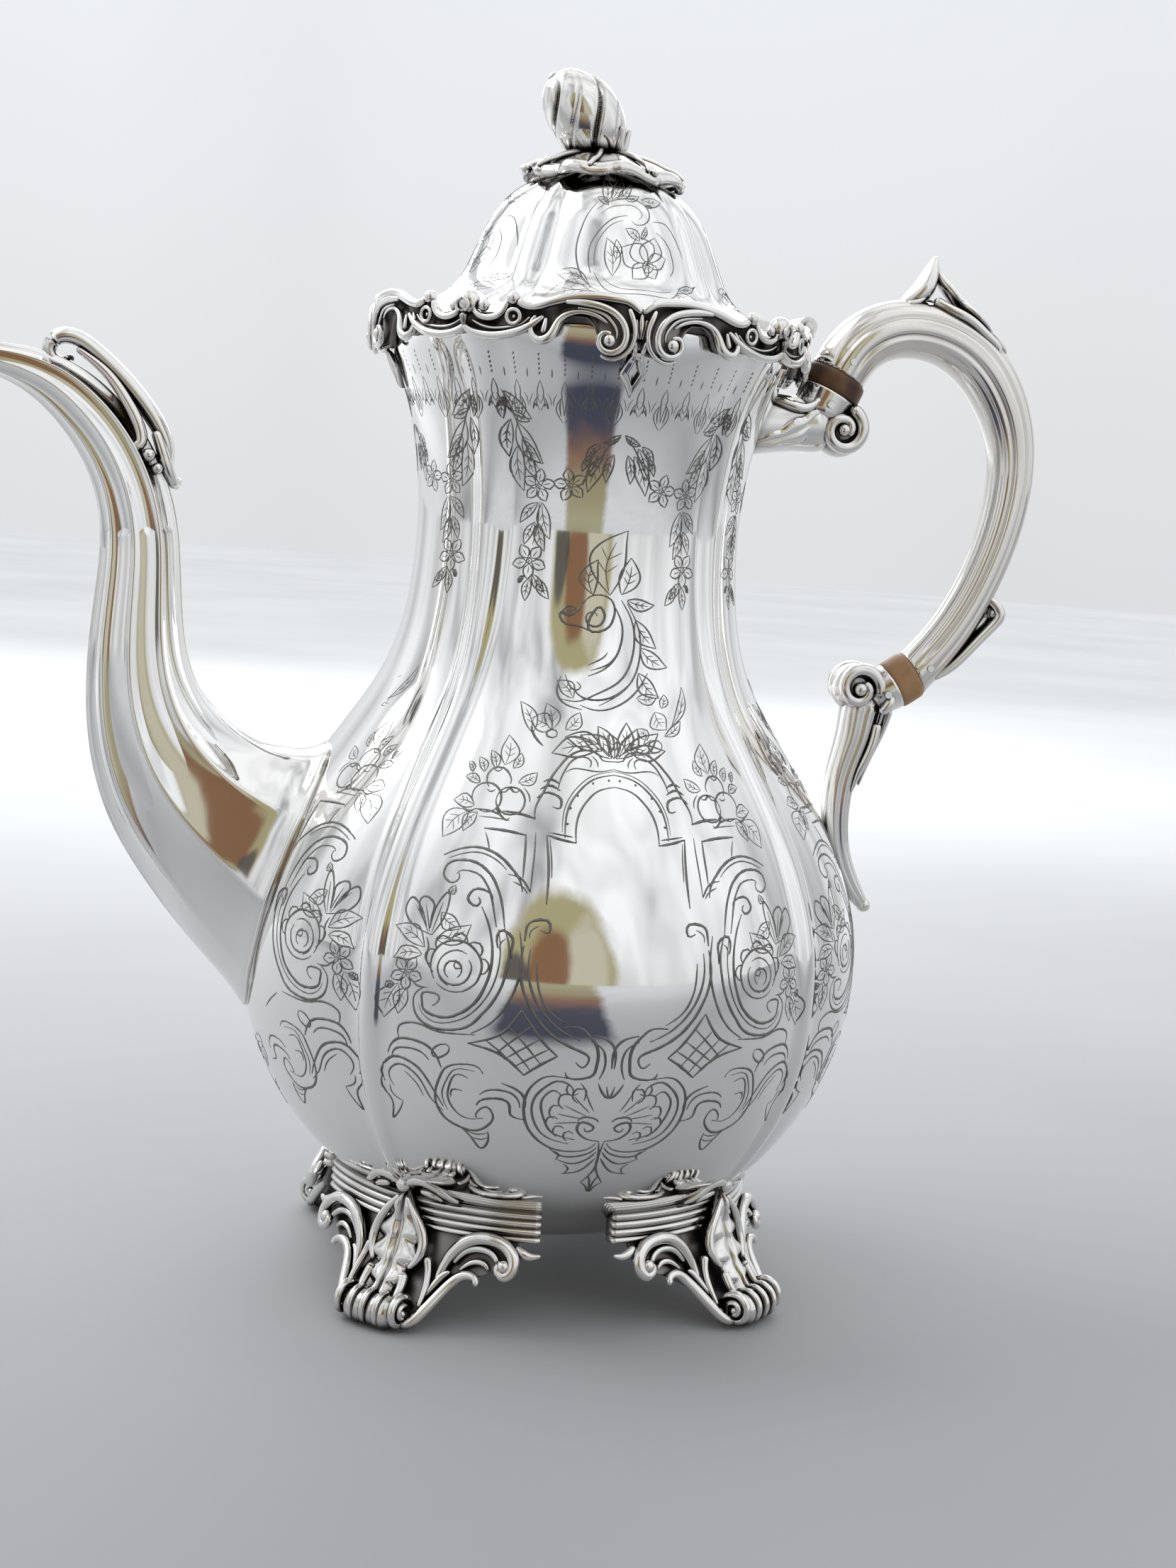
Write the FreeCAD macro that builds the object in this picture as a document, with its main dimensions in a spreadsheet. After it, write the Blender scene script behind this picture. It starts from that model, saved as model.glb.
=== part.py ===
import FreeCAD, Part
import math
import os

import Sketcher

# Silver coffee pot on four cast feet, millimetres, +Z up.
# The body's own axis is vertical. The spout points to -X, the handle to +X and the front panel faces -Y.
# Everything is drawn round the body's axis, and each finished piece is then placed axis_x along X, so that the
# origin is the middle of the whole pot's outline on the table plane.

V = FreeCAD.Vector
os.makedirs("parts", exist_ok=True)
doc = FreeCAD.newDocument("coffee_pot")

# ---------------------------------------------------------------- driving dimensions
sheet = doc.addObject("Spreadsheet::Sheet", "Dims")
CELLS = [
    ("axis_x", 12.6, "body axis, measured along X from the origin"),
    ("wall", 1.0, "thickness of the raised silver sheet"),
    ("neck_seam", 165.0, "height of the seam between belly and neck"),
    ("solder_gap", 0.05, "space left for solder between pieces fixed together"),
    ("lid_gap", 0.30, "clearance between the lid and the body"),
    ("mouth_top", 218.5, "height of the mouth's edge"),
    ("base_low", 15.0, "height of the body's underside"),
    ("base_disc_rad", 27.0, "disc let into the bottom"),
    ("base_disc_thick", 1.2, ""),
    ("gallery_inner_rad", 46.4, "cast border standing round the lid"),
    ("gallery_outer_rad", 50.4, ""),
    ("gallery_top", 221.8, ""),
    ("gallery_low", 212.6, ""),
    ("knob_orbit", 49.4, "shell knobs of the border, on the diagonals"),
    ("knob_rad", 2.7, ""),
    ("ringlet_orbit", 50.6, "small rings of the border"),
    ("ringlet_major", 2.1, ""),
    ("ringlet_minor", 0.75, ""),
    ("ringlet_angle", 31.3, "angle of a ringlet from the middle of its side"),
    ("pendant_low", 203.6, "tip of each hanging lozenge"),
    ("pendant_high", 211.7, ""),
    ("pendant_half", 3.6, ""),
    ("pendant_thick", 1.7, ""),
    ("strain_hole", 3.4, "diameter of the pouring holes behind the spout"),
    ("strain_pitch", 6.4, "spacing of the pouring holes"),
    ("strain_mid", 93.0, "height of the middle of the pouring holes"),
    ("hinge_x", 48.6, "lid hinge axis from the body axis"),
    ("hinge_z", 224.4, "lid hinge axis height"),
    ("knuckle_rad", 2.2, ""),
    ("hinge_pin_rad", 1.0, ""),
    ("hinge_pin_gap", 0.05, "running clearance round the hinge pin"),
    ("hinge_pin_len", 20.4, ""),
    ("knuckle_half", 3.2, "half length of the lid's middle knuckle"),
    ("knuckle_end", 9.4, "outer end of the body's knuckles"),
    ("flange_rad", 45.6, "lid's foot"),
    ("bezel_outer_rad", 44.1, "ring under the lid that centres it in the mouth"),
    ("bezel_wall", 1.0, ""),
    ("bezel_depth", 4.6, ""),
    ("stud_rad", 1.5, "screwed stud that holds the finial"),
    ("stud_low", 247.4, ""),
    ("stud_high", 263.0, ""),
    ("nut_flats", 5.6, ""),
    ("nut_thick", 2.6, ""),
    ("washer_rad", 6.0, ""),
    ("washer_thick", 0.9, ""),
    ("calyx_rad", 19.6, "leaf rosette under the finial"),
    ("bud_lean", 34.0, "degrees that the finial's bud leans towards the spout"),
    ("pin_rad", 0.8, "silver pins across the insulators"),
    ("upper_ring_rad", 7.35, "upper insulating ring"),
    ("upper_ring_thick", 4.7, ""),
    ("lower_ring_rad", 6.0, "lower insulating ring"),
    ("lower_ring_thick", 5.8, ""),
    ("tenon_rad", 4.2, "tenons of the insulating rings"),
    ("tenon_len", 6.5, ""),
    ("tenon_low_len", 4.6, "lower ring's tenons, shorter because the grip curves away"),
    ("foot_contact", 61.0, "radius of the feet's contact with the table"),
    ("foot_scroll_rad", 4.3, "rolled toe"),
    ("foot_scroll_len", 15.0, ""),
    ("foot_scroll_z", 3.9, ""),
    ("foot_band_angle", 71.5, "sweep of each foot's moulded band"),
    ("foot_wing_angle", 58.0, "sweep of each foot's shield at its top"),
]
for i, (alias, value, note) in enumerate(CELLS, start=1):
    sheet.set("A%d" % i, alias)
    sheet.set("B%d" % i, "%.4f" % value)
    sheet.setAlias("B%d" % i, alias)
    if note:
        sheet.set("C%d" % i, note)

# body profile, radius and height pairs from the foot of the belly to the mouth
PROFILE = [
    (27.5, 15.0), (36.5, 18.2), (44.9, 23.8), (52.4, 29.7), (58.9, 37.0), (64.3, 45.4), (68.4, 54.7),
    (71.1, 64.5), (72.1, 74.5), (71.7, 84.3), (69.6, 93.8), (66.1, 102.9), (61.5, 111.7), (56.1, 120.1),
    (50.5, 128.4), (45.2, 136.6), (41.1, 145.4), (38.6, 155.0), (37.4, 165.1), (37.1, 175.2),
    (37.7, 185.1), (39.2, 194.7), (42.0, 204.2), (45.2, 211.6), (46.35, 215.0),
]
row = len(CELLS) + 2
for k, (r_, z_) in enumerate(PROFILE):
    sheet.set("A%d" % (row + k), "profile station %d" % k)
    sheet.set("B%d" % (row + k), "%.3f" % r_)
    sheet.setAlias("B%d" % (row + k), "prof_rad_%02d" % k)
    sheet.set("C%d" % (row + k), "%.3f" % z_)
    sheet.setAlias("C%d" % (row + k), "prof_high_%02d" % k)
doc.recompute()


def D(alias):
    return float(sheet.get(alias))


_ALL = [(D("prof_rad_%02d" % k), D("prof_high_%02d" % k)) for k in range(len(PROFILE))]
FINAL = []  # (object, node name)


# ---------------------------------------------------------------- helpers
def plane_of(body, role):
    return [o for o in body.Origin.OriginFeatures if o.Role == role][0]


def new_body(name):
    return doc.addObject("PartDesign::Body", name)


def new_sketch(body, name, role="XZ_Plane"):
    s = body.newObject("Sketcher::SketchObject", name)
    s.AttachmentSupport = (plane_of(body, role), [""])
    s.MapMode = "FlatFace"
    return s


def lines(sk, pts, closed=True):
    n = len(pts)
    for i in range(n if closed else n - 1):
        a, b = pts[i], pts[(i + 1) % n]
        sk.addGeometry(Part.LineSegment(V(a[0], a[1], 0), V(b[0], b[1], 0)), False)


def tangents(pts):
    out = []
    for i in range(len(pts)):
        a, b = pts[max(i - 1, 0)], pts[min(i + 1, len(pts) - 1)]
        n = math.hypot(b[0] - a[0], b[1] - a[1])
        out.append(((b[0] - a[0]) / n, (b[1] - a[1]) / n))
    return out


def half_arc(a, t, b, d):
    """The arc that leaves a along t and ends at b, moved by d to its right-hand side: start, middle, end."""
    cx, cz = b[0] - a[0], b[1] - a[1]
    n = math.hypot(cx, cz)
    ux, uz = cx / n, cz / n
    dot = max(-1.0, min(1.0, t[0] * ux + t[1] * uz))
    side = t[0] * -uz + t[1] * ux
    phi = math.acos(dot)
    sag = n / 2 * math.tan(phi / 2) * (1 if side > 0 else -1)
    m = ((a[0] + b[0]) / 2 - uz * sag, (a[1] + b[1]) / 2 + ux * sag)
    tb = (2 * dot * ux - t[0], 2 * dot * uz - t[1])
    return ((a[0] + d * t[1], a[1] - d * t[0]), (m[0] + d * uz, m[1] - d * ux), (b[0] + d * tb[1], b[1] - d * tb[0])), tb


def biarcs(pts, tans, d=0.0):
    """Tangent arcs through the points, two to each span, all moved by d to the right-hand side of the path."""
    out = []
    tans = [(t[0] / math.hypot(*t), t[1] / math.hypot(*t)) for t in tans]
    for i in range(len(pts) - 1):
        p, q, t, u = pts[i], pts[i + 1], tans[i], tans[i + 1]
        vx, vz = q[0] - p[0], q[1] - p[1]
        c = t[0] * u[0] + t[1] * u[1]
        vt = vx * (t[0] + u[0]) + vz * (t[1] + u[1])
        vv = vx * vx + vz * vz
        e = vv / (2 * vt) if 1 - c < 1e-9 else (-vt + math.sqrt(vt * vt + 2 * (1 - c) * vv)) / (2 * (1 - c))
        m = ((p[0] + q[0] + e * (t[0] - u[0])) / 2, (p[1] + q[1] + e * (t[1] - u[1])) / 2)
        one, tb = half_arc(p, t, m, d)
        two, _ = half_arc(m, tb, q, d)
        out += [one, two]
    return out


def arcs(sk, pts, tans=None, d=0.0):
    """Adds the arcs to a sketch and returns the path's first and last points."""
    run = [tuple((round(q[0], 9) + 0.0, round(q[1], 9) + 0.0) for q in arc) for arc in biarcs(pts, tans or tangents(pts), d)]
    for a, m, b in run:
        straight = abs((b[0] - a[0]) * (m[1] - a[1]) - (b[1] - a[1]) * (m[0] - a[0])) < 1e-5
        if straight:
            sk.addGeometry(Part.LineSegment(V(a[0], a[1], 0), V(b[0], b[1], 0)), False)
        else:
            sk.addGeometry(Part.Arc(V(a[0], a[1], 0), V(m[0], m[1], 0), V(b[0], b[1], 0)), False)
    return run[0][0], run[-1][2]


def revolve(body, sk, name, angle=360.0, mid=False):
    f = body.newObject("PartDesign::Revolution", name)
    f.Profile = sk
    f.ReferenceAxis = (sk, ["V_Axis"])
    f.Angle = angle
    if mid:
        f.Midplane = True
    return f


def finish(obj, name, moved=True):
    obj.Label = name
    if moved:
        obj.setExpression("Placement.Base.x", "Dims.axis_x")
    FINAL.append((obj, name))


def boolean(kind, name, base, tool):
    o = doc.addObject("Part::" + kind, name)
    o.Base, o.Tool = base, tool
    return o


def multi(name, shapes):
    o = doc.addObject("Part::MultiFuse", name)
    o.Shapes = shapes
    return o


def cylinder(name, radius, height, base, axis):
    o = doc.addObject("Part::Cylinder", name)
    if isinstance(radius, str):
        o.setExpression("Radius", radius)
    else:
        o.Radius = radius
    if isinstance(height, str):
        o.setExpression("Height", height)
    else:
        o.Height = height
    o.Placement = FreeCAD.Placement(V(*base), FreeCAD.Rotation(V(0, 0, 1), V(*axis)))
    return o


def sphere(name, radius, centre):
    o = doc.addObject("Part::Sphere", name)
    if isinstance(radius, str):
        o.setExpression("Radius", radius)
    else:
        o.Radius = radius
    o.Placement = FreeCAD.Placement(V(*centre), FreeCAD.Rotation())
    return o


def box(name, lo, hi):
    o = doc.addObject("Part::Box", name)
    o.Length, o.Width, o.Height = hi[0] - lo[0], hi[1] - lo[1], hi[2] - lo[2]
    o.Placement = FreeCAD.Placement(V(*lo), FreeCAD.Rotation())
    return o


def tube_surface(name, rings, around=16):
    """A closed solid inside one smooth B-spline surface led through rings (x, z, half height, half width, direction x, z)."""
    swell = 3.0 / (2.0 + math.cos(2 * math.pi / around))
    poles = []
    for x, z, a, b, nx, nz in rings:
        n = math.hypot(nx, nz)
        ux, uz = nz / n, -nx / n
        poles.append([V(x + ux * a * swell * math.cos(2 * math.pi * j / around), b * swell * math.sin(2 * math.pi * j / around),
                        z + uz * a * swell * math.cos(2 * math.pi * j / around)) for j in range(around)])
    nu = len(rings)
    umults = [4] + [1] * (nu - 4) + [4]
    uknots = [float(k) for k in range(len(umults))]
    vmults = [1] * (around + 1)
    vknots = [float(k) for k in range(around + 1)]
    surf = Part.BSplineSurface()
    surf.buildFromPolesMultsKnots(poles, umults, vmults, uknots, vknots, False, True, 3, 3)
    side = surf.toShape()
    caps = []
    for u in (uknots[0], uknots[-1]):
        caps.append(Part.Face(Part.Wire([surf.uIso(u).toShape()])))
    sh = Part.makeShell([side] + caps)
    sh.sewShape()
    solid = Part.makeSolid(sh)
    if solid.Volume < 0:
        solid.reverse()
    o = doc.addObject("Part::Feature", name)
    o.Shape = solid
    return o


def plate_xz(name, pts, half_y):
    """A plate cut to an outline in the XZ plane, half_y to each side."""
    b = new_body(name)
    s = new_sketch(b, name + "_outline")
    lines(s, pts)
    p = b.newObject("PartDesign::Pad", name + "_pad")
    p.Profile = s
    p.Length = 2 * half_y
    p.Midplane = True
    return b


# ---------------------------------------------------------------- body
_TAN = tangents(_ALL)
_TAN[-1] = (0.0, 1.0)
STATIONS, STATION_TANGENTS = _ALL[::2], _TAN[::2]
wall = D("wall")
g = D("solder_gap")
lip_r = STATIONS[-1][0]
mouth_top = D("mouth_top")

body = new_body("body_shell")
sk = new_sketch(body, "body_section")
o0, o1 = arcs(sk, STATIONS, STATION_TANGENTS)
i0, i1 = arcs(sk, STATIONS, STATION_TANGENTS, -wall)
lines(sk, [o1, (o1[0], mouth_top), (i1[0], mouth_top), i1], closed=False)
lines(sk, [i0, o0], closed=False)
revolve(body, sk, "body_revolve")

# envelope that pieces soldered to the body are cut back from
env = new_body("body_envelope")
sk = new_sketch(env, "envelope_section")
e0, e1 = arcs(sk, STATIONS, STATION_TANGENTS, g)
lines(sk, [e1, (e1[0], 224.0), (0, 224.0), (0, e0[1]), e0], closed=False)
revolve(env, sk, "envelope_revolve")

# the same, thicker, for mounts of even thickness
collar = new_body("collar_envelope")
sk = new_sketch(collar, "collar_section")
e0, e1 = arcs(sk, STATIONS, STATION_TANGENTS, g + D("pendant_thick"))
lines(sk, [e1, (0, e1[1]), (0, e0[1]), e0], closed=False)
revolve(collar, sk, "collar_revolve")

# pouring holes behind the spout, drilled in rows along X
holes = []
pitch = D("strain_pitch")
for j in range(-3, 4):
    for i in range(-2, 3):
        y = i * pitch + (0.5 * pitch if j % 2 else 0.0)
        z = D("strain_mid") + j * pitch * 0.87
        if (y / 12.5) ** 2 + ((z - D("strain_mid")) / 21.0) ** 2 > 1.0:
            continue
        h = cylinder("strain_hole_%02d" % len(holes), "Dims.strain_hole / 2", 40, (-85, y, z), (1, 0, 0))
        holes.append(h)
drill = multi("strain_drill", holes)
shell = boolean("Cut", "body_shell_drilled", body, drill)
# the neck is a piece of its own, soldered to the belly at the waist
seam = D("neck_seam")
low_half = boolean("Common", "body_shell_low", shell, box("below_seam", (-90, -90, 0), (90, 90, seam - g / 2)))
finish(low_half, "body_shell")
high_half = boolean("Common", "neck_shell_high", shell, box("above_seam", (-90, -90, seam + g / 2), (90, 90, 240)))
finish(high_half, "neck_shell")

disc = new_body("base_disc")
sk = new_sketch(disc, "base_disc_sketch", "XY_Plane")
sk.addGeometry(Part.Circle(V(0, 0, 0), V(0, 0, 1), D("base_disc_rad")), False)
sk.addConstraint(Sketcher.Constraint("Radius", 0, D("base_disc_rad")))
sk.setExpression("Constraints[0]", "Dims.base_disc_rad")
pad = disc.newObject("PartDesign::Pad", "base_disc_pad")
pad.Profile = sk
pad.setExpression("Length", "Dims.base_disc_thick")
disc.setExpression("Placement.Base.z", "Dims.base_low")
finish(disc, "base_disc")

# ---------------------------------------------------------------- cast border round the mouth
ring = new_body("rim_ring")
sk = new_sketch(ring, "rim_section")
gi, go, gt, gl = D("gallery_inner_rad"), D("gallery_outer_rad"), D("gallery_top"), D("gallery_low")
lines(sk, [(gi, gl), (gi + 1.0, gl - 0.4), (gi + 2.4, gl + 1.6), (go - 1.0, gl + 4.2), (go, gt - 2.6), (go - 0.6, gt - 0.7),
           (go - 1.5, gt), (gi + 0.4, gt), (gi + 0.05, gt - 1.0)])
revolve(ring, sk, "rim_revolve")
cast = [ring]
for k in range(4):
    a = math.radians(45 + 90 * k)
    r = D("knob_orbit")
    cast.append(sphere("rim_knob_%d" % k, "Dims.knob_rad", (r * math.cos(a), r * math.sin(a), 219.2)))
for k in range(4):
    for s_ in (-1, 1):
        a = math.radians(90 * k) + s_ * math.radians(D("ringlet_angle"))
        r = D("ringlet_orbit") - 0.9
        t = doc.addObject("Part::Torus", "rim_ringlet_%d_%s" % (k, "a" if s_ < 0 else "b"))
        t.setExpression("Radius1", "Dims.ringlet_major")
        t.setExpression("Radius2", "Dims.ringlet_minor")
        t.Placement = FreeCAD.Placement(
            V(r * math.cos(a), r * math.sin(a), 217.2), FreeCAD.Rotation(V(0, 0, 1), V(math.cos(a), math.sin(a), 0.25)))
        cast.append(t)
rim_all = multi("rim_casting", cast)
rim_cut = boolean("Cut", "rim_mount_cut", rim_all, env)
finish(rim_cut, "rim_mount")

# hanging lozenges under the border: front, back and spout side (the handle's socket takes the fourth place)
pend = new_body("pendant_outline")
sk = new_sketch(pend, "pendant_sketch", "YZ_Plane")
pl, ph, pw = D("pendant_low"), D("pendant_high"), D("pendant_half")
pm = pl + 0.46 * (ph - pl)
lines(sk, [(0, pl), (pw, pm), (0.55 * pw, ph), (-0.55 * pw, ph), (-pw, pm)])
lines(sk, [(0, pl + 2.6), (pw - 1.7, pm + 0.2), (0, pm + 2.2), (-pw + 1.7, pm + 0.2)])
pad = pend.newObject("PartDesign::Pad", "pendant_pad")
pad.Profile = sk
pad.Length = 70.0
pad.Reversed = False
pend_shapes = []
for k, ang in enumerate((90, 180, 270)):
    link = doc.addObject("Part::Mirroring", "pendant_copy_%d" % k)
    link.Source = pend
    link.Normal = V(0, 1, 0)
    link.Placement = FreeCAD.Placement(V(0, 0, 0), FreeCAD.Rotation(V(0, 0, 1), ang))
    pend_shapes.append(link)
pend_all = multi("pendant_blanks", pend_shapes)
pend_out = boolean("Common", "pendant_skin", pend_all, collar)
pend_cut = boolean("Cut", "pendant_cut", pend_out, env)
finish(pend_cut, "rim_pendants")

# ---------------------------------------------------------------- lid
dome_pts = [(44.0, 220.5), (36.8, 224.4), (30.4, 229.9), (26.6, 238.2), (21.4, 248.0), (12.0, 253.9), (0.0, 255.4)]
dome_tan = tangents(dome_pts)
dome_tan[0] = (-0.93, 0.37)
dome_tan[-1] = (-1.0, 0.0)
low = mouth_top + D("lid_gap")
lid = new_body("lid_dome")
sk = new_sketch(lid, "lid_section")
fl = D("flange_rad")
o0, o1 = arcs(sk, dome_pts, dome_tan)
i0, i1 = arcs(sk, dome_pts, dome_tan, -1.0)
lines(sk, [i0, (i0[0], low), (fl, low), (fl, low + 1.0), o0], closed=False)
lines(sk, [o1, i1], closed=False)
revolve(lid, sk, "lid_revolve")
stud_hole = cylinder("lid_stud_hole", "Dims.stud_rad + Dims.solder_gap", 30, (0, 0, 240), (0, 0, 1))
lid_cut = boolean("Cut", "lid_dome_drilled", lid, stud_hole)
finish(lid_cut, "lid_dome")

# dome envelope, for the calyx and the hinge leaf
denv = new_body("dome_envelope")
sk = new_sketch(denv, "dome_envelope_section")
e0, e1 = arcs(sk, dome_pts, dome_tan, g)
lines(sk, [e1, (0, 210), (fl + g, 210), (fl + g, low + 1.0 + g), e0], closed=False)
revolve(denv, sk, "dome_envelope_revolve")

bez = new_body("lid_bezel")
sk = new_sketch(bez, "bezel_section")
bo = D("bezel_outer_rad")
bt = low - g
lines(sk, [(bo, bt), (bo, bt - D("bezel_depth") + 0.5), (bo - 0.5, bt - D("bezel_depth")), (bo - D("bezel_wall"), bt - D("bezel_depth")),
           (bo - D("bezel_wall") - 0.0, bt)])
revolve(bez, sk, "bezel_revolve")
finish(bez, "lid_bezel")

# finial: calyx of leaves, leaning bud, stud with washer and nut inside the dome
cal = new_body("finial_calyx_blank")
sk = new_sketch(cal, "calyx_section")
cr = D("calyx_rad")
cpts = [(cr, 251.4), (18.6, 253.9), (15.4, 256.6), (10.6, 258.3), (5.0, 258.9), (2.2, 259.6)]
arcs(sk, cpts)
lines(sk, [cpts[-1], (D("stud_rad") + g, 259.6), (D("stud_rad") + g, 247.0), (cr - 1.2, 247.0), cpts[0]], closed=False)
revolve(cal, sk, "calyx_revolve")
cal_cut = boolean("Cut", "finial_calyx_cut", cal, denv)
finish(cal_cut, "finial_calyx")

bud = new_body("finial_bud_blank")
sk = new_sketch(bud, "bud_section")
bpts = [(2.6, 0.0), (5.4, 1.8), (8.3, 5.6), (9.3, 10.2), (8.2, 14.8), (5.0, 18.9), (1.0, 22.3)]
arcs(sk, bpts)
lines(sk, [bpts[-1], (0.0, 22.3), (0.0, 0.0), bpts[0]], closed=False)
revolve(bud, sk, "bud_revolve")
bud.Placement = FreeCAD.Placement(V(1.4, 0, 258.4), FreeCAD.Rotation(V(0, 1, 0), -D("bud_lean")))
collar_cyl = cylinder("bud_collar", 3.0, 3.4, (0, 0, 259.6 + g), (0, 0, 1))
bud_all = boolean("Fuse", "bud_fused", bud, collar_cyl)
bud_flat = boolean("Cut", "bud_on_calyx", bud_all, box("bud_under", (-20, -20, 240), (20, 20, 259.6 + g)))
bud_cut = boolean("Cut", "finial_bud_drilled", bud_flat, cylinder("bud_stud_hole", "Dims.stud_rad + Dims.solder_gap", "Dims.stud_high - 259.6 + 0.2", (0, 0, 259.6), (0, 0, 1)))
finish(bud_cut, "finial_bud")

stud = cylinder("finial_stud_rod", "Dims.stud_rad", "Dims.stud_high - Dims.stud_low", (0, 0, 0), (0, 0, 1))
stud.setExpression("Placement.Base.z", "Dims.stud_low")
finish(stud, "finial_stud")

wash = doc.addObject("Part::Feature", "finial_washer_ring")
wtop = 253.5
w = Part.makeCylinder(D("washer_rad"), D("washer_thick"), V(0, 0, wtop - D("washer_thick")))
w = w.cut(Part.makeCylinder(D("stud_rad") + g, 10, V(0, 0, wtop - 5)))
wash.Shape = w
finish(wash, "finial_washer")

nut = new_body("finial_nut")
sk = new_sketch(nut, "nut_sketch", "XY_Plane")
af = D("nut_flats")
hexp = [(af / math.sqrt(3) * math.cos(math.radians(60 * k)), af / math.sqrt(3) * math.sin(math.radians(60 * k))) for k in range(6)]
lines(sk, hexp)
sk.addGeometry(Part.Circle(V(0, 0, 0), V(0, 0, 1), D("stud_rad") + g), False)
pad = nut.newObject("PartDesign::Pad", "nut_pad")
pad.Profile = sk
pad.setExpression("Length", "Dims.nut_thick")
nut.Placement = FreeCAD.Placement(V(0, 0, wtop - D("washer_thick") - 0.02 - D("nut_thick")), FreeCAD.Rotation())
finish(nut, "finial_nut")

# ---------------------------------------------------------------- lid hinge
hx, hz = D("hinge_x"), D("hinge_z")
kr, kh, ke = D("knuckle_rad"), D("knuckle_half"), D("knuckle_end")
pin_hole = cylinder("hinge_bore", "Dims.hinge_pin_rad + Dims.hinge_pin_gap", 40, (hx, -20, hz), (0, 1, 0))
leaf_k = cylinder("lid_knuckle", "Dims.knuckle_rad", "2 * Dims.knuckle_half", (hx, -kh, hz), (0, 1, 0))
leaf_p = plate_xz("lid_leaf_plate", [(38.0, 222.25), (47.6, 222.25), (48.4, 223.0), (47.6, 225.2), (44.6, 224.6), (38.0, 225.6)], kh)
leaf = boolean("Fuse", "lid_leaf_fused", leaf_k, leaf_p)
leaf = boolean("Cut", "lid_leaf_bored", leaf, pin_hole)
leaf = boolean("Cut", "lid_leaf_seated", leaf, denv)
finish(leaf, "lid_hinge_leaf")

parts_ = []
for k, (y0, y1) in enumerate(((-ke, -kh - 0.3), (kh + 0.3, ke))):
    parts_.append(cylinder("body_knuckle_%d" % k, "Dims.knuckle_rad", y1 - y0, (hx, y0, hz), (0, 1, 0)))
    parts_.append(box("body_knuckle_block_%d" % k, (hx - 1.3, y0, gt + g), (hx + 1.3, y1, hz)))
# a cross plate under the knuckles joins the two blocks
parts_.append(box("body_hinge_plate", (hx + 0.75, -ke, gt + g), (hx + 1.6, ke, gt + g + 0.9)))
hinge = multi("body_hinge_fused", parts_)
hinge = boolean("Cut", "body_hinge_bored", hinge, cylinder("hinge_bore_b", "Dims.hinge_pin_rad + 0.02", 40, (hx, -20, hz), (0, 1, 0)))
hinge = boolean("Cut", "body_hinge_clear", hinge, cylinder("hinge_clear", kr + 0.25, 2 * kh + 0.6, (hx, -kh - 0.3, hz), (0, 1, 0)))
finish(hinge, "body_hinge_plate")

hp = cylinder("hinge_pin_rod", "Dims.hinge_pin_rad", "Dims.hinge_pin_len", (hx, 0, hz), (0, 1, 0))
hp.setExpression("Placement.Base.y", "-Dims.hinge_pin_len / 2")
hp.setExpression("Placement.Base.x", "Dims.hinge_x + Dims.axis_x")
finish(hp, "hinge_pin", moved=False)

# ---------------------------------------------------------------- spout
# rings: x, z, half height in XZ, half width in Y, direction
RINGS = [
    (-55.0, 90.0, 29.3, 17.6, -0.955, 0.295),
    (-64.5, 92.9, 29.2, 17.4, -0.955, 0.295),
    (-80.6, 104.6, 22.0, 14.2, -0.843, 0.537),
    (-91.2, 117.0, 17.9, 12.2, -0.71, 0.70),
    (-96.8, 131.0, 14.0, 10.9, -0.50, 0.866),
    (-98.4, 145.0, 11.3, 10.0, -0.25, 0.968),
    (-98.4, 157.0, 9.8, 9.3, -0.05, 0.999),
    (-98.8, 167.0, 9.1, 8.8, -0.09, 0.996),
    (-101.0, 177.0, 8.5, 8.2, -0.33, 0.944),
    (-105.6, 186.4, 7.8, 7.5, -0.57, 0.82),
    (-112.2, 194.3, 7.0, 6.8, -0.74, 0.67),
    (-120.6, 200.2, 5.6, 5.5, -0.86, 0.51),
    (-130.2, 203.0, 3.9, 3.8, -0.985, 0.17),
    (-135.6, 203.5, 3.3, 3.2, -1.0, 0.02),
]
sp_out = tube_surface("spout_outer", RINGS)
tw = 1.0
bore = []
for k, (x, z, a, b, nx, nz) in enumerate(RINGS):
    bore.append((x, z, a - tw, b - tw, nx, nz))
bore[0] = (-54.0, 89.7, 28.3, 16.6, -0.955, 0.295)
bore.append((-139.0, 203.5, 2.2, 2.1, -1.0, 0.0))
sp_bore = tube_surface("spout_bore", bore)
sp = boolean("Cut", "spout_hollow", sp_out, sp_bore)
sp = boolean("Cut", "spout_seated", sp, env)
finish(sp, "spout_shell")

orn = plate_xz("spout_scroll_blank", [(-121.5, 204.4), (-119.9, 206.9), (-117.6, 209.0), (-115.2, 209.2), (-112.6, 207.6), (-107.5, 203.6), (-102.4, 198.0),
                                       (-98.4, 192.6), (-95.4, 189.6), (-94.6, 186.6), (-94.3, 183.0), (-95.2, 178.0), (-103.0, 184.0), (-110.0, 195.0), (-117.0, 201.0)], 4.4)
orn = boolean("Cut", "spout_scroll_seated", orn, sp_out)
finish(orn, "spout_scroll_mount")

# ---------------------------------------------------------------- handle
UN = (0.4300, 0.9028)  # upper insulator's axis
UC = (58.6, 212.3)
LN = (0.835, 0.550)  # lower insulator's axis
LC = (81.85, 143.9)
ut, lt = D("upper_ring_thick"), D("lower_ring_thick")


def along(c, n, d):
    return (c[0] + n[0] * d, c[1] + n[1] * d)


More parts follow.
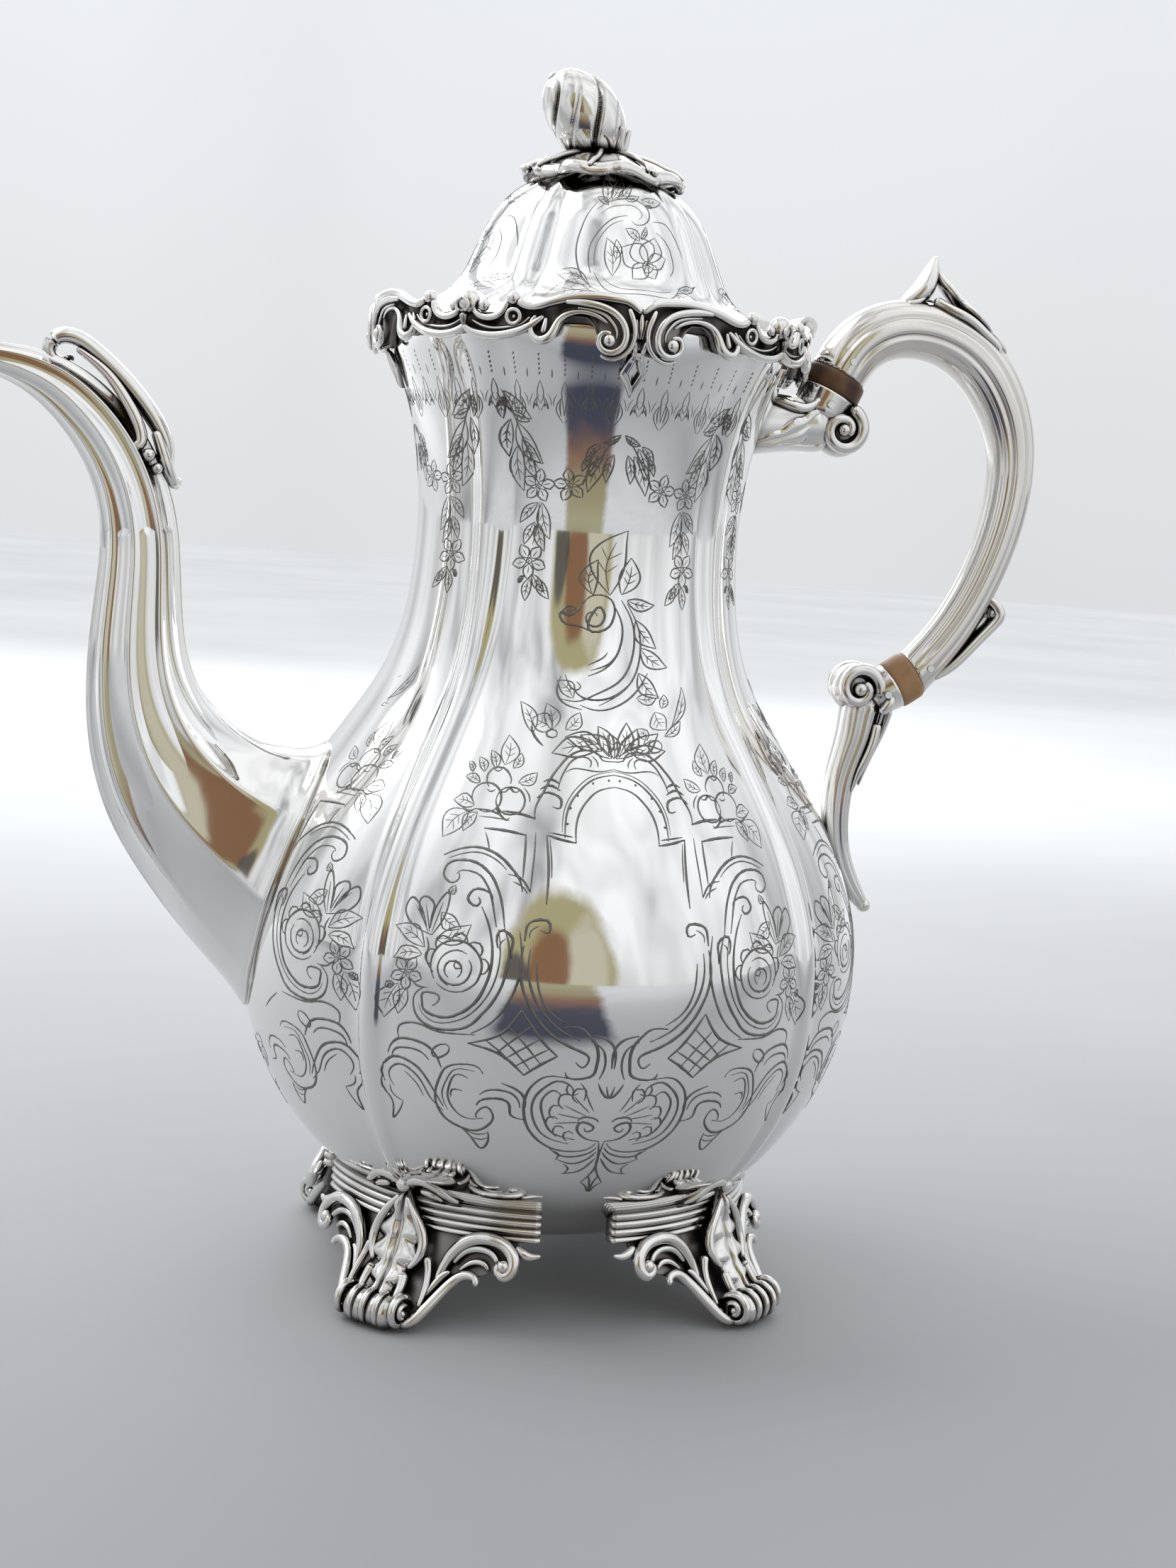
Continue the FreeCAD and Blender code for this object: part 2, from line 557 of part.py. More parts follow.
g0 = along(UC, UN, ut / 2 + g)
g1 = along(LC, LN, lt / 2 + g)
GRIP = [
    (g0[0], g0[1], 6.9, 6.9, UN[0], UN[1]),
    (62.6, 219.6, 7.0, 7.0, 0.56, 0.83),
    (66.9, 223.6, 7.05, 7.05, 0.80, 0.60),
    (73.6, 226.2, 7.05, 7.05, 0.98, 0.18),
    (82.6, 225.9, 7.0, 7.0, 0.965, -0.26),
    (91.6, 222.0, 7.0, 7.0, 0.83, -0.56),
    (99.2, 213.8, 6.8, 6.8, 0.58, -0.81),
    (103.7, 203.6, 6.4, 6.4, 0.26, -0.965),
    (104.9, 193.4, 6.05, 6.05, -0.02, -1.0),
    (103.7, 182.6, 5.7, 5.7, -0.20, -0.98),
    (100.9, 172.6, 5.4, 5.4, -0.36, -0.93),
    (96.5, 162.4, 5.3, 5.3, -0.52, -0.85),
    (90.6, 153.0, 5.4, 5.4, -0.68, -0.73),
    (g1[0], g1[1], 5.7, 5.7, -LN[0], -LN[1]),
]
grip_out = tube_surface("grip_outer", GRIP)
gb = [(x, z, max(a - 1.2, 1), max(b - 1.2, 1), nx, nz) for (x, z, a, b, nx, nz) in GRIP]
gb[0] = (g0[0] - UN[0] * 0.6, g0[1] - UN[1] * 0.6, 5.7, 5.7, UN[0], UN[1])
gb[-1] = (g1[0] - LN[0] * 0.6, g1[1] - LN[1] * 0.6, 4.5, 4.5, -LN[0], -LN[1])
grip_bore = tube_surface("grip_bore", gb)
grip = boolean("Cut", "grip_hollow", grip_out, grip_bore)


def pin_at(c, n, d):
    x, z = along(c, n, d)
    return x, z


tl = D("tenon_len")
tll = D("tenon_low_len")
# pins cross the tenons: two through the sockets and two through the handle
PINS = {
    "grip_top": pin_at(UC, UN, ut / 2 + 3.4),
    "socket_top": pin_at(UC, UN, -ut / 2 - 3.2),
    "grip_low": pin_at(LC, LN, lt / 2 + 3.4),
    "socket_low": pin_at(LC, LN, -lt / 2 - 3.2),
}
drills = {}
for k, (x, z) in PINS.items():
    drills[k] = cylinder("pin_drill_" + k, "Dims.pin_rad + 0.02", 60, (x, -30, z), (0, 1, 0))
tenon_holes = [cylinder("grip_tenon_hole_%d" % k, "Dims.tenon_rad + Dims.solder_gap", (tl, tll)[k] + 0.4, (p[0] - n[0] * 0.2, 0, p[1] - n[1] * 0.2), (n[0], 0, n[1])) for k, (p, n) in enumerate(((g0, UN), (g1, LN)))]
grip = boolean("Cut", "grip_socketed", grip, multi("grip_tenon_holes", tenon_holes))
grip = boolean("Cut", "grip_pinned", grip, multi("grip_drills", [drills["grip_top"], drills["grip_low"]]))
finish(grip, "handle_grip")

leaf_top = plate_xz("thumb_leaf_blank", [(72.0, 229.0), (74.6, 233.6), (78.2, 236.9), (80.0, 241.0), (81.4, 244.2), (82.6, 243.2), (83.6, 240.6), (86.6, 236.2), (90.0, 233.2), (93.6, 230.6), (95.0, 224.0)], 5.2)
leaf_top = boolean("Cut", "thumb_leaf_seated", leaf_top, grip_out)
leaf_top2 = boolean("Cut", "thumb_leaf_top_only", leaf_top, box("thumb_leaf_under", (60, -20, 200), (110, 20, 226.6)))
finish(leaf_top2, "handle_thumb_leaf")

tail = plate_xz("tail_scroll_blank", [(99.0, 166.0), (101.9, 164.4), (104.6, 163.0), (105.3, 160.9), (104.6, 158.2), (101.8, 155.6), (97.8, 151.2), (93.4, 147.2), (90.4, 144.6), (88.0, 149.0)], 4.0)
tail = boolean("Cut", "tail_scroll_seated", tail, grip_out)
tail = boolean("Cut", "tail_scroll_outer", tail, box("tail_scroll_inner", (60, -20, 140), (90.2, 20, 148.2)))
tail = boolean("Cut", "tail_scroll_trimmed", tail, cylinder("tail_scroll_trim", 30, 30, (g1[0], 0, g1[1]), (-LN[0], 0, -LN[1])))
finish(tail, "handle_tail_scroll")


def insulator(name, c, n, radius, thick, deep, socket_drill, grip_drill):
    disc_ = cylinder(name + "_disc", radius, thick, (c[0] - n[0] * D(thick.split(".")[1]) / 2, 0, c[1] - n[1] * D(thick.split(".")[1]) / 2), (n[0], 0, n[1]))
    L = D(thick.split(".")[1]) + 2 * deep
    tenon = cylinder(name + "_tenon", "Dims.tenon_rad", L, (c[0] - n[0] * L / 2, 0, c[1] - n[1] * L / 2), (n[0], 0, n[1]))
    o = boolean("Fuse", name + "_fused", disc_, tenon)
    o = boolean("Cut", name + "_drilled", o, multi(name + "_drills", [socket_drill, grip_drill]))
    finish(o, name)
    return tenon


tu = insulator("upper_insulator", UC, UN, "Dims.upper_ring_rad", "Dims.upper_ring_thick", tl, drills["socket_top"], drills["grip_top"])
tlw = insulator("lower_insulator", LC, LN, "Dims.lower_ring_rad", "Dims.lower_ring_thick", tll, drills["socket_low"], drills["grip_low"])

# upper socket: short arm from the neck, round knee, cup for the insulator
uo = along(UC, UN, -ut / 2 - g)
arm = doc.addObject("Part::Cone", "upper_socket_arm")
arm.Radius1, arm.Radius2, arm.Height = 7.6, 6.9, 22.0
arm.Placement = FreeCAD.Placement(V(35.0, 0, 203.2), FreeCAD.Rotation(V(0, 0, 1), V(1, 0, 0.02)))
knee = sphere("upper_socket_knee", 8.3, (58.0, 0, 203.4))
cup = cylinder("upper_socket_cup", 7.0, 9.0, (uo[0] - UN[0] * 9.0, 0, uo[1] - UN[1] * 9.0), (UN[0], 0, UN[1]))
us = multi("upper_socket_fused", [arm, knee, cup])
us_hole = cylinder("upper_socket_hole", "Dims.tenon_rad + Dims.solder_gap", tl + 0.4, (uo[0] - UN[0] * (tl + 0.2), 0, uo[1] - UN[1] * (tl + 0.2)), (UN[0], 0, UN[1]))
us = boolean("Cut", "upper_socket_bored", us, us_hole)
us = boolean("Cut", "upper_socket_pinned", us, drills["socket_top"])
trim_dir = V(UN[0], 0, UN[1])
us = boolean("Cut", "upper_socket_trimmed", us, cylinder("upper_socket_trim", 20, 20, (uo[0], 0, uo[1]), (UN[0], 0, UN[1])))
us = boolean("Cut", "upper_socket_seated", us, env)
rim_clear = cylinder("upper_socket_rim_clear", go + 0.3, 14.0, (0, 0, gl - 0.8), (0, 0, 1))
us = boolean("Cut", "upper_socket_clear", us, rim_clear)
finish(us, "upper_handle_socket")

# lower socket: knob, and an arm that runs down the belly to a curled tail
lo_ = along(LC, LN, -lt / 2 - g)
knob = sphere("lower_socket_knob", 7.2, (73.6, 0, 139.9))
cup = cylinder("lower_socket_cup", 5.9, 8.0, (lo_[0] - LN[0] * 8.0, 0, lo_[1] - LN[1] * 8.0), (LN[0], 0, LN[1]))
ARM = [
    (72.6, 138.0, 5.0, 5.0, -0.15, -1.0),
    (71.3, 130.5, 4.6, 4.6, -0.22, -0.97),
    (69.0, 121.5, 3.9, 3.9, -0.17, -0.985),
    (68.1, 112.0, 3.4, 3.4, 0.0, -1.0),
    (69.2, 103.0, 3.1, 3.1, 0.26, -0.965),
    (72.4, 95.2, 2.7, 2.7, 0.50, -0.866),
    (75.6, 90.4, 2.1, 2.1, 0.60, -0.80),
    (77.8, 87.8, 1.3, 1.3, 0.68, -0.73),
]
arm = tube_surface("lower_socket_arm", ARM)
ls = multi("lower_socket_fused", [knob, cup, arm])
ls = boolean("Cut", "lower_socket_bored", ls, cylinder("lower_socket_hole", "Dims.tenon_rad + Dims.solder_gap", tll + 0.4, (lo_[0] - LN[0] * (tll + 0.2), 0, lo_[1] - LN[1] * (tll + 0.2)), (LN[0], 0, LN[1])))
ls = boolean("Cut", "lower_socket_pinned", ls, drills["socket_low"])
ls = boolean("Cut", "lower_socket_trimmed", ls, cylinder("lower_socket_trim", 20, 20, (lo_[0], 0, lo_[1]), (LN[0], 0, LN[1])))
ls = boolean("Cut", "lower_socket_seated", ls, env)
finish(ls, "lower_handle_socket")

half = {"grip_top": 7.05, "socket_top": 7.75, "grip_low": 5.75, "socket_low": 6.6}
pins = []
for k, (x, z) in PINS.items():
    pins.append(cylinder("pin_rod_" + k, "Dims.pin_rad", 2 * half[k], (x, -half[k], z), (0, 1, 0)))
pin_all = multi("handle_pins_fused", pins)
finish(pin_all, "handle_pins")

# ---------------------------------------------------------------- feet, built on the +X side and turned to the diagonals
fc, sr, sl, sz = D("foot_contact"), D("foot_scroll_rad"), D("foot_scroll_len"), D("foot_scroll_z")
band = new_body("foot_band")
sk = new_sketch(band, "foot_band_section")
lines(sk, [(44.0, 27.0), (48.2, 27.0), (49.6, 26.2), (49.9, 24.6), (49.2, 23.8), (50.3, 22.9), (50.4, 20.9), (49.3, 19.8), (40.0, 19.8), (40.0, 27.0)][:-1])
f = revolve(band, sk, "foot_band_revolve", D("foot_band_angle"), mid=True)
f.setExpression("Angle", "Dims.foot_band_angle")
shield = new_body("foot_shield")
sk = new_sketch(shield, "foot_shield_section")
arcs(sk, [(49.0, 20.2), (51.2, 14.6), (55.0, 8.4), (60.2, 2.6)])
lines(sk, [(60.2, 2.6), (58.4, 2.0)], closed=False)
arcs(sk, [(58.4, 2.0), (53.4, 7.0), (49.4, 13.2), (47.2, 19.4)])
lines(sk, [(47.2, 19.4), (49.0, 20.2)], closed=False)
f = revolve(shield, sk, "foot_shield_revolve", D("foot_wing_angle"), mid=True)
f.setExpression("Angle", "Dims.foot_wing_angle")
# the shield narrows from its wings to the toe
keep = new_body("foot_shield_outline")
sk = new_sketch(keep, "foot_shield_outline_sketch", "YZ_Plane")
HALF = [(26.4, 21.0), (26.2, 15.6), (22.6, 13.0), (17.6, 11.2), (14.4, 9.0), (11.4, 4.6), (8.4, 0.0)]
lines(sk, HALF + [(-a_, b_) for a_, b_ in reversed(HALF)])
pad = keep.newObject("PartDesign::Pad", "foot_shield_outline_pad")
pad.Profile = sk
pad.Length = 90.0
shield_cut = boolean("Common", "foot_shield_cut", shield, keep)
spine = tube_surface("foot_spine", [
    (48.6, 27.6, 3.0, 3.0, 0.10, -1.0),
    (50.4, 20.0, 4.2, 4.2, 0.28, -0.96),
    (53.6, 12.6, 4.4, 4.4, 0.52, -0.85),
    (58.6, 6.6, 3.9, 3.9, 0.75, -0.66),
])
toe = cylinder("foot_toe", "Dims.foot_scroll_rad", "Dims.foot_scroll_len", (fc, 0, sz), (0, 1, 0))
toe.setExpression("Placement.Base.y", "-Dims.foot_scroll_len / 2")
foot = multi("foot_fused", [band, shield_cut, spine, toe])
foot = boolean("Cut", "foot_flat", foot, box("foot_under", (20, -60, -20), (90, 60, 0)))
foot = boolean("Cut", "foot_seated", foot, env)
names = {45: "foot_back_right", 135: "foot_back_left", 225: "foot_front_left", 315: "foot_front_right"}
doc.recompute()
for ang, nm in names.items():
    o = doc.addObject("Part::Feature", nm + "_casting")
    s_ = foot.Shape.copy()
    s_.rotate(V(0, 0, 0), V(0, 0, 1), ang)
    o.Shape = s_
    finish(o, nm)

doc.recompute()

# ---------------------------------------------------------------- check and write
bad = [o.Name for o in doc.Objects if "Invalid" in o.State or "Error" in o.State]
if bad:
    raise RuntimeError("failed features: %s" % bad)
total = None
for obj, name in FINAL:
    s_ = obj.Shape
    if s_.isNull() or not s_.isValid() or not s_.Solids:
        raise RuntimeError("%s has no valid solid" % name)
    b = s_.BoundBox
    print("%-22s solids %d vol %9.1f  x %7.2f %7.2f  y %7.2f %7.2f  z %7.2f %7.2f" % (name, len(s_.Solids), s_.Volume, b.XMin, b.XMax, b.YMin, b.YMax, b.ZMin, b.ZMax))
    total = b if total is None else total.united(b)
print("whole", total)
for obj, name in FINAL:
    obj.Shape.exportStep("parts/%s.step" % name)
print("nodes", len(FINAL))
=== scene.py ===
# Silver coffee pot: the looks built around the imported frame.
import bpy
import bmesh
import math
import numpy as np
from mathutils import Vector, Matrix


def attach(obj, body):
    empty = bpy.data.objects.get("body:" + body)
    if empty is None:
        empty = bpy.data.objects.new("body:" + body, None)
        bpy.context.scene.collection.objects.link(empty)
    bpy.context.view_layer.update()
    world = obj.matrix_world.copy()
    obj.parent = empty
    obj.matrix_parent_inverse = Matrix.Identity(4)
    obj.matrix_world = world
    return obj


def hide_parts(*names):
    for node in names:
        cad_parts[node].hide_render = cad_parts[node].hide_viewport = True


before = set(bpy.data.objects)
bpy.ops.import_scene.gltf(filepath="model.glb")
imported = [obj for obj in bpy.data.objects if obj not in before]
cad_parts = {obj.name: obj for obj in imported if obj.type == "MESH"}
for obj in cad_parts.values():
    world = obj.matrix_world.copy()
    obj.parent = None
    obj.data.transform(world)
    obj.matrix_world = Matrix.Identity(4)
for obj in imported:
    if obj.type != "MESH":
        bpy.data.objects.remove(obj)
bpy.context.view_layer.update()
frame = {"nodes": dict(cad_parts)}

X0 = 12.6  # the pot's axis in the row frame, mm
rad = np.radians
PI = math.pi

# ------------------------------------------------------------------ camera
AL, DIST, ZC, YAW, PITCH, ROLL, FPX = 12.143, 534.45, 182.85, 0.695, -7.174, 4.049, 3241.2
_a, _y, _p, _r = (math.radians(v) for v in (AL, YAW, PITCH, ROLL))
fw = np.array([math.sin(_a), math.cos(_a), 0.0])
rt = np.array([math.cos(_a), -math.sin(_a), 0.0])
up = np.array([0.0, 0.0, 1.0])
fw2 = math.cos(_y) * fw + math.sin(_y) * rt
rt2 = math.cos(_y) * rt - math.sin(_y) * fw
fw3 = math.cos(_p) * fw2 + math.sin(_p) * up
up3 = math.cos(_p) * up - math.sin(_p) * fw2
rt4 = math.cos(_r) * rt2 + math.sin(_r) * up3
up4 = math.cos(_r) * up3 - math.sin(_r) * rt2
eye = np.array([-math.sin(_a) * DIST + X0, -math.cos(_a) * DIST, ZC]) / 1000.0
cam_data = bpy.data.cameras.new("photo_camera")
cam = bpy.data.objects.new("photo_camera", cam_data)
bpy.context.scene.collection.objects.link(cam)
cam.matrix_world = Matrix((
    (rt4[0], up4[0], -fw3[0], eye[0]),
    (rt4[1], up4[1], -fw3[1], eye[1]),
    (rt4[2], up4[2], -fw3[2], eye[2]),
    (0, 0, 0, 1)))
cam_data.sensor_fit = "AUTO"
cam_data.sensor_width = 36.0
cam_data.lens = FPX * 36.0 / 2212.0
cam_data.clip_start = 0.01
cam_data.clip_end = 50.0
bpy.context.scene.camera = cam


# ------------------------------------------------------------------ materials
def new_mat(name):
    m = bpy.data.materials.new(name)
    m.use_nodes = True
    nt = m.node_tree
    nt.nodes.clear()
    out = nt.nodes.new("ShaderNodeOutputMaterial")
    b = nt.nodes.new("ShaderNodeBsdfPrincipled")
    nt.links.new(b.outputs[0], out.inputs[0])
    return m, nt, b


def node(nt, kind, **kw):
    n = nt.nodes.new(kind)
    for k, v in kw.items():
        if k.startswith("in_"):
            n.inputs[int(k[3:])].default_value = v
        else:
            setattr(n, k, v)
    return n


def noise(nt, vec, scale, detail=3.0, rough=0.5, distortion=0.0):
    n = node(nt, "ShaderNodeTexNoise")
    n.inputs["Scale"].default_value = scale
    n.inputs["Detail"].default_value = detail
    n.inputs["Roughness"].default_value = rough
    n.inputs["Distortion"].default_value = distortion
    nt.links.new(vec, n.inputs["Vector"])
    return n


def ramp(nt, fac, stops):
    n = node(nt, "ShaderNodeValToRGB")
    els = n.color_ramp.elements
    while len(els) < len(stops):
        els.new(0.5)
    for e, (p, c) in zip(els, stops):
        e.position = p
        e.color = (*c, 1.0) if len(c) == 3 else c
    nt.links.new(fac, n.inputs[0])
    return n


def mapped(nt, scale=(1, 1, 1), rot=(0, 0, 0)):
    tc = node(nt, "ShaderNodeTexCoord")
    mp = node(nt, "ShaderNodeMapping")
    mp.inputs["Scale"].default_value = scale
    mp.inputs["Rotation"].default_value = rot
    nt.links.new(tc.outputs["Object"], mp.inputs["Vector"])
    return mp.outputs[0]


def bumped(nt, b, parts):
    """parts: (height output, strength, distance in metres), chained"""
    prev = None
    for h, s, d in parts:
        n = node(nt, "ShaderNodeBump")
        n.inputs["Strength"].default_value = s
        n.inputs["Distance"].default_value = d
        nt.links.new(h, n.inputs["Height"])
        if prev is not None:
            nt.links.new(prev, n.inputs["Normal"])
        prev = n.outputs[0]
    nt.links.new(prev, b.inputs["Normal"])


def polished(name, tone=(0.93, 0.925, 0.91), tone2=(0.86, 0.855, 0.84), r0=0.03, r1=0.11, recess=None, wave=0.25):
    m, nt, b = new_mat(name)
    b.inputs["Metallic"].default_value = 1.0
    v = mapped(nt)
    n1 = noise(nt, v, 22.0, 4.0, 0.6)
    c1 = ramp(nt, n1.outputs[0], [(0.35, tone2), (0.62, tone)])
    col = c1.outputs[0]
    if recess:
        ao = node(nt, "ShaderNodeAmbientOcclusion")
        ao.samples = 8
        ao.inputs["Distance"].default_value = recess[0]
        rr = ramp(nt, ao.outputs["AO"], [(recess[1], recess[3]), (recess[2], (1, 1, 1))])
        mx = node(nt, "ShaderNodeMix", data_type="RGBA", blend_type="MULTIPLY")
        mx.inputs[0].default_value = 1.0
        nt.links.new(col, mx.inputs[6])
        nt.links.new(rr.outputs[0], mx.inputs[7])
        col = mx.outputs[2]
    nt.links.new(col, b.inputs["Base Color"])
    # wiped-on tarnish and fine rubbing marks
    n2 = noise(nt, mapped(nt, (1, 1, 0.35)), 60.0, 6.0, 0.7, 0.4)
    mr = node(nt, "ShaderNodeMapRange")
    mr.inputs["From Min"].default_value = 0.35
    mr.inputs["From Max"].default_value = 0.72
    mr.inputs["To Min"].default_value = r0
    mr.inputs["To Max"].default_value = r1
    nt.links.new(n2.outputs[0], mr.inputs["Value"])
    nt.links.new(mr.outputs[0], b.inputs["Roughness"])
    n3 = noise(nt, v, 16.0, 2.0, 0.5)
    n4 = noise(nt, mapped(nt, (1, 1, 0.06), (0.3, 0.2, 0.1)), 900.0, 2.0, 0.6)
    n5 = noise(nt, v, 75.0, 2.0, 0.5)
    bumped(nt, b, [(n3.outputs[0], wave, 0.0011), (n5.outputs[0], wave * 0.6, 0.00022), (n4.outputs[0], 0.10, 0.00001)])
    return m


M_SILVER = polished("polished_silver_body", (0.925, 0.92, 0.905), (0.88, 0.875, 0.86), 0.03, 0.10, None, 0.09)
M_INSIDE = polished("polished_silver_inside", (0.80, 0.79, 0.76), (0.62, 0.60, 0.56), 0.16, 0.42, None, 0.3)
# the spout and the grip darken where the AO node finds other surfaces close by: painted shade at their joints with the
# body and sockets, and in their grooves
M_SPOUT = polished("polished_silver_spout", (0.91, 0.905, 0.89), (0.84, 0.83, 0.81), 0.04, 0.13, (0.006, 0.25, 0.8, (0.45, 0.42, 0.38)), 0.2)
M_GRIP = polished("polished_silver_grip", (0.86, 0.84, 0.80), (0.76, 0.735, 0.69), 0.05, 0.18, (0.004, 0.3, 0.85, (0.35, 0.32, 0.28)), 0.3)
M_CAST = polished("cast_silver_worn", (0.90, 0.885, 0.86), (0.78, 0.765, 0.74), 0.07, 0.24, (0.0038, 0.30, 0.86, (0.055, 0.048, 0.045)), 0.25)
# dark cast silver: a painted shade on the cove behind the mouth's border, and the matted grey of the foot shields
M_CAST_SHADE_AND_MATT = polished("cast_silver_painted_shade_and_matt", (0.40, 0.375, 0.36), (0.22, 0.205, 0.20), 0.25, 0.5, (0.0035, 0.25, 0.9, (0.10, 0.09, 0.085)), 0.3)
M_FITTING = polished("silver_fitting", (0.86, 0.85, 0.83), (0.74, 0.73, 0.71), 0.08, 0.22, (0.002, 0.3, 0.9, (0.15, 0.13, 0.12)), 0.2)


def engraved(name, tone, rough):
    m, nt, b = new_mat(name)
    b.inputs["Metallic"].default_value = 1.0
    v = mapped(nt)
    n1 = noise(nt, v, 240.0, 3.0, 0.6)
    c = ramp(nt, n1.outputs[0], [(0.3, tuple(t * 0.72 for t in tone)), (0.7, tone)])
    nt.links.new(c.outputs[0], b.inputs["Base Color"])
    b.inputs["Roughness"].default_value = rough
    n2 = noise(nt, v, 1800.0, 2.0, 0.6)
    bumped(nt, b, [(n2.outputs[0], 0.5, 0.00003)])
    return m


# the engraved lines are coloured dark grey as painted shade for the inside of the cuts
M_CUT_PAINTED_SHADE = engraved("engraved_cut_painted_shade", (0.24, 0.232, 0.22), 0.42)
M_MATT = engraved("engraved_matted", (0.60, 0.59, 0.57), 0.42)


def bone(name, dark, light, grain_dir):
    m, nt, b = new_mat(name)
    v = mapped(nt, grain_dir)
    n1 = noise(nt, v, 180.0, 6.0, 0.65, 0.6)
    n0 = noise(nt, mapped(nt), 55.0, 2.0, 0.5)
    c = ramp(nt, n1.outputs[0], [(0.28, dark), (0.5, tuple((p + q) / 2 for p, q in zip(dark, light))), (0.72, light)])
    c2 = ramp(nt, n0.outputs[0], [(0.35, (0.62, 0.55, 0.48)), (0.6, (1, 1, 1))])
    mx = node(nt, "ShaderNodeMix", data_type="RGBA", blend_type="MULTIPLY")
    mx.inputs[0].default_value = 1.0
    nt.links.new(c.outputs[0], mx.inputs[6])
    nt.links.new(c2.outputs[0], mx.inputs[7])
    nt.links.new(mx.outputs[2], b.inputs["Base Color"])
    mr = node(nt, "ShaderNodeMapRange")
    mr.inputs["To Min"].default_value = 0.28
    mr.inputs["To Max"].default_value = 0.55
    nt.links.new(n1.outputs[0], mr.inputs["Value"])
    nt.links.new(mr.outputs[0], b.inputs["Roughness"])
    b.inputs["Specular IOR Level"].default_value = 0.5
    bumped(nt, b, [(n1.outputs[0], 0.5, 0.00012)])
    return m


M_BONE_UP = bone("ivory_smoked", (0.030, 0.014, 0.006), (0.20, 0.09, 0.032), (1, 1, 0.2))
M_BONE_LOW = bone("ivory_amber", (0.23, 0.115, 0.045), (0.52, 0.30, 0.14), (0.3, 1, 0.3))


# ------------------------------------------------------------------ geometry helpers (mm about the pot's axis)
def spline(P, n, t_out=None):
    """natural cubic spline through the rows of P, chord-length spaced on the first columns"""
    P = np.asarray(P, float)
    m = len(P)
    k = min(P.shape[1], 3)
    d = np.linalg.norm(np.diff(P[:, :k], axis=0), axis=1)
    d = np.maximum(d, 1e-6) ** 0.75
    t = np.concatenate([[0], np.cumsum(d)])
    if m == 2:
        s = np.linspace(0, t[-1], n) if t_out is None else np.asarray(t_out) * t[-1]
        return P[0] + (P[1] - P[0]) * (s / t[-1])[:, None]
    h = np.diff(t)
    A = np.zeros((m, m))
    B = np.zeros_like(P)
    A[0, 0] = A[-1, -1] = 1
    for i in range(1, m - 1):
        A[i, i - 1] = h[i - 1]
        A[i, i] = 2 * (h[i - 1] + h[i])
        A[i, i + 1] = h[i]
        B[i] = 3 * ((P[i + 1] - P[i]) / h[i] - (P[i] - P[i - 1]) / h[i - 1])
    c = np.linalg.solve(A, B)
    b = (np.diff(P, axis=0) / h[:, None]) - h[:, None] * (2 * c[:-1] + c[1:]) / 3
    dd = (c[1:] - c[:-1]) / (3 * h[:, None])
    s = np.linspace(0, t[-1], n) if t_out is None else np.asarray(t_out) * t[-1]
    i = np.clip(np.searchsorted(t, s, side="right") - 1, 0, m - 2)
    x = (s - t[i])[:, None]
    return P[i] + b[i] * x + c[i] * x * x + dd[i] * x ** 3


def unit(v):
    v = np.asarray(v, float)
    return v / np.maximum(np.linalg.norm(v, axis=-1, keepdims=True), 1e-12)


class Build:
    def __init__(self):
        self.V, self.F, self.n = [], [], 0

    def add(self, V, F):
        V = np.asarray(V, float).reshape(-1, 3)
        self.V.append(V)
        for f in F:
            f = np.asarray(f, int)
            if f.size:
                self.F.append(f + self.n)
        self.n += len(V)
        return self

    def mirrored(self, axis=1):
        """adds the mirror image of everything so far"""
        V = np.concatenate(self.V)
        V2 = V.copy()
        V2[:, axis] *= -1
        F2 = [f[:, ::-1] for f in self.F]
        n0 = self.n
        self.V.append(V2)
        self.F += [f + n0 for f in F2]
        self.n += len(V2)
        return self


def quads(nr, nc, wrap=True, off=0):
    i = np.arange(nr - 1)[:, None]
    j = np.arange(nc if wrap else nc - 1)[None, :]
    j2 = (j + 1) % nc
    a = i * nc + j
    b = i * nc + j2
    c = (i + 1) * nc + j2
    d = (i + 1) * nc + j
    return np.stack([a, b, c, d], -1).reshape(-1, 4) + off


def fan(center, ring, flip=False):
    ring = np.asarray(ring)
    nxt = np.roll(ring, -1)
    t = np.stack([np.full(len(ring), center), ring, nxt], -1)
    return t[:, ::-1] if flip else t


def piece(name, build, mat, body="pot", replaces=(), smooth=True, sharp=None, mats=None, fix=True):
    V = np.concatenate(build.V)
    W = np.column_stack([V[:, 0] + X0, V[:, 1], V[:, 2]]) / 1000.0
    faces = []
    for f in build.F:
        faces += f.tolist()
    me = bpy.data.meshes.new(name)
    me.from_pydata(W.tolist(), [], faces)
    me.update()
    if fix:
        bm = bmesh.new()
        bm.from_mesh(me)
        bmesh.ops.recalc_face_normals(bm, faces=bm.faces[:])
        bm.to_mesh(me)
        bm.free()
    me.polygons.foreach_set("use_smooth", [smooth] * len(me.polygons))
    if sharp:
        me.set_sharp_from_angle(angle=math.radians(sharp))
    for m in (mat if isinstance(mat, (list, tuple)) else [mat]):
        me.materials.append(m)
    ob = bpy.data.objects.new(name, me)
    bpy.context.scene.collection.objects.link(ob)
    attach(ob, body)
    if replaces:
        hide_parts(*replaces)
    return ob


def frames(P, normal=None):
    T = np.gradient(P, axis=0)
    T = unit(T)
    if normal is not None:
        N = np.broadcast_to(np.asarray(normal, float), P.shape).copy()
        N = unit(N - (N * T).sum(1, keepdims=True) * T)
    else:
        N = np.zeros_like(P)
        ref = np.array([0, 0, 1.0]) if abs(T[0][2]) < 0.9 else np.array([1.0, 0, 0])
        N[0] = unit(ref - ref.dot(T[0]) * T[0])
        for i in range(1, len(P)):
            v = N[i - 1] - N[i - 1].dot(T[i]) * T[i]
            N[i] = unit(v)
    B = np.cross(T, N)
    return T, N, B


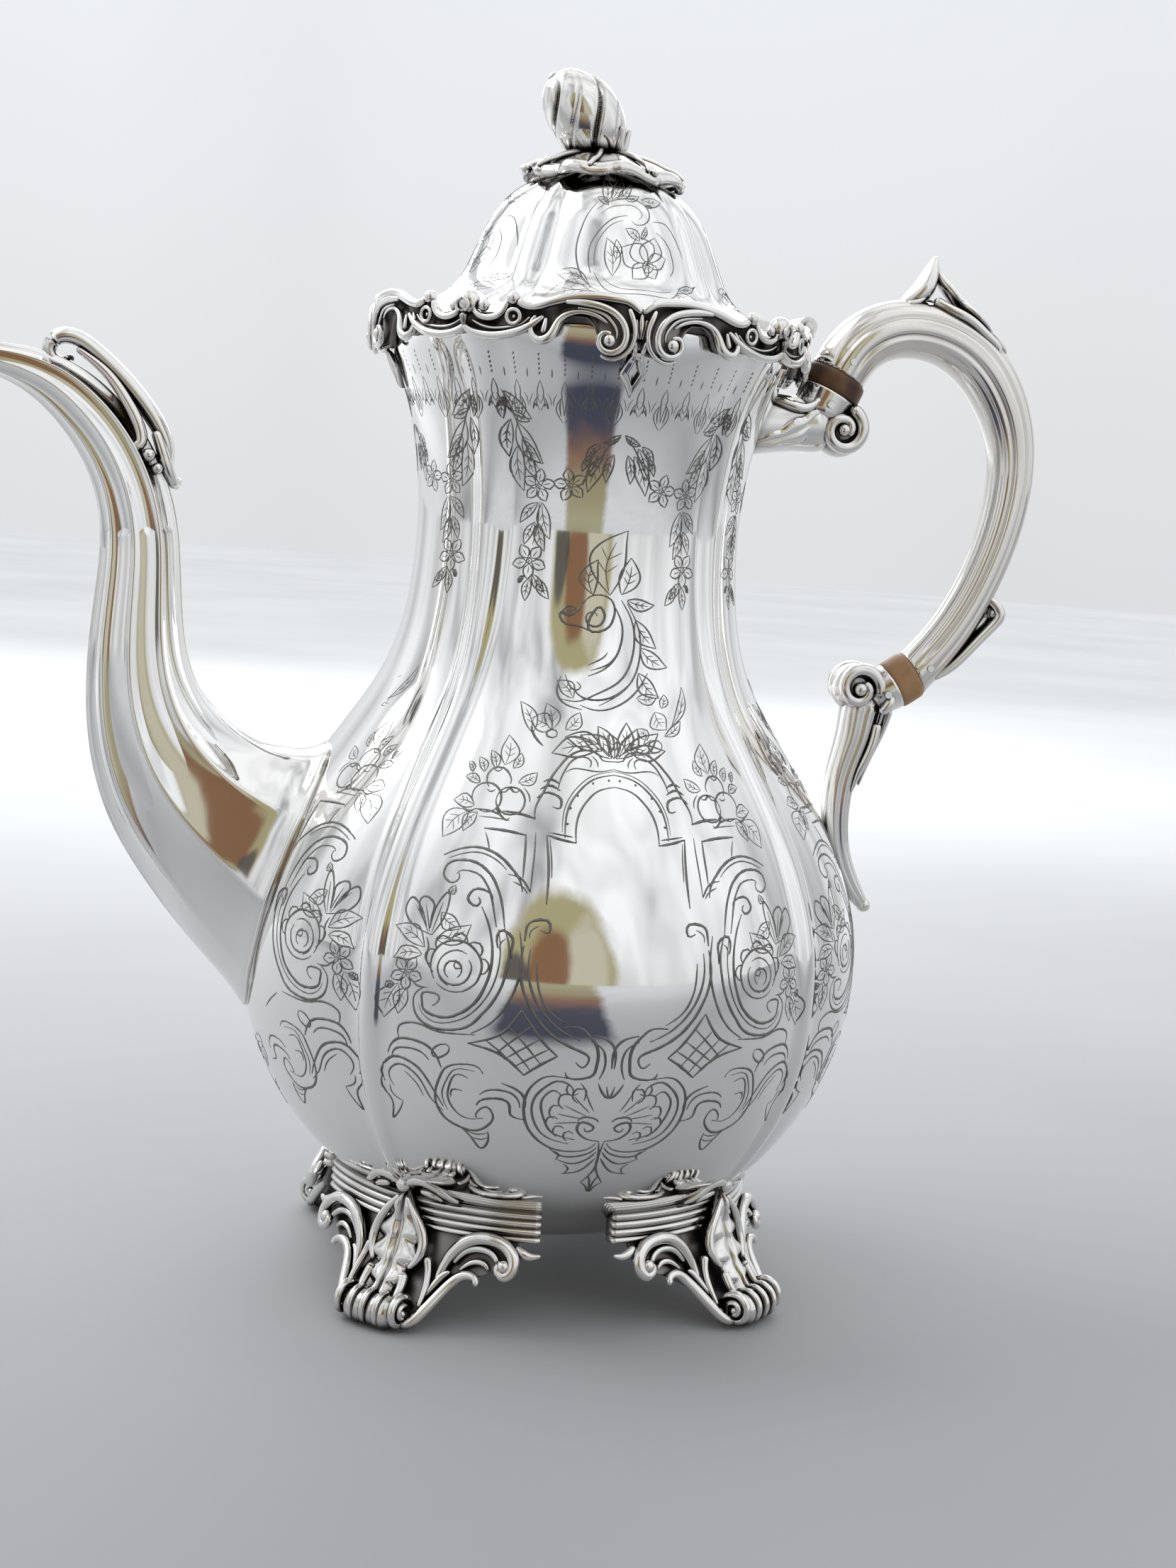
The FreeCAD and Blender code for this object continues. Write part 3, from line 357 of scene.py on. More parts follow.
def resample(P, r, n, ends=(True, True)):
    """equal steps along the polyline plus close steps at rounded ends"""
    d = np.linalg.norm(np.diff(P, axis=0), axis=1)
    s = np.concatenate([[0], np.cumsum(d)])
    L = s[-1]
    t = list(np.linspace(0, L, n))
    r0, r1 = min(r[0], L * 0.45), min(r[-1], L * 0.45)
    if ends[0]:
        t += [r0 * (1 - math.cos(k)) for k in (0.35, 0.7, 1.05, 1.3)]
    if ends[1]:
        t += [L - r1 * (1 - math.cos(k)) for k in (0.35, 0.7, 1.05, 1.3)]
    t = np.unique(np.round(np.array(t), 5))
    Q = np.stack([np.interp(t, s, P[:, c]) for c in range(3)], -1)
    rr = np.interp(t, s, r)
    if ends[0]:
        k = np.clip((r0 - t) / max(r0, 1e-6), 0, 1)
        rr = rr * np.sqrt(np.maximum(1 - k ** 2, 0))
    if ends[1]:
        k = np.clip((r1 - (L - t)) / max(r1, 1e-6), 0, 1)
        rr = rr * np.sqrt(np.maximum(1 - k ** 2, 0))
    return Q, np.maximum(rr, 1e-4), t / L


def tube(P, r, n=24, k=10, normal=None, flat=1.0, wide=1.0, ends=(True, True), sec=None, fine=8, normals=None):
    """rounded tube through the control points P with radii r; flat scales it along normal, wide across"""
    P = np.asarray(P, float)
    r = np.broadcast_to(np.asarray(r, float), (len(P),))
    X = [P, r[:, None]]
    if normals is not None:
        X.append(np.asarray(normals, float))
    S = spline(np.column_stack(X), max(n, 2) * 3)
    Q, rr, t = resample(S[:, :3], np.maximum(S[:, 3], 0.02), n, ends)
    if normals is not None:
        tt = np.linspace(0, 1, len(S))
        normal = np.stack([np.interp(t, tt, S[:, 4 + c]) for c in range(3)], -1)
    T, N, B = frames(Q, normal)
    ang = np.linspace(0, 2 * PI, k, endpoint=False)
    f = np.ones((len(Q), k)) if sec is None else sec(t[:, None], ang[None, :])
    V = Q[:, None, :] + rr[:, None, None] * f[..., None] * (np.cos(ang)[None, :, None] * N[:, None, :] * flat + np.sin(ang)[None, :, None] * B[:, None, :] * wide)
    V = V.reshape(-1, 3)
    F = [quads(len(Q), k)]
    n0 = len(V)
    V = np.concatenate([V, Q[:1], Q[-1:]])
    F.append(fan(n0, np.arange(k), True))
    F.append(fan(n0 + 1, np.arange(k) + (len(Q) - 1) * k))
    return V, F


def ball(c, r, k=14, m=9, sq=(1, 1, 1)):
    th = np.linspace(0, PI, m + 1)[1:-1]
    ph = np.linspace(0, 2 * PI, k, endpoint=False)
    V = np.stack([np.sin(th)[:, None] * np.cos(ph), np.sin(th)[:, None] * np.sin(ph), np.broadcast_to(np.cos(th)[:, None], (m - 1, k))], -1).reshape(-1, 3)
    V = np.concatenate([V, [[0, 0, 1], [0, 0, -1]]]) * np.asarray(sq) * r + np.asarray(c)
    F = [quads(m - 1, k), fan((m - 1) * k, np.arange(k), True), fan((m - 1) * k + 1, np.arange(k) + (m - 2) * k)]
    return V, F


def spiral2(c, r0, r1, a0, turns, n=16, squash=1.0):
    """flat spiral: centre, start and end radius, start angle and signed turns"""
    t = np.linspace(0, 1, n)
    a = math.radians(a0) + 2 * PI * turns * t
    r = r0 + (r1 - r0) * t
    return np.column_stack([c[0] + r * np.cos(a), c[1] + r * np.sin(a) * squash])


def slab(outline, t, k=1):
    """closed plate between two matching point rows (n,3) front and back"""
    A, Bk = outline, t
    n = len(A)
    V = np.concatenate([A, Bk])
    i = np.arange(n)
    j = (i + 1) % n
    side = np.stack([i, j, j + n, i + n], -1)
    return V, [side, np.arange(n)[None, :], (np.arange(n)[::-1] + n)[None, :]]


def patch(G, back):
    """closed shell from a front grid G (nr,nc,3) and a back grid of the same size"""
    nr, nc = G.shape[:2]
    V = np.concatenate([G.reshape(-1, 3), back.reshape(-1, 3)])
    o = nr * nc
    F = [quads(nr, nc, False), quads(nr, nc, False, o)[:, ::-1]]
    rim = list(range(nc)) + [i * nc + nc - 1 for i in range(1, nr)] + [(nr - 1) * nc + j for j in range(nc - 2, -1, -1)] + [i * nc for i in range(nr - 2, 0, -1)]
    rim = np.array(rim)
    nx = np.roll(rim, -1)
    F.append(np.stack([rim, rim + o, nx + o, nx], -1))
    return V, F


# ------------------------------------------------------------------ body of the pot
PROFILE = [(27.5, 15), (36.5, 18.2), (44.9, 23.8), (52.4, 29.7), (58.9, 37), (64.3, 45.4), (68.4, 54.7), (71.1, 64.5), (72.1, 74.5),
           (71.7, 84.3), (69.6, 93.8), (66.1, 102.9), (61.5, 111.7), (56.1, 120.1), (50.5, 128.4), (45.2, 136.6), (41.1, 145.4),
           (38.6, 155), (37.4, 165.1), (37.1, 175.2), (37.7, 185.1), (39.2, 194.7), (42, 204.2), (45.2, 211.6), (46.3, 215.2), (46.5, 218.5)]
_pf = spline(PROFILE, 3000)
PR, PZ = _pf[:, 0], np.maximum.accumulate(_pf[:, 1])
_zs = [15, 24, 40, 75, 110, 140, 165, 185, 205, 213, 218.5]
RIBW = lambda z: np.interp(z, _zs, [2.6, 2.6, 2.7, 2.9, 3.6, 5.2, 7.4, 8.4, 8.0, 7.4, 7.0])
DROP = lambda z: np.interp(z, _zs, [0.0, .014, .036, .054, .055, .053, .052, .050, .040, .022, .012])
RIBH = lambda z: np.interp(z, _zs, [0.0, .35, 1.1, 1.5, 1.5, 1.5, 1.4, 1.3, 1.0, .6, .3])
Rz = lambda z: 0.9997 * np.interp(z, PZ, PR)


def body_r(a, z, ribs=True):
    a, z = np.broadcast_arrays(np.asarray(a, float), np.asarray(z, float))
    P, w, d, h = Rz(z), RIBW(z), DROP(z), RIBH(z)
    t = np.abs(((a + 45) % 90) - 45)
    c = 45 - t
    u = t / (45 - w)
    lobe = P * (1 - d * np.minimum(u, 1.0) ** 2.3)
    k = np.clip(c / w, 0, 1)
    rib = P * (1 - d) + h * (1 - k ** 2)
    return np.where(c >= w, lobe, rib)


def pol(a, r, z):
    a, r, z = np.broadcast_arrays(np.asarray(a, float), np.asarray(r, float), np.asarray(z, float))
    return np.stack([r * np.sin(rad(a)), -r * np.cos(rad(a)), z], -1)


def body_pt(a, z, off=0.0):
    a, z = np.broadcast_arrays(np.asarray(a, float), np.asarray(z, float))
    p = pol(a, body_r(a, z), z)
    if np.all(np.asarray(off) == 0):
        return p
    return p + body_n(a, z) * np.asarray(off)[..., None]


def body_n(a, z):
    e = 0.4
    pa = pol(a + e, body_r(a + e, z), z) - pol(a - e, body_r(a - e, z), z)
    zl, zh = np.clip(z - 0.3, 15, 218.5), np.clip(z + 0.3, 15, 218.5)
    pz = pol(a, body_r(a, zh), zh) - pol(a, body_r(a, zl), zl)
    return unit(np.cross(pa, pz))


def lobe_columns(w, nl=38, nr=6):
    """azimuths all round, with columns that follow the creases; w is the rib's half width in degrees"""
    out = []
    for q in range(4):
        c = 90 * q
        for j in range(nl):
            out.append(c + (-1 + 2 * j / nl) * (45 - w))
        for j in range(nr):
            out.append(c + 45 - w + 2 * w * j / nr)
    return np.array(out)


def revolve_lobed(rows, width, radius, cols=None):
    G = []
    for z in rows:
        a = lobe_columns(width(z)) if cols is None else cols
        G.append(pol(a, radius(a, z), z))
    return np.array(G)


rows = np.interp(np.linspace(0, 1, 190), np.linspace(0, 1, 3000), PZ)
_s = np.concatenate([[0], np.cumsum(np.hypot(np.diff(PR), np.diff(PZ)))])
rows = np.interp(np.linspace(0, _s[-1], 190), _s, PZ)
G = np.array([pol(lobe_columns(float(RIBW(z))), body_r(lobe_columns(float(RIBW(z))), z), z) for z in rows])
nc = G.shape[1]
rows_i = np.interp(np.linspace(0, _s[-1], 80), _s, PZ)
GI = []
for z in rows_i:
    a = lobe_columns(float(RIBW(z)))
    GI.append(body_pt(a, np.full(a.shape, z), np.full(a.shape, -0.95)))
GI = np.array(GI)
GI[0, :, 2] = 15.05
GI[-1, :, 2] = 218.5
b = Build()
V = np.concatenate([G.reshape(-1, 3), GI.reshape(-1, 3)])
o = len(rows) * nc
j = np.arange(nc)
j2 = (j + 1) % nc
top = np.stack([(len(rows) - 1) * nc + j, (len(rows) - 1) * nc + j2, o + (len(rows_i) - 1) * nc + j2, o + (len(rows_i) - 1) * nc + j], -1)
bot = np.stack([j, j2, o + j2, o + j], -1)
b.add(V, [quads(len(rows), nc), quads(len(rows_i), nc, True, o)[:, ::-1], top, bot[:, ::-1]])
body_ob = piece("body_lobed", b, [M_SILVER, M_INSIDE], replaces=("body_shell", "neck_shell"))
mi = np.zeros(len(body_ob.data.polygons), int)
n_out = (len(rows) - 1) * nc
n_in = (len(rows_i) - 1) * nc
mi[n_out:n_out + n_in] = 1
body_ob.data.polygons.foreach_set("material_index", mi)

# ------------------------------------------------------------------ lid
LIDP = [(44.9, 219.9), (43.6, 220.6), (40.6, 221.9), (36.6, 224.4), (32.9, 227.2), (30.2, 230.6), (28.4, 234.6), (26.7, 238.8), (24.6, 243.3), (21.6, 247.6),
        (17.2, 251.2), (11.6, 253.6), (5.5, 254.9), (1.0, 255.3)]
_lp = spline(LIDP, 900)
_ls = np.concatenate([[0], np.cumsum(np.hypot(np.diff(_lp[:, 0]), np.diff(_lp[:, 1])))])
LID_S = _ls[-1]


def lid_rz(s):
    s = np.asarray(s, float)
    return np.interp(s, _ls, _lp[:, 0]), np.interp(s, _ls, _lp[:, 1])


def lid_s_of_z(z):
    return np.interp(z, _lp[:, 1], _ls)


def lid_w(s):
    return np.interp(s, [0, 6, 14, 22, 34, 44, LID_S], [7.0, 7.0, 7.6, 8.6, 9.5, 9.0, 6.0])


def lid_pt(a, s, off=0.0):
    a, s = np.broadcast_arrays(np.asarray(a, float), np.asarray(s, float))
    R, z = lid_rz(s)
    w = lid_w(s)
    d = np.interp(s, [0, 3, 9, 16, 30, 40, LID_S], [0.0, .004, .035, .075, .085, .07, .0])
    h = np.interp(s, [0, 4, 10, 18, 32, 42, LID_S], [0.0, .25, 1.0, 1.35, 1.15, .7, .0])
    t = np.abs(((a + 45) % 90) - 45)
    c = 45 - t
    u = np.minimum(t / (45 - w), 1.0)
    k = np.clip(c / w, 0, 1)
    f = np.where(c >= w, -R * d * u ** 2.3, -R * d + h * (1 - k ** 2))
    # the drop acts along the surface normal
    dR = np.interp(s + 0.4, _ls, _lp[:, 0]) - np.interp(s - 0.4, _ls, _lp[:, 0])
    dz = np.interp(s + 0.4, _ls, _lp[:, 1]) - np.interp(s - 0.4, _ls, _lp[:, 1])
    L = np.maximum(np.hypot(dR, dz), 1e-9)
    nR, nz = dz / L, -dR / L
    f = f + off
    return pol(a, R + nR * f, z + nz * f)


srows = np.linspace(0, LID_S, 96)
GL = np.array([lid_pt(lobe_columns(float(lid_w(s)), 30, 6), np.full(144, s)) for s in srows])
GLI = np.array([lid_pt(lobe_columns(float(lid_w(s)), 30, 6), np.full(144, s), -0.85) for s in srows[1:]])
nl = 144
foot_o = pol(lobe_columns(7.0, 30, 6), 45.6, 219.7)
foot_o2 = pol(lobe_columns(7.0, 30, 6), 45.6, 218.85)
foot_i = pol(lobe_columns(7.0, 30, 6), 43.0, 218.85)
A = np.concatenate([foot_i[None], foot_o2[None], foot_o[None], GL, GLI[::-1]])
b = Build()
V = A.reshape(-1, 3)
F = [quads(len(A), nl)]
j = np.arange(nl)
F.append(np.stack([(len(A) - 1) * nl + j, (len(A) - 1) * nl + (j + 1) % nl, (j + 1) % nl, j], -1))
# the small hole for the stud stays open under the calyx
b.add(V, F)
lid_ob = piece("lid_dome_lobed", b, [M_SILVER, M_INSIDE], "lid", replaces=("lid_dome",), fix=False)
n0 = (len(srows) + 2) * nl
mi = np.zeros(len(lid_ob.data.polygons), int)
mi[n0:] = 1
lid_ob.data.polygons.foreach_set("material_index", mi)

# ------------------------------------------------------------------ spout
RINGS = [
    (-52.0, 88.6, 31.5, 19.0, -0.955, 0.295),
    (-64.5, 92.9, 28.2, 17.0, -0.955, 0.295),
    (-80.6, 104.6, 21.8, 14.0, -0.843, 0.537),
    (-91.2, 117.0, 17.8, 12.2, -0.71, 0.70),
    (-96.8, 131.0, 14.0, 10.9, -0.50, 0.866),
    (-98.4, 145.0, 11.3, 10.0, -0.25, 0.968),
    (-98.4, 157.0, 9.8, 9.3, -0.05, 0.999),
    (-98.8, 167.0, 9.1, 8.8, -0.09, 0.996),
    (-101.0, 177.0, 8.5, 8.2, -0.33, 0.944),
    (-105.6, 186.4, 7.8, 7.5, -0.57, 0.82),
    (-112.2, 194.3, 7.0, 6.8, -0.74, 0.67),
    (-120.6, 200.2, 5.6, 5.5, -0.86, 0.51),
    (-130.2, 203.0, 3.9, 3.8, -0.985, 0.17),
    (-135.6, 203.5, 3.3, 3.2, -1.0, 0.02),
]
SR = spline(RINGS, 150)
_m = len(SR)
# ridges of the spout at these angles from its outer (lower) side, in degrees, with relative height
RIDGES = [(0, 1.0), (40, 0.9), (78, 0.75), (118, 0.9), (156, 0.8), (204, 0.8), (242, 0.9), (282, 0.75), (320, 0.9)]
NPH = 144
ph = np.linspace(0, 360, NPH, endpoint=False)


def flute(ph):
    """0 on a ridge, 1 in the hollow midway between ridges"""
    an = np.array([r[0] for r in RIDGES] + [360.0])
    i = np.clip(np.searchsorted(an, ph, side="right") - 1, 0, len(an) - 2)
    u = (ph - an[i]) / (an[i + 1] - an[i])
    return np.sin(PI * u) ** 0.62


FL = flute(ph)
_t = np.linspace(0, 1, _m)


def spout_pt(i, phi, off=0.0):
    x, z, a, bb, nx, nz = SR[i]
    L = math.hypot(nx, nz)
    nx, nz = nx / L, nz / L
    Aout = np.array([-nz, 0, nx])
    fl = flute(np.asarray(phi) % 360)
    dep = float(np.interp(_t[i], [0, 0.16, 0.24, 0.34, 0.7, 0.9, 1], [0, 0.03, 0.12, 0.20, 0.20, 0.15, 0.08]))
    k = 1 - dep * fl
    cp, sp = np.cos(rad(phi)), np.sin(rad(phi))
    P = np.array([x, 0, z]) + ((a * k + off) * cp)[..., None] * Aout + ((bb * k + off) * sp)[..., None] * np.array([0, -1.0, 0])
    # soft flare where it meets the body
    r = np.hypot(P[..., 0], P[..., 1])
    az = np.degrees(np.arctan2(P[..., 0], -P[..., 1]))
    dl = np.maximum(r - body_r(az, np.clip(P[..., 2], 15, 218)), 0)
    fl2 = 3.0 * np.exp(-dl / 4.0)
    c = np.array([x, 0, z])
    D = unit(P - c)
    return P + D * (fl2 * (off >= 0))[..., None]


SG = np.array([spout_pt(i, ph) for i in range(_m)])
SI = []
for i in range(_m - 1, 3, -1):
    x, z, a, bb, nx, nz = SR[i]
    L = math.hypot(nx, nz)
    nx, nz = nx / L, nz / L
    Ao = np.array([-nz, 0, nx])
    k = 0.80 if a < 9 else 0.86
    SI.append(np.array([x, 0, z]) + (a * k * np.cos(rad(ph)))[:, None] * Ao + (bb * k * np.sin(rad(ph)))[:, None] * np.array([0, -1.0, 0]))
SI = np.array(SI)
# the real pouring lip is cut on a slant and turned out a little; the loop below leaves the rings as they are
for arr, idx in ((SG, -1), (SI, 0)):
    pass
b = Build()
A = np.concatenate([SG, SI])
V = A.reshape(-1, 3)
F = [quads(len(A), NPH)]
j = np.arange(NPH)
F.append(np.stack([(len(A) - 1) * NPH + j, (len(A) - 1) * NPH + (j + 1) % NPH, (j + 1) % NPH, j], -1))
b.add(V, F)
piece("spout_fluted", b, M_SPOUT, replaces=("spout_shell",))

# fine bead where the spout's collar meets the body
bead = []
for pz in np.linspace(0, 360, 73)[:-1]:
    path = np.array([spout_pt(i, np.array([pz]))[0] for i in range(0, 60)])
    r = np.hypot(path[:, 0], path[:, 1])
    az = np.degrees(np.arctan2(path[:, 0], -path[:, 1]))
    g = r - body_r(az, np.clip(path[:, 2], 15, 218))
    i = np.where(g > 0.15)[0]
    i = i[0] if len(i) else 0
    bead.append(path[i])
bead = np.array(bead)


def ring_tube(P, r, k=8, up=None):
    """closed tube through the points P"""
    P = np.asarray(P, float)
    T = unit(np.roll(P, -1, 0) - np.roll(P, 1, 0))
    ref = unit(P - P.mean(0)) if up is None else np.broadcast_to(np.asarray(up, float), P.shape)
    N = unit(ref - (ref * T).sum(1, keepdims=True) * T)
    B = np.cross(T, N)
    ang = np.linspace(0, 2 * PI, k, endpoint=False)
    V = P[:, None] + r * (np.cos(ang)[None, :, None] * N[:, None] + np.sin(ang)[None, :, None] * B[:, None])
    V = V.reshape(-1, 3)
    n = len(P)
    i = np.arange(n)[:, None]
    j = np.arange(k)[None]
    F = np.stack([i * k + j, i * k + (j + 1) % k, ((i + 1) % n) * k + (j + 1) % k, ((i + 1) % n) * k + j], -1).reshape(-1, 4)
    return V, [F]


b = Build()
# smooth the run a little so that it reads as one line
for _ in range(3):
    bead = (np.roll(bead, 1, 0) + 2 * bead + np.roll(bead, -1, 0)) / 4
b.add(*ring_tube(bead, 0.55))
piece("spout_collar_bead", b, M_SPOUT)

# ------------------------------------------------------------------ cast border round the mouth
def loc45(a):
    return np.abs(((np.asarray(a, float) + 45) % 90) - 45)


_al = [0, 2, 4.5, 8, 10, 11.5, 13.5, 17, 19.6, 21, 22.5, 24.5, 27, 30, 33, 38, 42, 45]
ZLOW = lambda t: np.interp(t, _al, [213.4, 212.4, 212.0, 212.4, 214.2, 217.4, 219.0, 219.2, 217.8, 215.4, 214.3, 214.2, 215.8, 215.4, 214.9, 214.4, 214.8, 215.9])
ZTOP = lambda t: np.interp(t, [0, 1.5, 3.1, 6.1, 10, 15, 19, 22.5, 26, 29, 32, 34.5, 37, 40, 42.5, 45], [220.6, 221.6, 222.8, 223.4, 223.5, 223.4, 222.8, 221.9, 220.9, 220.6, 221.4, 220.2, 218.6, 218.4, 219.8, 221.0])
na = 480
aa = np.arange(na) * 360.0 / na
t_ = loc45(aa)
zl, zt = ZLOW(t_), ZTOP(t_)
vv = np.linspace(0, 1, 11)
front = []
for v in vv:
    z = zl + v * (zt - zl)
    hol = 1.55 * np.sin(PI * v) ** 0.7
    front.append(pol(aa, 48.5 + 0.6 * v - hol, z))
front = np.array(front)
topring = np.array([pol(aa, 48.3, zt + 0.15), pol(aa, 47.4, zt - 0.3), pol(aa, 46.75, np.minimum(zt - 1.0, 221.0))])
backr = np.array([pol(aa, 46.75, np.minimum(zt - 2.0, 218.0)), pol(aa, np.maximum(Rz(zl + 0.8) + 0.1, 45.4), zl + 0.8), pol(aa, np.maximum(Rz(zl) + 0.35, 45.2), zl - 0.05)])
A = np.concatenate([front, topring, backr])
b = Build()
F = [quads(len(A), na)]
j = np.arange(na)
F.append(np.stack([(len(A) - 1) * na + j, (len(A) - 1) * na + (j + 1) % na, (j + 1) % na, j], -1))
b.add(A.reshape(-1, 3), F)
# the cove gets the dark cast silver, a painted shade in the hollow behind the scrolls
piece("rim_cove", b, M_CAST_SHADE_AND_MATT, replaces=("rim_mount",))

b = Build()


def rim(pts, r, n=30, k=9, flat=1.0, wide=1.0, ends=(True, True), quads_=(0, 1, 2, 3)):
    pts = np.asarray(pts, float)
    r = np.broadcast_to(np.asarray(r, float), (len(pts),))
    for q in quads_:
        for s in (1, -1):
            a = 90 * q + s * pts[:, 0]
            P = pol(a, pts[:, 2], pts[:, 1])
            N = pol(a, 1.0, 0.0)
            b.add(*tube(P, r, n, k, flat=flat, wide=wide, ends=ends, normals=N))


def rim_ball(al, z, R, r, sq=(1, 1, 1), both=True, quads_=(0, 1, 2, 3)):
    for q in quads_:
        for s in ((1, -1) if both else (1,)):
            a = 90 * q + s * al
            V, F = ball((0, 0, 0), r, 14, 9, sq)  # x across, y radial, z up
            c, s_ = math.cos(rad(a)), math.sin(rad(a))
            W = np.column_stack([V[:, 0] * c + V[:, 1] * s_, V[:, 0] * s_ - V[:, 1] * c, V[:, 2]])
            b.add(W + pol(a, R, z), F)


# crest
rim([(0, 220.9, 49.0), (1.4, 221.8, 48.9), (3.1, 222.8, 48.8), (6.1, 223.3, 48.7), (10.4, 223.5, 48.5), (14.7, 223.3, 48.5), (19, 222.7, 48.7), (22.5, 221.8, 48.9), (25.8, 220.9, 49.0), (28.6, 220.8, 49.0), (31, 221.8, 48.9)],
    [.8, .9, 1.0, 1.05, 1.1, 1.1, 1.05, 1.0, .95, .9, .9], 46, 10)
# broad band that rolls into the volute
rim([(19, 222.0, 49.2), (16.0, 222.1, 49.4), (11.0, 221.7, 49.8), (7.3, 220.6, 50.0), (5.0, 218.8, 50.2), (3.9, 216.4, 50.2), (4.4, 213.9, 50.1), (6.6, 212.4, 49.9), (9.2, 212.8, 49.9), (10.3, 214.6, 50.0), (9.3, 216.2, 50.2), (7.4, 216.0, 50.3)],
    [.5, .7, .75, .75, .75, .75, .75, .75, .7, .65, .55, .5], 60, 9)
rim([(3.4, 221.6, 49.4), (2.9, 220.5, 49.6), (1.9, 218.1, 49.7), (1.7, 215.7, 49.6), (2.7, 213.3, 49.3), (4.7, 211.7, 49.0), (7.2, 211.1, 48.7), (9.6, 211.6, 48.6)],
    [.4, .6, .6, .6, .6, .6, .55, .35], 36, 8)
rim([(16.0, 221.0, 49.0), (12, 220.7, 49.2), (9.0, 219.9, 49.4), (7.0, 218.3, 49.5), (6.0, 216.4, 49.6), (6.3, 214.9, 49.6)], [.3, .4, .45, .4, .35, .25], 28, 7)
rim_ball(7.8, 214.7, 50.2, 1.35, (1, 0.8, 1))
# inner edge of the arch with its fishtail end
rim([(8.3, 218.2, 49.0), (10.0, 219.2, 49.1), (12.5, 220.0, 49.1), (15.4, 220.2, 49.1), (18.1, 219.6, 49.2), (20.1, 218.3, 49.3), (21.1, 216.4, 49.5), (22.2, 214.7, 49.7), (24.4, 213.9, 49.7), (26.6, 215.0, 49.5), (27.1, 217.2, 49.2), (26.0, 219.0, 49.0)],
    [.3, .45, .5, .5, .6, .75, .95, 1.05, 1.0, .75, .6, .35], 54, 9)
rim([(23.4, 218.6, 49.2), (23.6, 216.8, 49.5), (23.9, 215.3, 49.7)], [.35, .6, .7], 14, 8)
# scalloped lower lip between the rings and the corner knobs
rim([(24.0, 218.9, 49.0), (25.9, 217.6, 49.2), (28.8, 216.0, 49.4), (32.5, 214.9, 49.4), (36.4, 214.4, 49.3), (40.6, 214.6, 49.3), (43.7, 215.5, 49.4), (45.6, 216.6, 49.5)],
    [.5, .75, .9, .95, .95, .95, .85, .6], 40, 9)
rim([(27.5, 218.6, 48.9), (29.8, 217.0, 48.9), (33.0, 216.3, 48.8), (36.4, 216.0, 48.7), (40.2, 216.4, 48.8), (43.4, 217.6, 49.0)], [.25, .35, .4, .4, .35, .25], 26, 7)
rim([(33.6, 221.6, 48.8), (34.6, 219.6, 49.0), (36.8, 218.3, 49.1), (40.0, 218.2, 49.1), (42.4, 219.2, 49.1), (43.4, 220.6, 49.0)], [.7, .75, .75, .75, .7, .6], 28, 9)
rim_ball(32.2, 222.2, 48.7, 1.45)
rim_ball(45, 221.2, 48.6, 2.75, (1, .85, 1.0), both=False)
rim_ball(49.6, 220.6, 48.6, 1.35, (1, .85, 1.0), both=False)
rim_ball(40.6, 220.4, 48.6, 1.15, (1, .85, 1.0), both=False)
rim([(45, 219.0, 49.9), (45, 217.6, 49.9), (45, 216.0, 49.6)], [1.1, .9, .4], 14, 8)
rim([(45.0, 222.0, 50.9), (46.4, 221.2, 50.8), (46.6, 219.8, 50.7), (45.6, 219.2, 50.8)], [.3, .4, .4, .25], 14, 7)
# eyelets
for q in range(4):
    for s in (1, -1):
        a0 = 90 * q + s * 31.7
        c0 = pol(a0, 49.3, 218.5)
        ex = np.array([math.cos(rad(a0)), math.sin(rad(a0)), 0])
        th = np.linspace(0, 2 * PI, 22, endpoint=False)
        P = c0 + 1.5 * (np.cos(th)[:, None] * ex + np.sin(th)[:, None] * np.array([0, 0, 1.0]))
        b.add(*ring_tube(P, 0.48, 8))
        b.add(*ball(c0 - pol(a0, .5, 0), 0.55, 10, 7))
# leaf bud in the dark hollow between the volutes
for q in range(4):
    for w_, x_ in ((1.0, 0.0), (0.6, 1.2), (0.6, -1.2)):
        P = pol(90 * q + np.array([x_ * .4, x_ * .9, x_ * 1.1]), np.array([48.4, 48.7, 48.9]), np.array([215.4, 218.0, 220.8 - abs(x_)]))
        b.add(*tube(P, [.35, .85 * w_, .3], 12, 8))
piece("rim_scrolls", b, M_CAST)

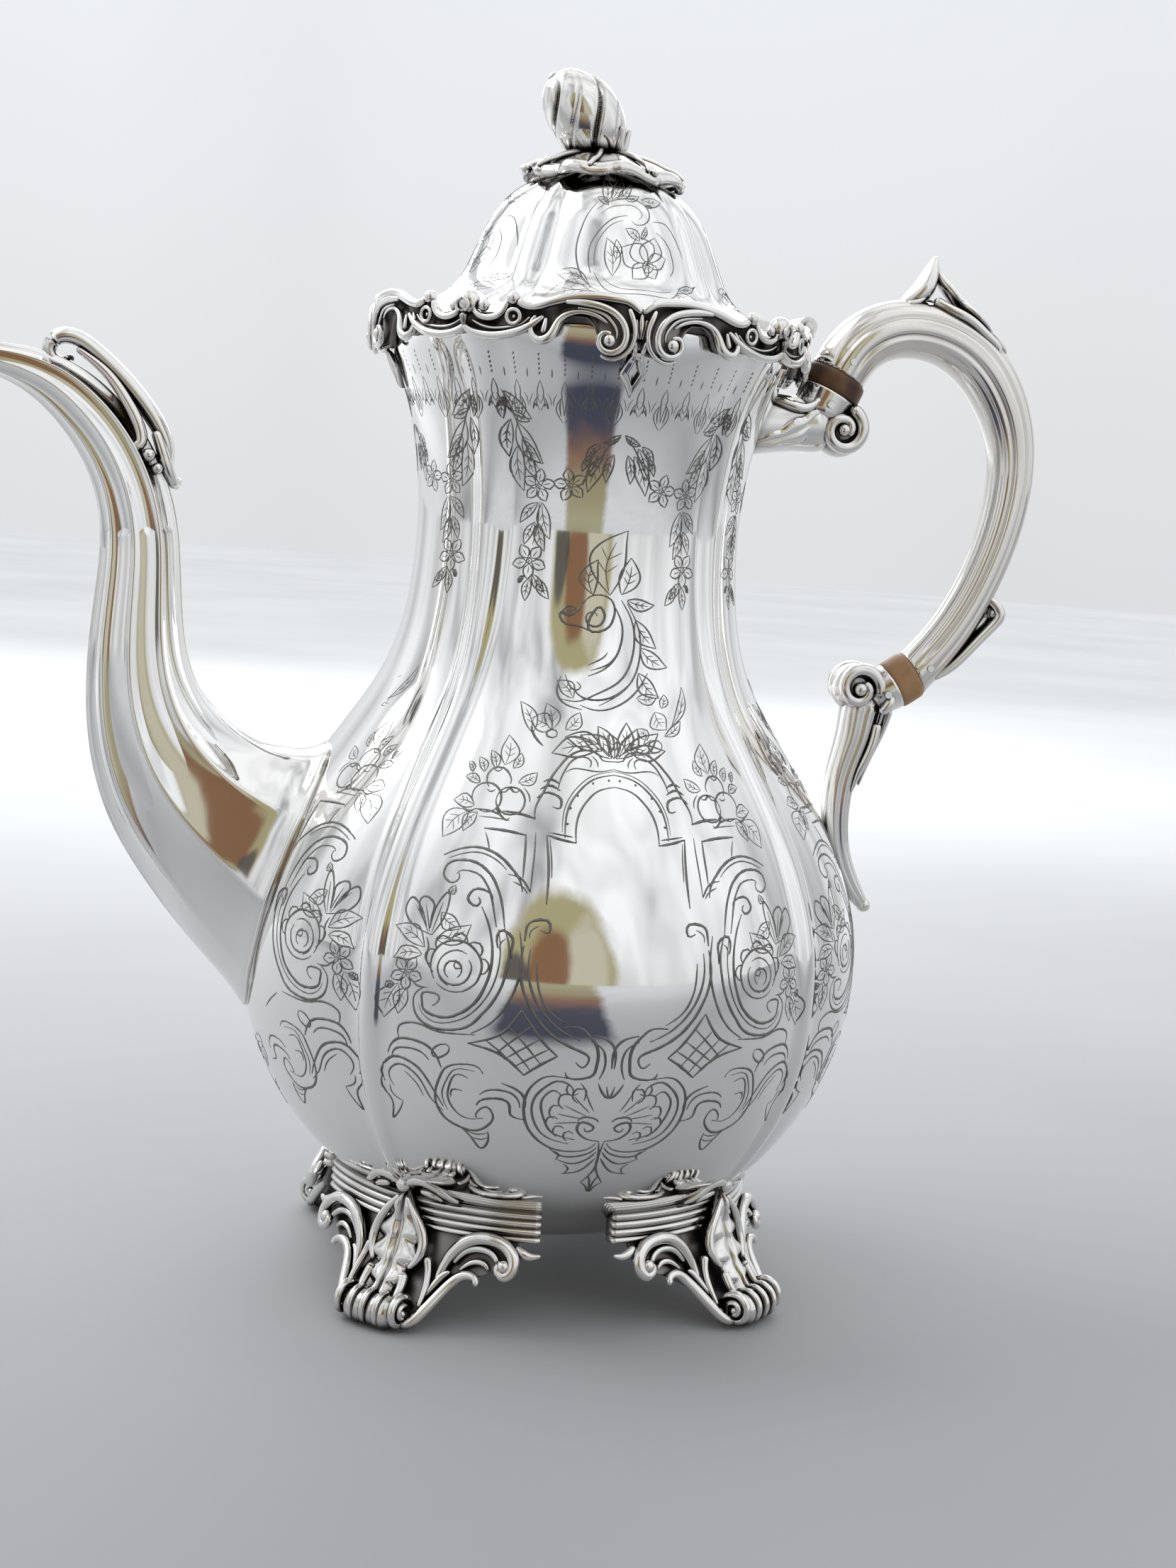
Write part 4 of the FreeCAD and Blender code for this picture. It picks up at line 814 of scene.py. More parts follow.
# hanging lozenges with their two straps
b = Build()
for q in (0, 2, 3):
    a0 = 90 * q

    def pp(x, z, off):
        x, z, off = np.broadcast_arrays(np.asarray(x, float), np.asarray(z, float), np.asarray(off, float))
        zz = np.clip(z, 15, 213.0)
        R = body_r(a0 + x, zz) + off + np.maximum(z - 211, 0) * 0.9
        return pol(a0 + x, R, z)

    n = 48
    u = np.linspace(0, 1, n, endpoint=False)
    out = np.array([(0.0, 203.6), (1.7, 206.0), (3.9, 208.3), (2.6, 210.4), (1.0, 212.7), (-1.0, 212.7), (-2.6, 210.4), (-3.9, 208.3), (-1.7, 206.0), (0.0, 203.6)])
    inn = np.array([(0.0, 206.1), (0.7, 207.2), (1.55, 208.5), (0.8, 209.8), (0.15, 211.2), (-0.15, 211.2), (-0.8, 209.8), (-1.55, 208.5), (-0.7, 207.2), (0.0, 206.1)])
    k9 = np.linspace(0, 1, 10)
    O = np.column_stack([np.interp(u, k9, out[:, 0]), np.interp(u, k9, out[:, 1])])
    I = np.column_stack([np.interp(u, k9, inn[:, 0]), np.interp(u, k9, inn[:, 1])])
    M1, M2 = 0.75 * O + 0.25 * I, 0.3 * O + 0.7 * I
    MM = 0.5 * (O + I)
    L = [pp(O[:, 0], O[:, 1], .25), pp(O[:, 0], O[:, 1], 1.2), pp(M1[:, 0], M1[:, 1], 1.75), pp(MM[:, 0], MM[:, 1], 1.35), pp(M2[:, 0], M2[:, 1], 1.7), pp(I[:, 0], I[:, 1], 1.2), pp(I[:, 0], I[:, 1], .25)]
    A = np.array(L)
    F = [quads(7, n)]
    j = np.arange(n)
    F.append(np.stack([6 * n + j, 6 * n + (j + 1) % n, (j + 1) % n, j], -1))
    b.add(A.reshape(-1, 3), F)
    for s in (1, -1):
        P = np.array([pol(a0 + s * x, R, z) for x, z, R in ((2.3, 216.6, 49.4), (1.5, 214.6, 49.1), (1.0, 213.0, 48.2), (0.9, 211.9, 46.8))])
        b.add(*tube(P, [.4, .6, .6, .5], 16, 8))
piece("rim_lozenges", b, M_CAST, replaces=("rim_pendants",))

# ------------------------------------------------------------------ handle grip with its mouldings
UN, UC = np.array((0.4300, 0.9028)), np.array((58.6, 212.3))
LN, LC = np.array((0.835, 0.550)), np.array((81.85, 143.9))
g0, g1 = UC + UN * 2.38, LC + LN * 2.93
GRIP = [
    (g0[0], g0[1], 6.9, UN[0], UN[1]), (62.6, 219.6, 7.0, 0.56, 0.83), (66.9, 223.6, 7.05, 0.80, 0.60), (73.6, 226.2, 7.05, 0.98, 0.18),
    (82.6, 225.9, 7.0, 0.965, -0.26), (91.6, 222.0, 7.0, 0.83, -0.56), (99.2, 213.8, 6.8, 0.58, -0.81), (103.7, 203.6, 6.4, 0.26, -0.965),
    (104.9, 193.4, 6.05, -0.02, -1.0), (103.7, 182.6, 5.7, -0.20, -0.98), (100.9, 172.6, 5.4, -0.36, -0.93), (96.5, 162.4, 5.3, -0.52, -0.85),
    (90.6, 153.0, 5.4, -0.68, -0.73), (g1[0], g1[1], 5.7, -LN[0], -LN[1])]
GS = spline(GRIP, 170)
_gs = np.concatenate([[0], np.cumsum(np.hypot(np.diff(GS[:, 0]), np.diff(GS[:, 1])))])
NG = 96
pg = np.linspace(0, 360, NG, endpoint=False)


def grip_section(phi):
    """share of the radius lost at angle phi from the outer side"""
    p = np.abs(((phi + 180) % 360) - 180)
    g = 0.15 * np.exp(-((p - 66) / 4.2) ** 2) + 0.14 * np.exp(-((p - 104) / 4.2) ** 2)
    g = g + 0.035 * np.exp(-((p - 128) / 4.0) ** 2) + 0.05 * (np.clip((p - 40) / 20, 0, 1) * np.clip((66 - p) / 6, 0, 1))
    return g


GSEC = grip_section(pg)


def grip_frame(i):
    x, z, r, nx, nz = GS[i]
    r = r - 0.42 * math.exp(-((z - 196) / 16) ** 2)
    L = math.hypot(nx, nz)
    return np.array([x, 0, z]), r, np.array([-nz / L, 0, nx / L]), np.array([nx / L, 0, nz / L])


A = []
for i in range(len(GS)):
    c, r, Ao, T = grip_frame(i)
    e = min(_gs[i], _gs[-1] - _gs[i])
    fade = min(1.0, max(0.0, (e - 2.0) / 6.0))
    flare = 1.0 + 0.0 * math.exp(-e / 1.5) - 0.02
    k = flare * (1 - GSEC * (0.25 + 0.75 * fade))
    A.append(c + (r * k * np.cos(rad(pg)))[:, None] * Ao + (r * k * np.sin(rad(pg)))[:, None] * np.array([0, -1.0, 0]))
A = np.array(A)
V = A.reshape(-1, 3)
n0 = len(V)
V = np.concatenate([V, [grip_frame(0)[0], grip_frame(len(GS) - 1)[0]]])
b = Build()
b.add(V, [quads(len(A), NG), fan(n0, np.arange(NG), True), fan(n0 + 1, np.arange(NG) + (len(A) - 1) * NG)])
piece("grip_moulded", b, M_GRIP, replaces=("handle_grip",))


def leaf(P, N, W, n=30, m=11, bulge=0.6, groove=0.5, lobes=0, deep=0.25, thick=0.9, veins=0.0, phase=0.0, back=1.0):
    """leaf along the points P with normals N and half widths W; closed, with a midrib groove and lobed edges"""
    P, N, W = np.asarray(P, float), np.asarray(N, float), np.asarray(W, float)
    S = spline(np.column_stack([P, N, W]), n)
    Q = S[:, :3]
    T = unit(np.gradient(Q, axis=0))
    Nn = unit(S[:, 3:6] - (S[:, 3:6] * T).sum(1, keepdims=True) * T)
    B = np.cross(T, Nn)
    w = np.maximum(S[:, 6], 0.05)
    t = np.linspace(0, 1, n)
    if lobes:
        sw = np.abs(np.sin(PI * (lobes * t + phase)))
        w = w * (1 - deep + deep * sw ** 0.6)
    v = np.linspace(-1, 1, m)
    h = bulge * (1 - v ** 2)[None, :] * np.minimum(w, 3)[:, None] / 3 - groove * np.exp(-(v / 0.16) ** 2)[None, :] * np.minimum(w, 2)[:, None] / 2
    if veins:
        h = h + veins * np.cos(2 * PI * (lobes * t[:, None] * 1.0 + phase) + np.abs(v)[None, :] * 3.5) * np.abs(v)[None, :]
    # a lobed leaf's side points reach forward
    fwd = (np.abs(v) ** 1.5)[None, :] * w[:, None] * 0.35 if lobes else 0 * h
    G = Q[:, None] + (w[:, None] * v[None, :])[..., None] * B[:, None] + h[..., None] * Nn[:, None] + fwd[..., None] * T[:, None]
    Bk = Q[:, None] + (w[:, None] * v[None, :] * 0.94)[..., None] * B[:, None] - (thick * back * (1 - 0.5 * v ** 2)[None, :, None]) * Nn[:, None] + fwd[..., None] * T[:, None]
    return patch(G, Bk)


def xz(pts, y=0.0):
    return np.array([(p[0], y, p[1]) for p in pts], float)


def nxz(pts):
    return np.array([(p[0], 0, p[1]) for p in pts], float)


# thumb leaf
b = Build()
P = [(73.0, 231.6), (76.0, 233.4), (78.6, 235.6), (80.0, 238.4), (80.9, 241.4), (81.5, 244.0)]
b.add(*tube(xz(P), [.8, 2.3, 3.0, 2.6, 1.7, .5], 26, 14, normal=(1, 0, 0.2), flat=0.85, wide=1.25, ends=(True, True)))
P = [(82.0, 242.0), (83.6, 238.6), (86.6, 235.3), (90.6, 232.0), (94.6, 228.8), (98.6, 224.6), (101.2, 220.6)]
b.add(*leaf(xz(P), nxz([(1, .3), (.9, .5), (.7, .8), (.6, .85), (.65, .8), (.75, .7), (.85, .5)]), [1.0, 2.6, 4.2, 4.9, 4.6, 3.6, 1.0], 40, 15, 1.0, 0.9, 3, .28, 1.6, .25))
P = [(80.0, 236.5), (78.4, 234.2), (75.6, 232.7), (71.6, 231.6), (67.6, 230.4)]
b.add(*leaf(xz(P), nxz([(-.9, .4), (-.6, .8), (-.3, .95), (-.2, 1), (-.4, .9)]), [2.4, 3.6, 4.2, 3.2, .7], 30, 13, .8, .6, 2, .25, 1.2, .2))
for s in (1, -1):
    P = [(81, s * 2.5, 233.6), (85, s * 4.3, 231.6), (90, s * 5.0, 229.4), (95, s * 4.7, 225.8), (97.6, s * 4.2, 223.0), (96.8, s * 4.0, 221.2), (95.2, s * 4.4, 222.0)]
    b.add(*tube(P, [1.2, 1.1, 1.0, .95, .9, .8, .5], 36, 9))
piece("thumb_leaf", b, M_CAST, replaces=("handle_thumb_leaf",))

# tail scroll
b = Build()
P = [(96.5, 168.5), (100.0, 165.6), (103.2, 163.2), (104.4, 160.9), (103.2, 158.6), (100.0, 155.0), (96.3, 150.8), (92.6, 147.2), (89.0, 144.8)]
b.add(*leaf(xz(P)[3:], nxz([(.9, -.2), (.9, -.4), (.8, -.6), (.75, -.65), (.7, -.7), (.6, -.8)]), [2.6, 3.6, 3.9, 3.7, 3.3, 2.2], 34, 13, .4, 1.3, 0, 0, 1.6))
for s in (1, -1):
    Q = xz(P, s * 2.9)
    Q[:2, 1] *= .7
    b.add(*tube(Q, [.6, 1.0, 1.3, 1.45, 1.3, 1.2, 1.15, 1.05, .7], 50, 10))
b.add(*tube([(103.3, -3.4, 161.2), (103.6, 0, 161.4), (103.3, 3.4, 161.2)], [1.7, 1.9, 1.7], 12, 14))
piece("tail_scroll", b, M_CAST, replaces=("handle_tail_scroll",))


# ------------------------------------------------------------------ insulators
def disc(c, n, r, half, bulge=0.35, rows_=10, k=64, wob=0.0):
    c, n = np.array([c[0], 0, c[1]]), np.array([n[0], 0, n[1]])
    u = np.array([0, 1.0, 0])
    v = np.cross(n, u)
    th = np.linspace(0, 2 * PI, k, endpoint=False)
    A = []
    prof = [(0.55, -half), (0.93, -half), (0.985, -half * .86)] + [(1.0 - 0.0 * t, t * half) for t in np.linspace(-.6, .6, 5)] + [(0.985, half * .86), (0.93, half), (0.55, half)]
    for q, (f, h) in enumerate(prof):
        f2 = f + (bulge / r) * (1 - (h / half) ** 2) * (f > .9)
        rr = r * f2 * (1 + wob * np.sin(3 * th + 1.0) + wob * .7 * np.sin(5 * th + h))
        A.append(c + h * n + (rr * np.cos(th))[:, None] * u + (rr * np.sin(th))[:, None] * v)
    A = np.array(A)
    V = A.reshape(-1, 3)
    n0 = len(V)
    V = np.concatenate([V, [c - n * half, c + n * half]])
    return V, [quads(len(A), k), fan(n0, np.arange(k), True), fan(n0 + 1, np.arange(k) + (len(A) - 1) * k)]


b = Build()
b.add(*disc(UC, UN, 7.25, 2.34, 0.1, wob=0.006))
piece("insulator_upper", b, M_BONE_UP, replaces=("upper_insulator",))
b = Build()
b.add(*disc(LC, LN, 5.95, 2.88, 0.05, wob=0.008))
piece("insulator_lower", b, M_BONE_LOW, replaces=("lower_insulator",))

# ------------------------------------------------------------------ upper handle socket
b = Build()
uo = UC - UN * 2.38
P = [(33.0, 0, 202.0), (42.0, 0, 202.2), (50.0, 0, 202.6), (56.0, 0, 203.2), (60.2, 0, 204.0)]
b.add(*tube(P, [8.6, 7.4, 6.6, 6.9, 6.2], 30, 28, normal=(0, 0, 1), wide=0.92))
c0, c1 = uo - UN * 8.0, uo
b.add(*tube(np.array([(c0[0], 0, c0[1]), ((c0[0] + c1[0]) / 2, 0, (c0[1] + c1[1]) / 2), (c1[0], 0, c1[1])]), [6.5, 6.7, 7.0], 14, 32, ends=(True, False)))
# scroll knob at the bend, rolled under
for s in (1, -1):
    sp = spiral2((60.4, 201.8), 5.4, 1.3, 75, -1.35, 26)
    Q = np.column_stack([sp[:, 0], np.full(26, s * 4.6) + s * np.linspace(0, 1.6, 26), sp[:, 1]])
    b.add(*tube(Q, np.linspace(1.9, 0.9, 26), 54, 10))
    b.add(*ball((60.4, s * 6.0, 201.8), 1.5, 12, 9))
b.add(*tube([(60.6, -5.2, 201.6), (60.9, 0, 201.6), (60.6, 5.2, 201.6)], [5.6, 6.2, 5.6], 14, 26))
# leaf along the arm and lobes round the cup
for s in (1, -1):
    P = np.array([(39.0, s * 5.4, 197.2), (45.0, s * 5.9, 199.0), (51.0, s * 5.8, 202.0), (55.5, s * 5.4, 206.0)])
    b.add(*leaf(P, np.array([(0, s, -.3)] * 4), [1.2, 2.6, 2.9, .9], 26, 11, .8, .6, 3, .3, 1.2, .2))
    P = np.array([(41.0, s * 4.6, 208.0), (46.0, s * 5.4, 207.0), (51.0, s * 5.9, 206.2), (54.0, s * 5.8, 208.6)])
    b.add(*tube(P, [.7, 1.2, 1.1, .6], 22, 9))
piece("socket_upper", b, M_CAST, replaces=("upper_handle_socket",))

# ------------------------------------------------------------------ lower handle socket
b = Build()
lo = LC - LN * 2.93
c0, c1 = lo - LN * 7.5, lo
b.add(*tube(np.array([(c0[0], 0, c0[1]), ((c0[0] + c1[0]) / 2, 0, (c0[1] + c1[1]) / 2), (c1[0], 0, c1[1])]), [5.0, 5.3, 5.8], 14, 28, ends=(True, False)))
ARM = [(74.5, 141.0, 5.4), (72.6, 138.0, 5.0), (71.3, 130.5, 4.6), (69.0, 121.5, 3.9), (68.1, 112.0, 3.4), (69.2, 103.0, 3.0), (72.4, 95.2, 2.5), (75.6, 90.4, 1.9), (77.8, 87.8, 1.2)]
P = np.array([(p[0], 0, p[1]) for p in ARM])


def arm_sec(t, ang):
    # ang 0 is the outer side: a ridge with a groove on each side of it
    p = np.degrees(np.abs(((ang + PI) % (2 * PI)) - PI))
    return 1 - 0.20 * np.exp(-((p - 38) / 9.0) ** 2) - 0.16 * np.exp(-((p - 92) / 10.0) ** 2)


b.add(*tube(P, [p[2] for p in ARM], 90, 40, normal=(1, 0, 0), sec=arm_sec))
# rolled scroll at the top, turned toward the pot
for s in (1, -1):
    sp = spiral2((70.2, 141.4), 5.6, 1.5, -25, 1.25, 24)
    Q = np.column_stack([sp[:, 0], np.full(24, s * 3.4) + s * np.linspace(0, 1.9, 24), sp[:, 1]])
    b.add(*tube(Q, np.linspace(1.9, 1.0, 24), 48, 10))
    b.add(*ball((70.2, s * 4.9, 141.4), 1.7, 12, 9))
b.add(*tube([(70.3, -4.0, 141.3), (70.0, 0, 141.6), (70.3, 4.0, 141.3)], [5.2, 5.7, 5.2], 14, 24))
for s in (1, -1):
    P = np.array([(75.5, s * 4.6, 136.0), (77.6, s * 5.0, 138.4), (78.2, s * 4.8, 140.4)])
    b.add(*tube(P, [1.0, 1.3, .8], 14, 9))
    P = np.array([(75.6, s * 3.4, 133.5), (74.6, s * 3.8, 128.0), (72.4, s * 3.2, 122.0), (70.8, s * 2.4, 116.5)])
    b.add(*tube(P, [1.2, 1.1, .9, .4], 26, 9))
    P = np.array([(78.6, s * 3.0, 137.0), (77.4, s * 2.0, 131.5), (75.0, s * 1.6, 125.0), (72.9, s * 1.1, 118.0)])
    b.add(*tube(P, [1.0, .9, .7, .3], 26, 9))
P = xz([(78.0, 88.4), (76.4, 91.5), (75.0, 95.0)])
b.add(*tube(np.array([(76.2, 0, 89.6), (77.6, 0, 88.3), (78.6, 0, 87.4)]), [1.9, 1.6, 1.1], 14, 12))
piece("socket_lower", b, M_CAST, replaces=("lower_handle_socket",))

# ------------------------------------------------------------------ scroll on top of the spout
b = Build()
TOPC = [(-93.9, 181.0), (-94.2, 186.2), (-96.4, 191.4), (-100.6, 197.0), (-105.6, 202.2), (-110.6, 206.4), (-114.6, 208.8), (-118.2, 208.9), (-120.2, 206.8), (-119.6, 204.2), (-117.0, 203.4), (-115.4, 205.0)]
b.add(*tube(xz(TOPC), [1.2, 1.7, 2.0, 2.1, 2.1, 2.0, 1.9, 1.8, 1.6, 1.5, 1.3, 1.0], 70, 12, normal=(1, 0, 1), wide=1.7))
for s in (1, -1):
    P = [(-114.5, s * 2.4, 206.5), (-108.0, s * 3.4, 201.8), (-103.4, s * 3.9, 196.0), (-100.4, s * 4.3, 190.4), (-100.4, s * 4.6, 186.6), (-102.6, s * 4.8, 186.2), (-102.6, s * 4.6, 188.4)]
    b.add(*tube(P, [.6, 1.0, 1.2, 1.3, 1.3, 1.1, .8], 40, 9))
    P = [(-97.0, s * 3.0, 190.0), (-95.0, s * 3.6, 185.0), (-93.4, s * 3.0, 180.5), (-91.8, s * 1.6, 178.4), (-91.2, s * .6, 180.0)]
    b.add(*tube(P, [.9, 1.3, 1.3, 1.0, .6], 30, 9))
    b.add(*ball((-98.2, s * 4.9, 184.6), 1.5, 12, 9))
    b.add(*ball((-96.2, s * 4.4, 181.8), 1.3, 12, 9))
piece("spout_scroll", b, M_CAST, replaces=("spout_scroll_mount",))

# ------------------------------------------------------------------ feet
def shield_r(z):
    return np.interp(z, [0, 2.6, 5.2, 8.4, 11.2, 14.6, 20.2, 27], [61.3, 60.0, 57.6, 55.0, 52.9, 51.2, 49.3, 49.2])


def half_w(z):
    return np.interp(z, [0, 4.6, 9.0, 11.2, 13.0, 15.6, 21.0], [7.4, 10.4, 13.4, 16.6, 21.0, 24.6, 25.2])


def foot_build(a0):
    """one foot centred on azimuth a0; be is degrees from its centre"""
    dark, bright = Build(), Build()

    def fp(be, z, off=0.0):
        be, z, off = np.broadcast_arrays(np.asarray(be, float), np.asarray(z, float), np.asarray(off, float))
        return pol(a0 + be, shield_r(z) + off, z)

    def fn(be):
        return pol(a0 + np.asarray(be, float), 1.0, 0.25)

    def ftube(pts, r, n=30, k=9, **kw):
        # pts: degrees, z, offset from the shield
        pts = np.asarray(pts, float)
        for s in (1, -1):
            P = fp(s * pts[:, 0], pts[:, 1], pts[:, 2])
            N = fn(s * pts[:, 0])
            bright.add(*tube(P, r, n, k, normals=N, **kw))

    def fball(be, z, off, r, sq=(1, 1, 1)):
        for s in ((1, -1) if be else (1,)):
            V, F = ball((0, 0, 0), r, 14, 9, sq)
            a = a0 + s * be
            c, s_ = math.cos(rad(a)), math.sin(rad(a))
            W = np.column_stack([V[:, 0] * c + V[:, 1] * s_, V[:, 0] * s_ - V[:, 1] * c, V[:, 2]])
            bright.add(W + fp(s * be, z, off), F)

    # reeded band
    nb = 49
    be = np.linspace(-35.7, 35.7, nb)
    zz = np.linspace(27.0, 19.9, 41)
    ph_ = (27.0 - zz) / 7.1
    reed = np.abs(np.sin(PI * 4 * ph_)) ** 0.55
    rr = 48.75 + 0.35 * ph_ + 1.15 * reed
    G = np.array([[pol(a0 + x, r, z) for x in be] for r, z in zip(rr, zz)])
    Bk = np.array([[pol(a0 + x, max(46.0, float(Rz(z)) + 0.1) if z > 24.4 else 46.0, z) for x in be] for z in zz])
    bright.add(*patch(G, Bk))
    # matted shield
    nz, nx = 34, 41
    zs = np.linspace(20.6, 1.2, nz)
    v = np.linspace(-1, 1, nx)
    G, Bk = [], []
    for z in zs:
        w = half_w(z)
        be_ = np.degrees(np.arcsin(np.clip(w * v / shield_r(z), -1, 1)))
        G.append(pol(a0 + be_, shield_r(z) - 0.6 * (1 - v ** 2) * 1.0 - 0.2, z))
        Bk.append(pol(a0 + be_, shield_r(z) - 2.1 + 0.2 * v ** 2, z - 0.25))
    dark.add(*patch(np.array(G), np.array(Bk)))

    # spine leaf, from the band to the toe
    P = fp(0, np.array([28.6, 26.0, 22.0, 17.5, 13.0, 9.6, 7.0, 5.6]), np.array([.9, 1.9, 2.3, 2.5, 2.6, 2.6, 2.7, 3.4]))
    bright.add(*leaf(P, np.repeat(fn(0)[None], 8, 0), [.5, 3.2, 5.4, 6.2, 5.2, 4.0, 3.0, 1.2], 54, 21, 1.5, 1.7, 5, .34, 1.6, .4))
    for s in (1, -1):
        # curled edges and round-headed stalks each side
        for pts, r in (
            ([(s * 1.2, 27.0, 2.6), (s * 4.4, 23.4, 3.3), (s * 6.8, 19.2, 3.2), (s * 7.0, 15.6, 3.0), (s * 5.0, 12.4, 3.2)], [.5, .9, 1.1, 1.0, .5]),
            ([(s * 9.6, 5.4, 1.0), (s * 9.8, 9.0, 1.2), (s * 9.2, 12.6, 1.4), (s * 8.2, 15.2, 1.8)], [.5, .8, .9, 1.2]),
            ([(s * 4.0, 4.6, 3.6), (s * 4.8, 8.2, 3.2), (s * 4.4, 11.6, 3.2)], [.6, .9, 1.1]),
        ):
            p = np.asarray(pts, float)
            bright.add(*tube(fp(p[:, 0], p[:, 1], p[:, 2]), r, 24, 9))
    # toe: a roll with a spiral at each end
    c = np.array([61.0, 4.3])
    ex = pol(a0, 1.0, 0.0)
    ey = np.array([math.cos(rad(a0)), math.sin(rad(a0)), 0.0])
    ez = np.array([0, 0, 1.0])

    def toe(x, y, z):
        return np.asarray(x)[..., None] * ex + np.asarray(y)[..., None] * ey + np.asarray(z)[..., None] * ez

    y = np.linspace(-7.2, 7.2, 9)
    bright.add(*tube(toe(np.full(9, 60.9), y, np.full(9, 3.82)), 4.1 - 0.5 * np.cos(y / 7.2 * PI / 2) ** 2, 30, 30, normal=ex))
    for s in (1, -1):
        sp = spiral2((60.9, 4.4), 4.0, 0.6, 200, -1.9, 40)
        bright.add(*tube(toe(sp[:, 0], np.full(40, s * 7.0) + s * np.linspace(0, 1.2, 40), np.maximum(sp[:, 1], 0.75)), np.linspace(0.95, 0.6, 40), 70, 9))
        bright.add(*ball(toe(60.9, s * 7.9, 4.4), 0.9, 12, 9))
    for k in (-3.4, 0, 3.4):
        th = np.linspace(-0.5, 2.7, 9)
        bright.add(*tube(toe(60.9 + 4.0 * np.sin(th), np.full(9, k * 1.0), 4.3 + 4.0 * np.cos(th) * .95), [.2, .5, .7, .8, .8, .8, .7, .5, .2], 22, 8))
    # lower edge scroll that runs up from the toe into the wing
    ftube([(6.2, 2.2, 0.6), (7.8, 2.0, 0.5), (10.4, 4.2, .5), (13.4, 8.4, .5), (16.0, 11.3, .6), (18.6, 12.6, .9), (21.0, 12.2, 1.3), (21.2, 10.9, 1.5)],
          [.9, 1.2, 1.25, 1.2, 1.15, 1.1, .9, .6], 46, 10)
    ftube([(8.8, 5.8, 0.4), (11.2, 9.4, .5), (13.2, 12.0, .7), (14.6, 12.8, 1.0)], [.5, .8, .8, .4], 24, 8)
    # wing: big C-scroll with a rolled head
    ftube([(11.6, 10.4, .4), (12.6, 13.6, .8), (14.8, 17.2, 1.2), (18.6, 20.0, 1.6), (23.0, 20.8, 1.9), (27.0, 19.8, 2.1), (29.4, 17.4, 2.3), (29.2, 14.8, 2.3), (27.4, 13.6, 2.2), (26.0, 14.8, 2.4), (26.6, 16.2, 2.7)],
          [.7, 1.1, 1.3, 1.4, 1.4, 1.45, 1.5, 1.4, 1.2, 1.0, .8], 70, 11)
    ftube([(14.8, 14.4, .6), (17.4, 17.2, .9), (21.0, 18.3, 1.2), (24.4, 17.6, 1.5), (26.0, 16.0, 1.9)], [.5, .8, .9, .8, .6], 36, 9)
    ftube([(16.6, 13.2, .5), (19.6, 15.2, .7), (22.4, 15.3, .9), (23.8, 14.2, 1.0)], [.4, .7, .7, .4], 26, 8)
    fball(27.3, 15.6, 2.5, 1.55)
    # curled tongue under the end of the band
    ftube([(36.0, 18.2, 2.0), (33.6, 17.8, 1.6), (31.4, 18.4, 1.4), (29.8, 19.6, 1.2)], [.35, .9, 1.1, .7], 24, 9)
    # sprig over the band
    ftube([(0.6, 29.8, 2.6), (4.0, 31.6, 3.4), (8.0, 31.2, 3.0), (11.6, 29.0, 2.0), (14.6, 27.6, 1.0)], [.8, 1.3, 1.2, .9, .4], 34, 10)
    ftube([(4.6, 29.0, 2.4), (7.8, 28.6, 2.0), (10.4, 27.4, 1.4)], [.6, .9, .4], 20, 8)
    fball(0, 29.8, 3.0, 1.7, (1.1, .8, 1))
    fball(9.6, 32.0, 3.2, 0.9)
    return dark, bright


FEET = {"foot_front_right": 45, "foot_back_right": 135, "foot_back_left": 225, "foot_front_left": 315}
for nm, a0 in FEET.items():
    dk, br = foot_build(a0)
    piece(nm.replace("foot_", "footscroll_"), br, M_CAST, replaces=(nm,))
    piece(nm.replace("foot_", "footpanel_"), dk, M_CAST_SHADE_AND_MATT)

# ------------------------------------------------------------------ finial
b = Build()
NC, NRr = 180, 26
ph2 = np.linspace(0, 360, NC, endpoint=False)
tt = np.linspace(0.12, 1.0, NRr)
edge = 17.2 + 1.5 * np.abs(np.sin(rad(ph2 * 4 + 20))) ** 0.6 + 0.9 * np.sin(rad(ph2 * 3 + 60)) + 0.5 * np.sin(rad(ph2 * 11 + 10))
# azimuth here runs from +X, so 0 is the handle side
top, und = [], []
for t in tt:
    R = np.minimum(t * edge, 19.5)
    z = 259.2 - 1.0 * t - 5.2 * t ** 3.2 + 0.55 * np.sin(rad(ph2 * 8 + 35)) * t ** 1.5 + 0.45 * np.cos(rad(ph2 * 4 + 20)) * t ** 2
    z = z + 0.9 * np.exp(-((t - 0.93) / 0.08) ** 2)
    z = z + 0.6 * np.exp(-(((ph2 - 180 + 540) % 360 - 180) / 24) ** 2) * t
    th = 1.6 - 0.5 * t
    top.append(np.stack([R * np.cos(rad(ph2)), R * np.sin(rad(ph2)), z], -1))
    und.append(np.stack([R * 0.97 * np.cos(rad(ph2)), R * 0.97 * np.sin(rad(ph2)), z - th], -1))
A = np.array(top + und[::-1])
V = A.reshape(-1, 3)
F = [quads(len(A), NC)]
j = np.arange(NC)
F.append(np.stack([(len(A) - 1) * NC + j, (len(A) - 1) * NC + (j + 1) % NC, (j + 1) % NC, j], -1))
b.add(V, F)
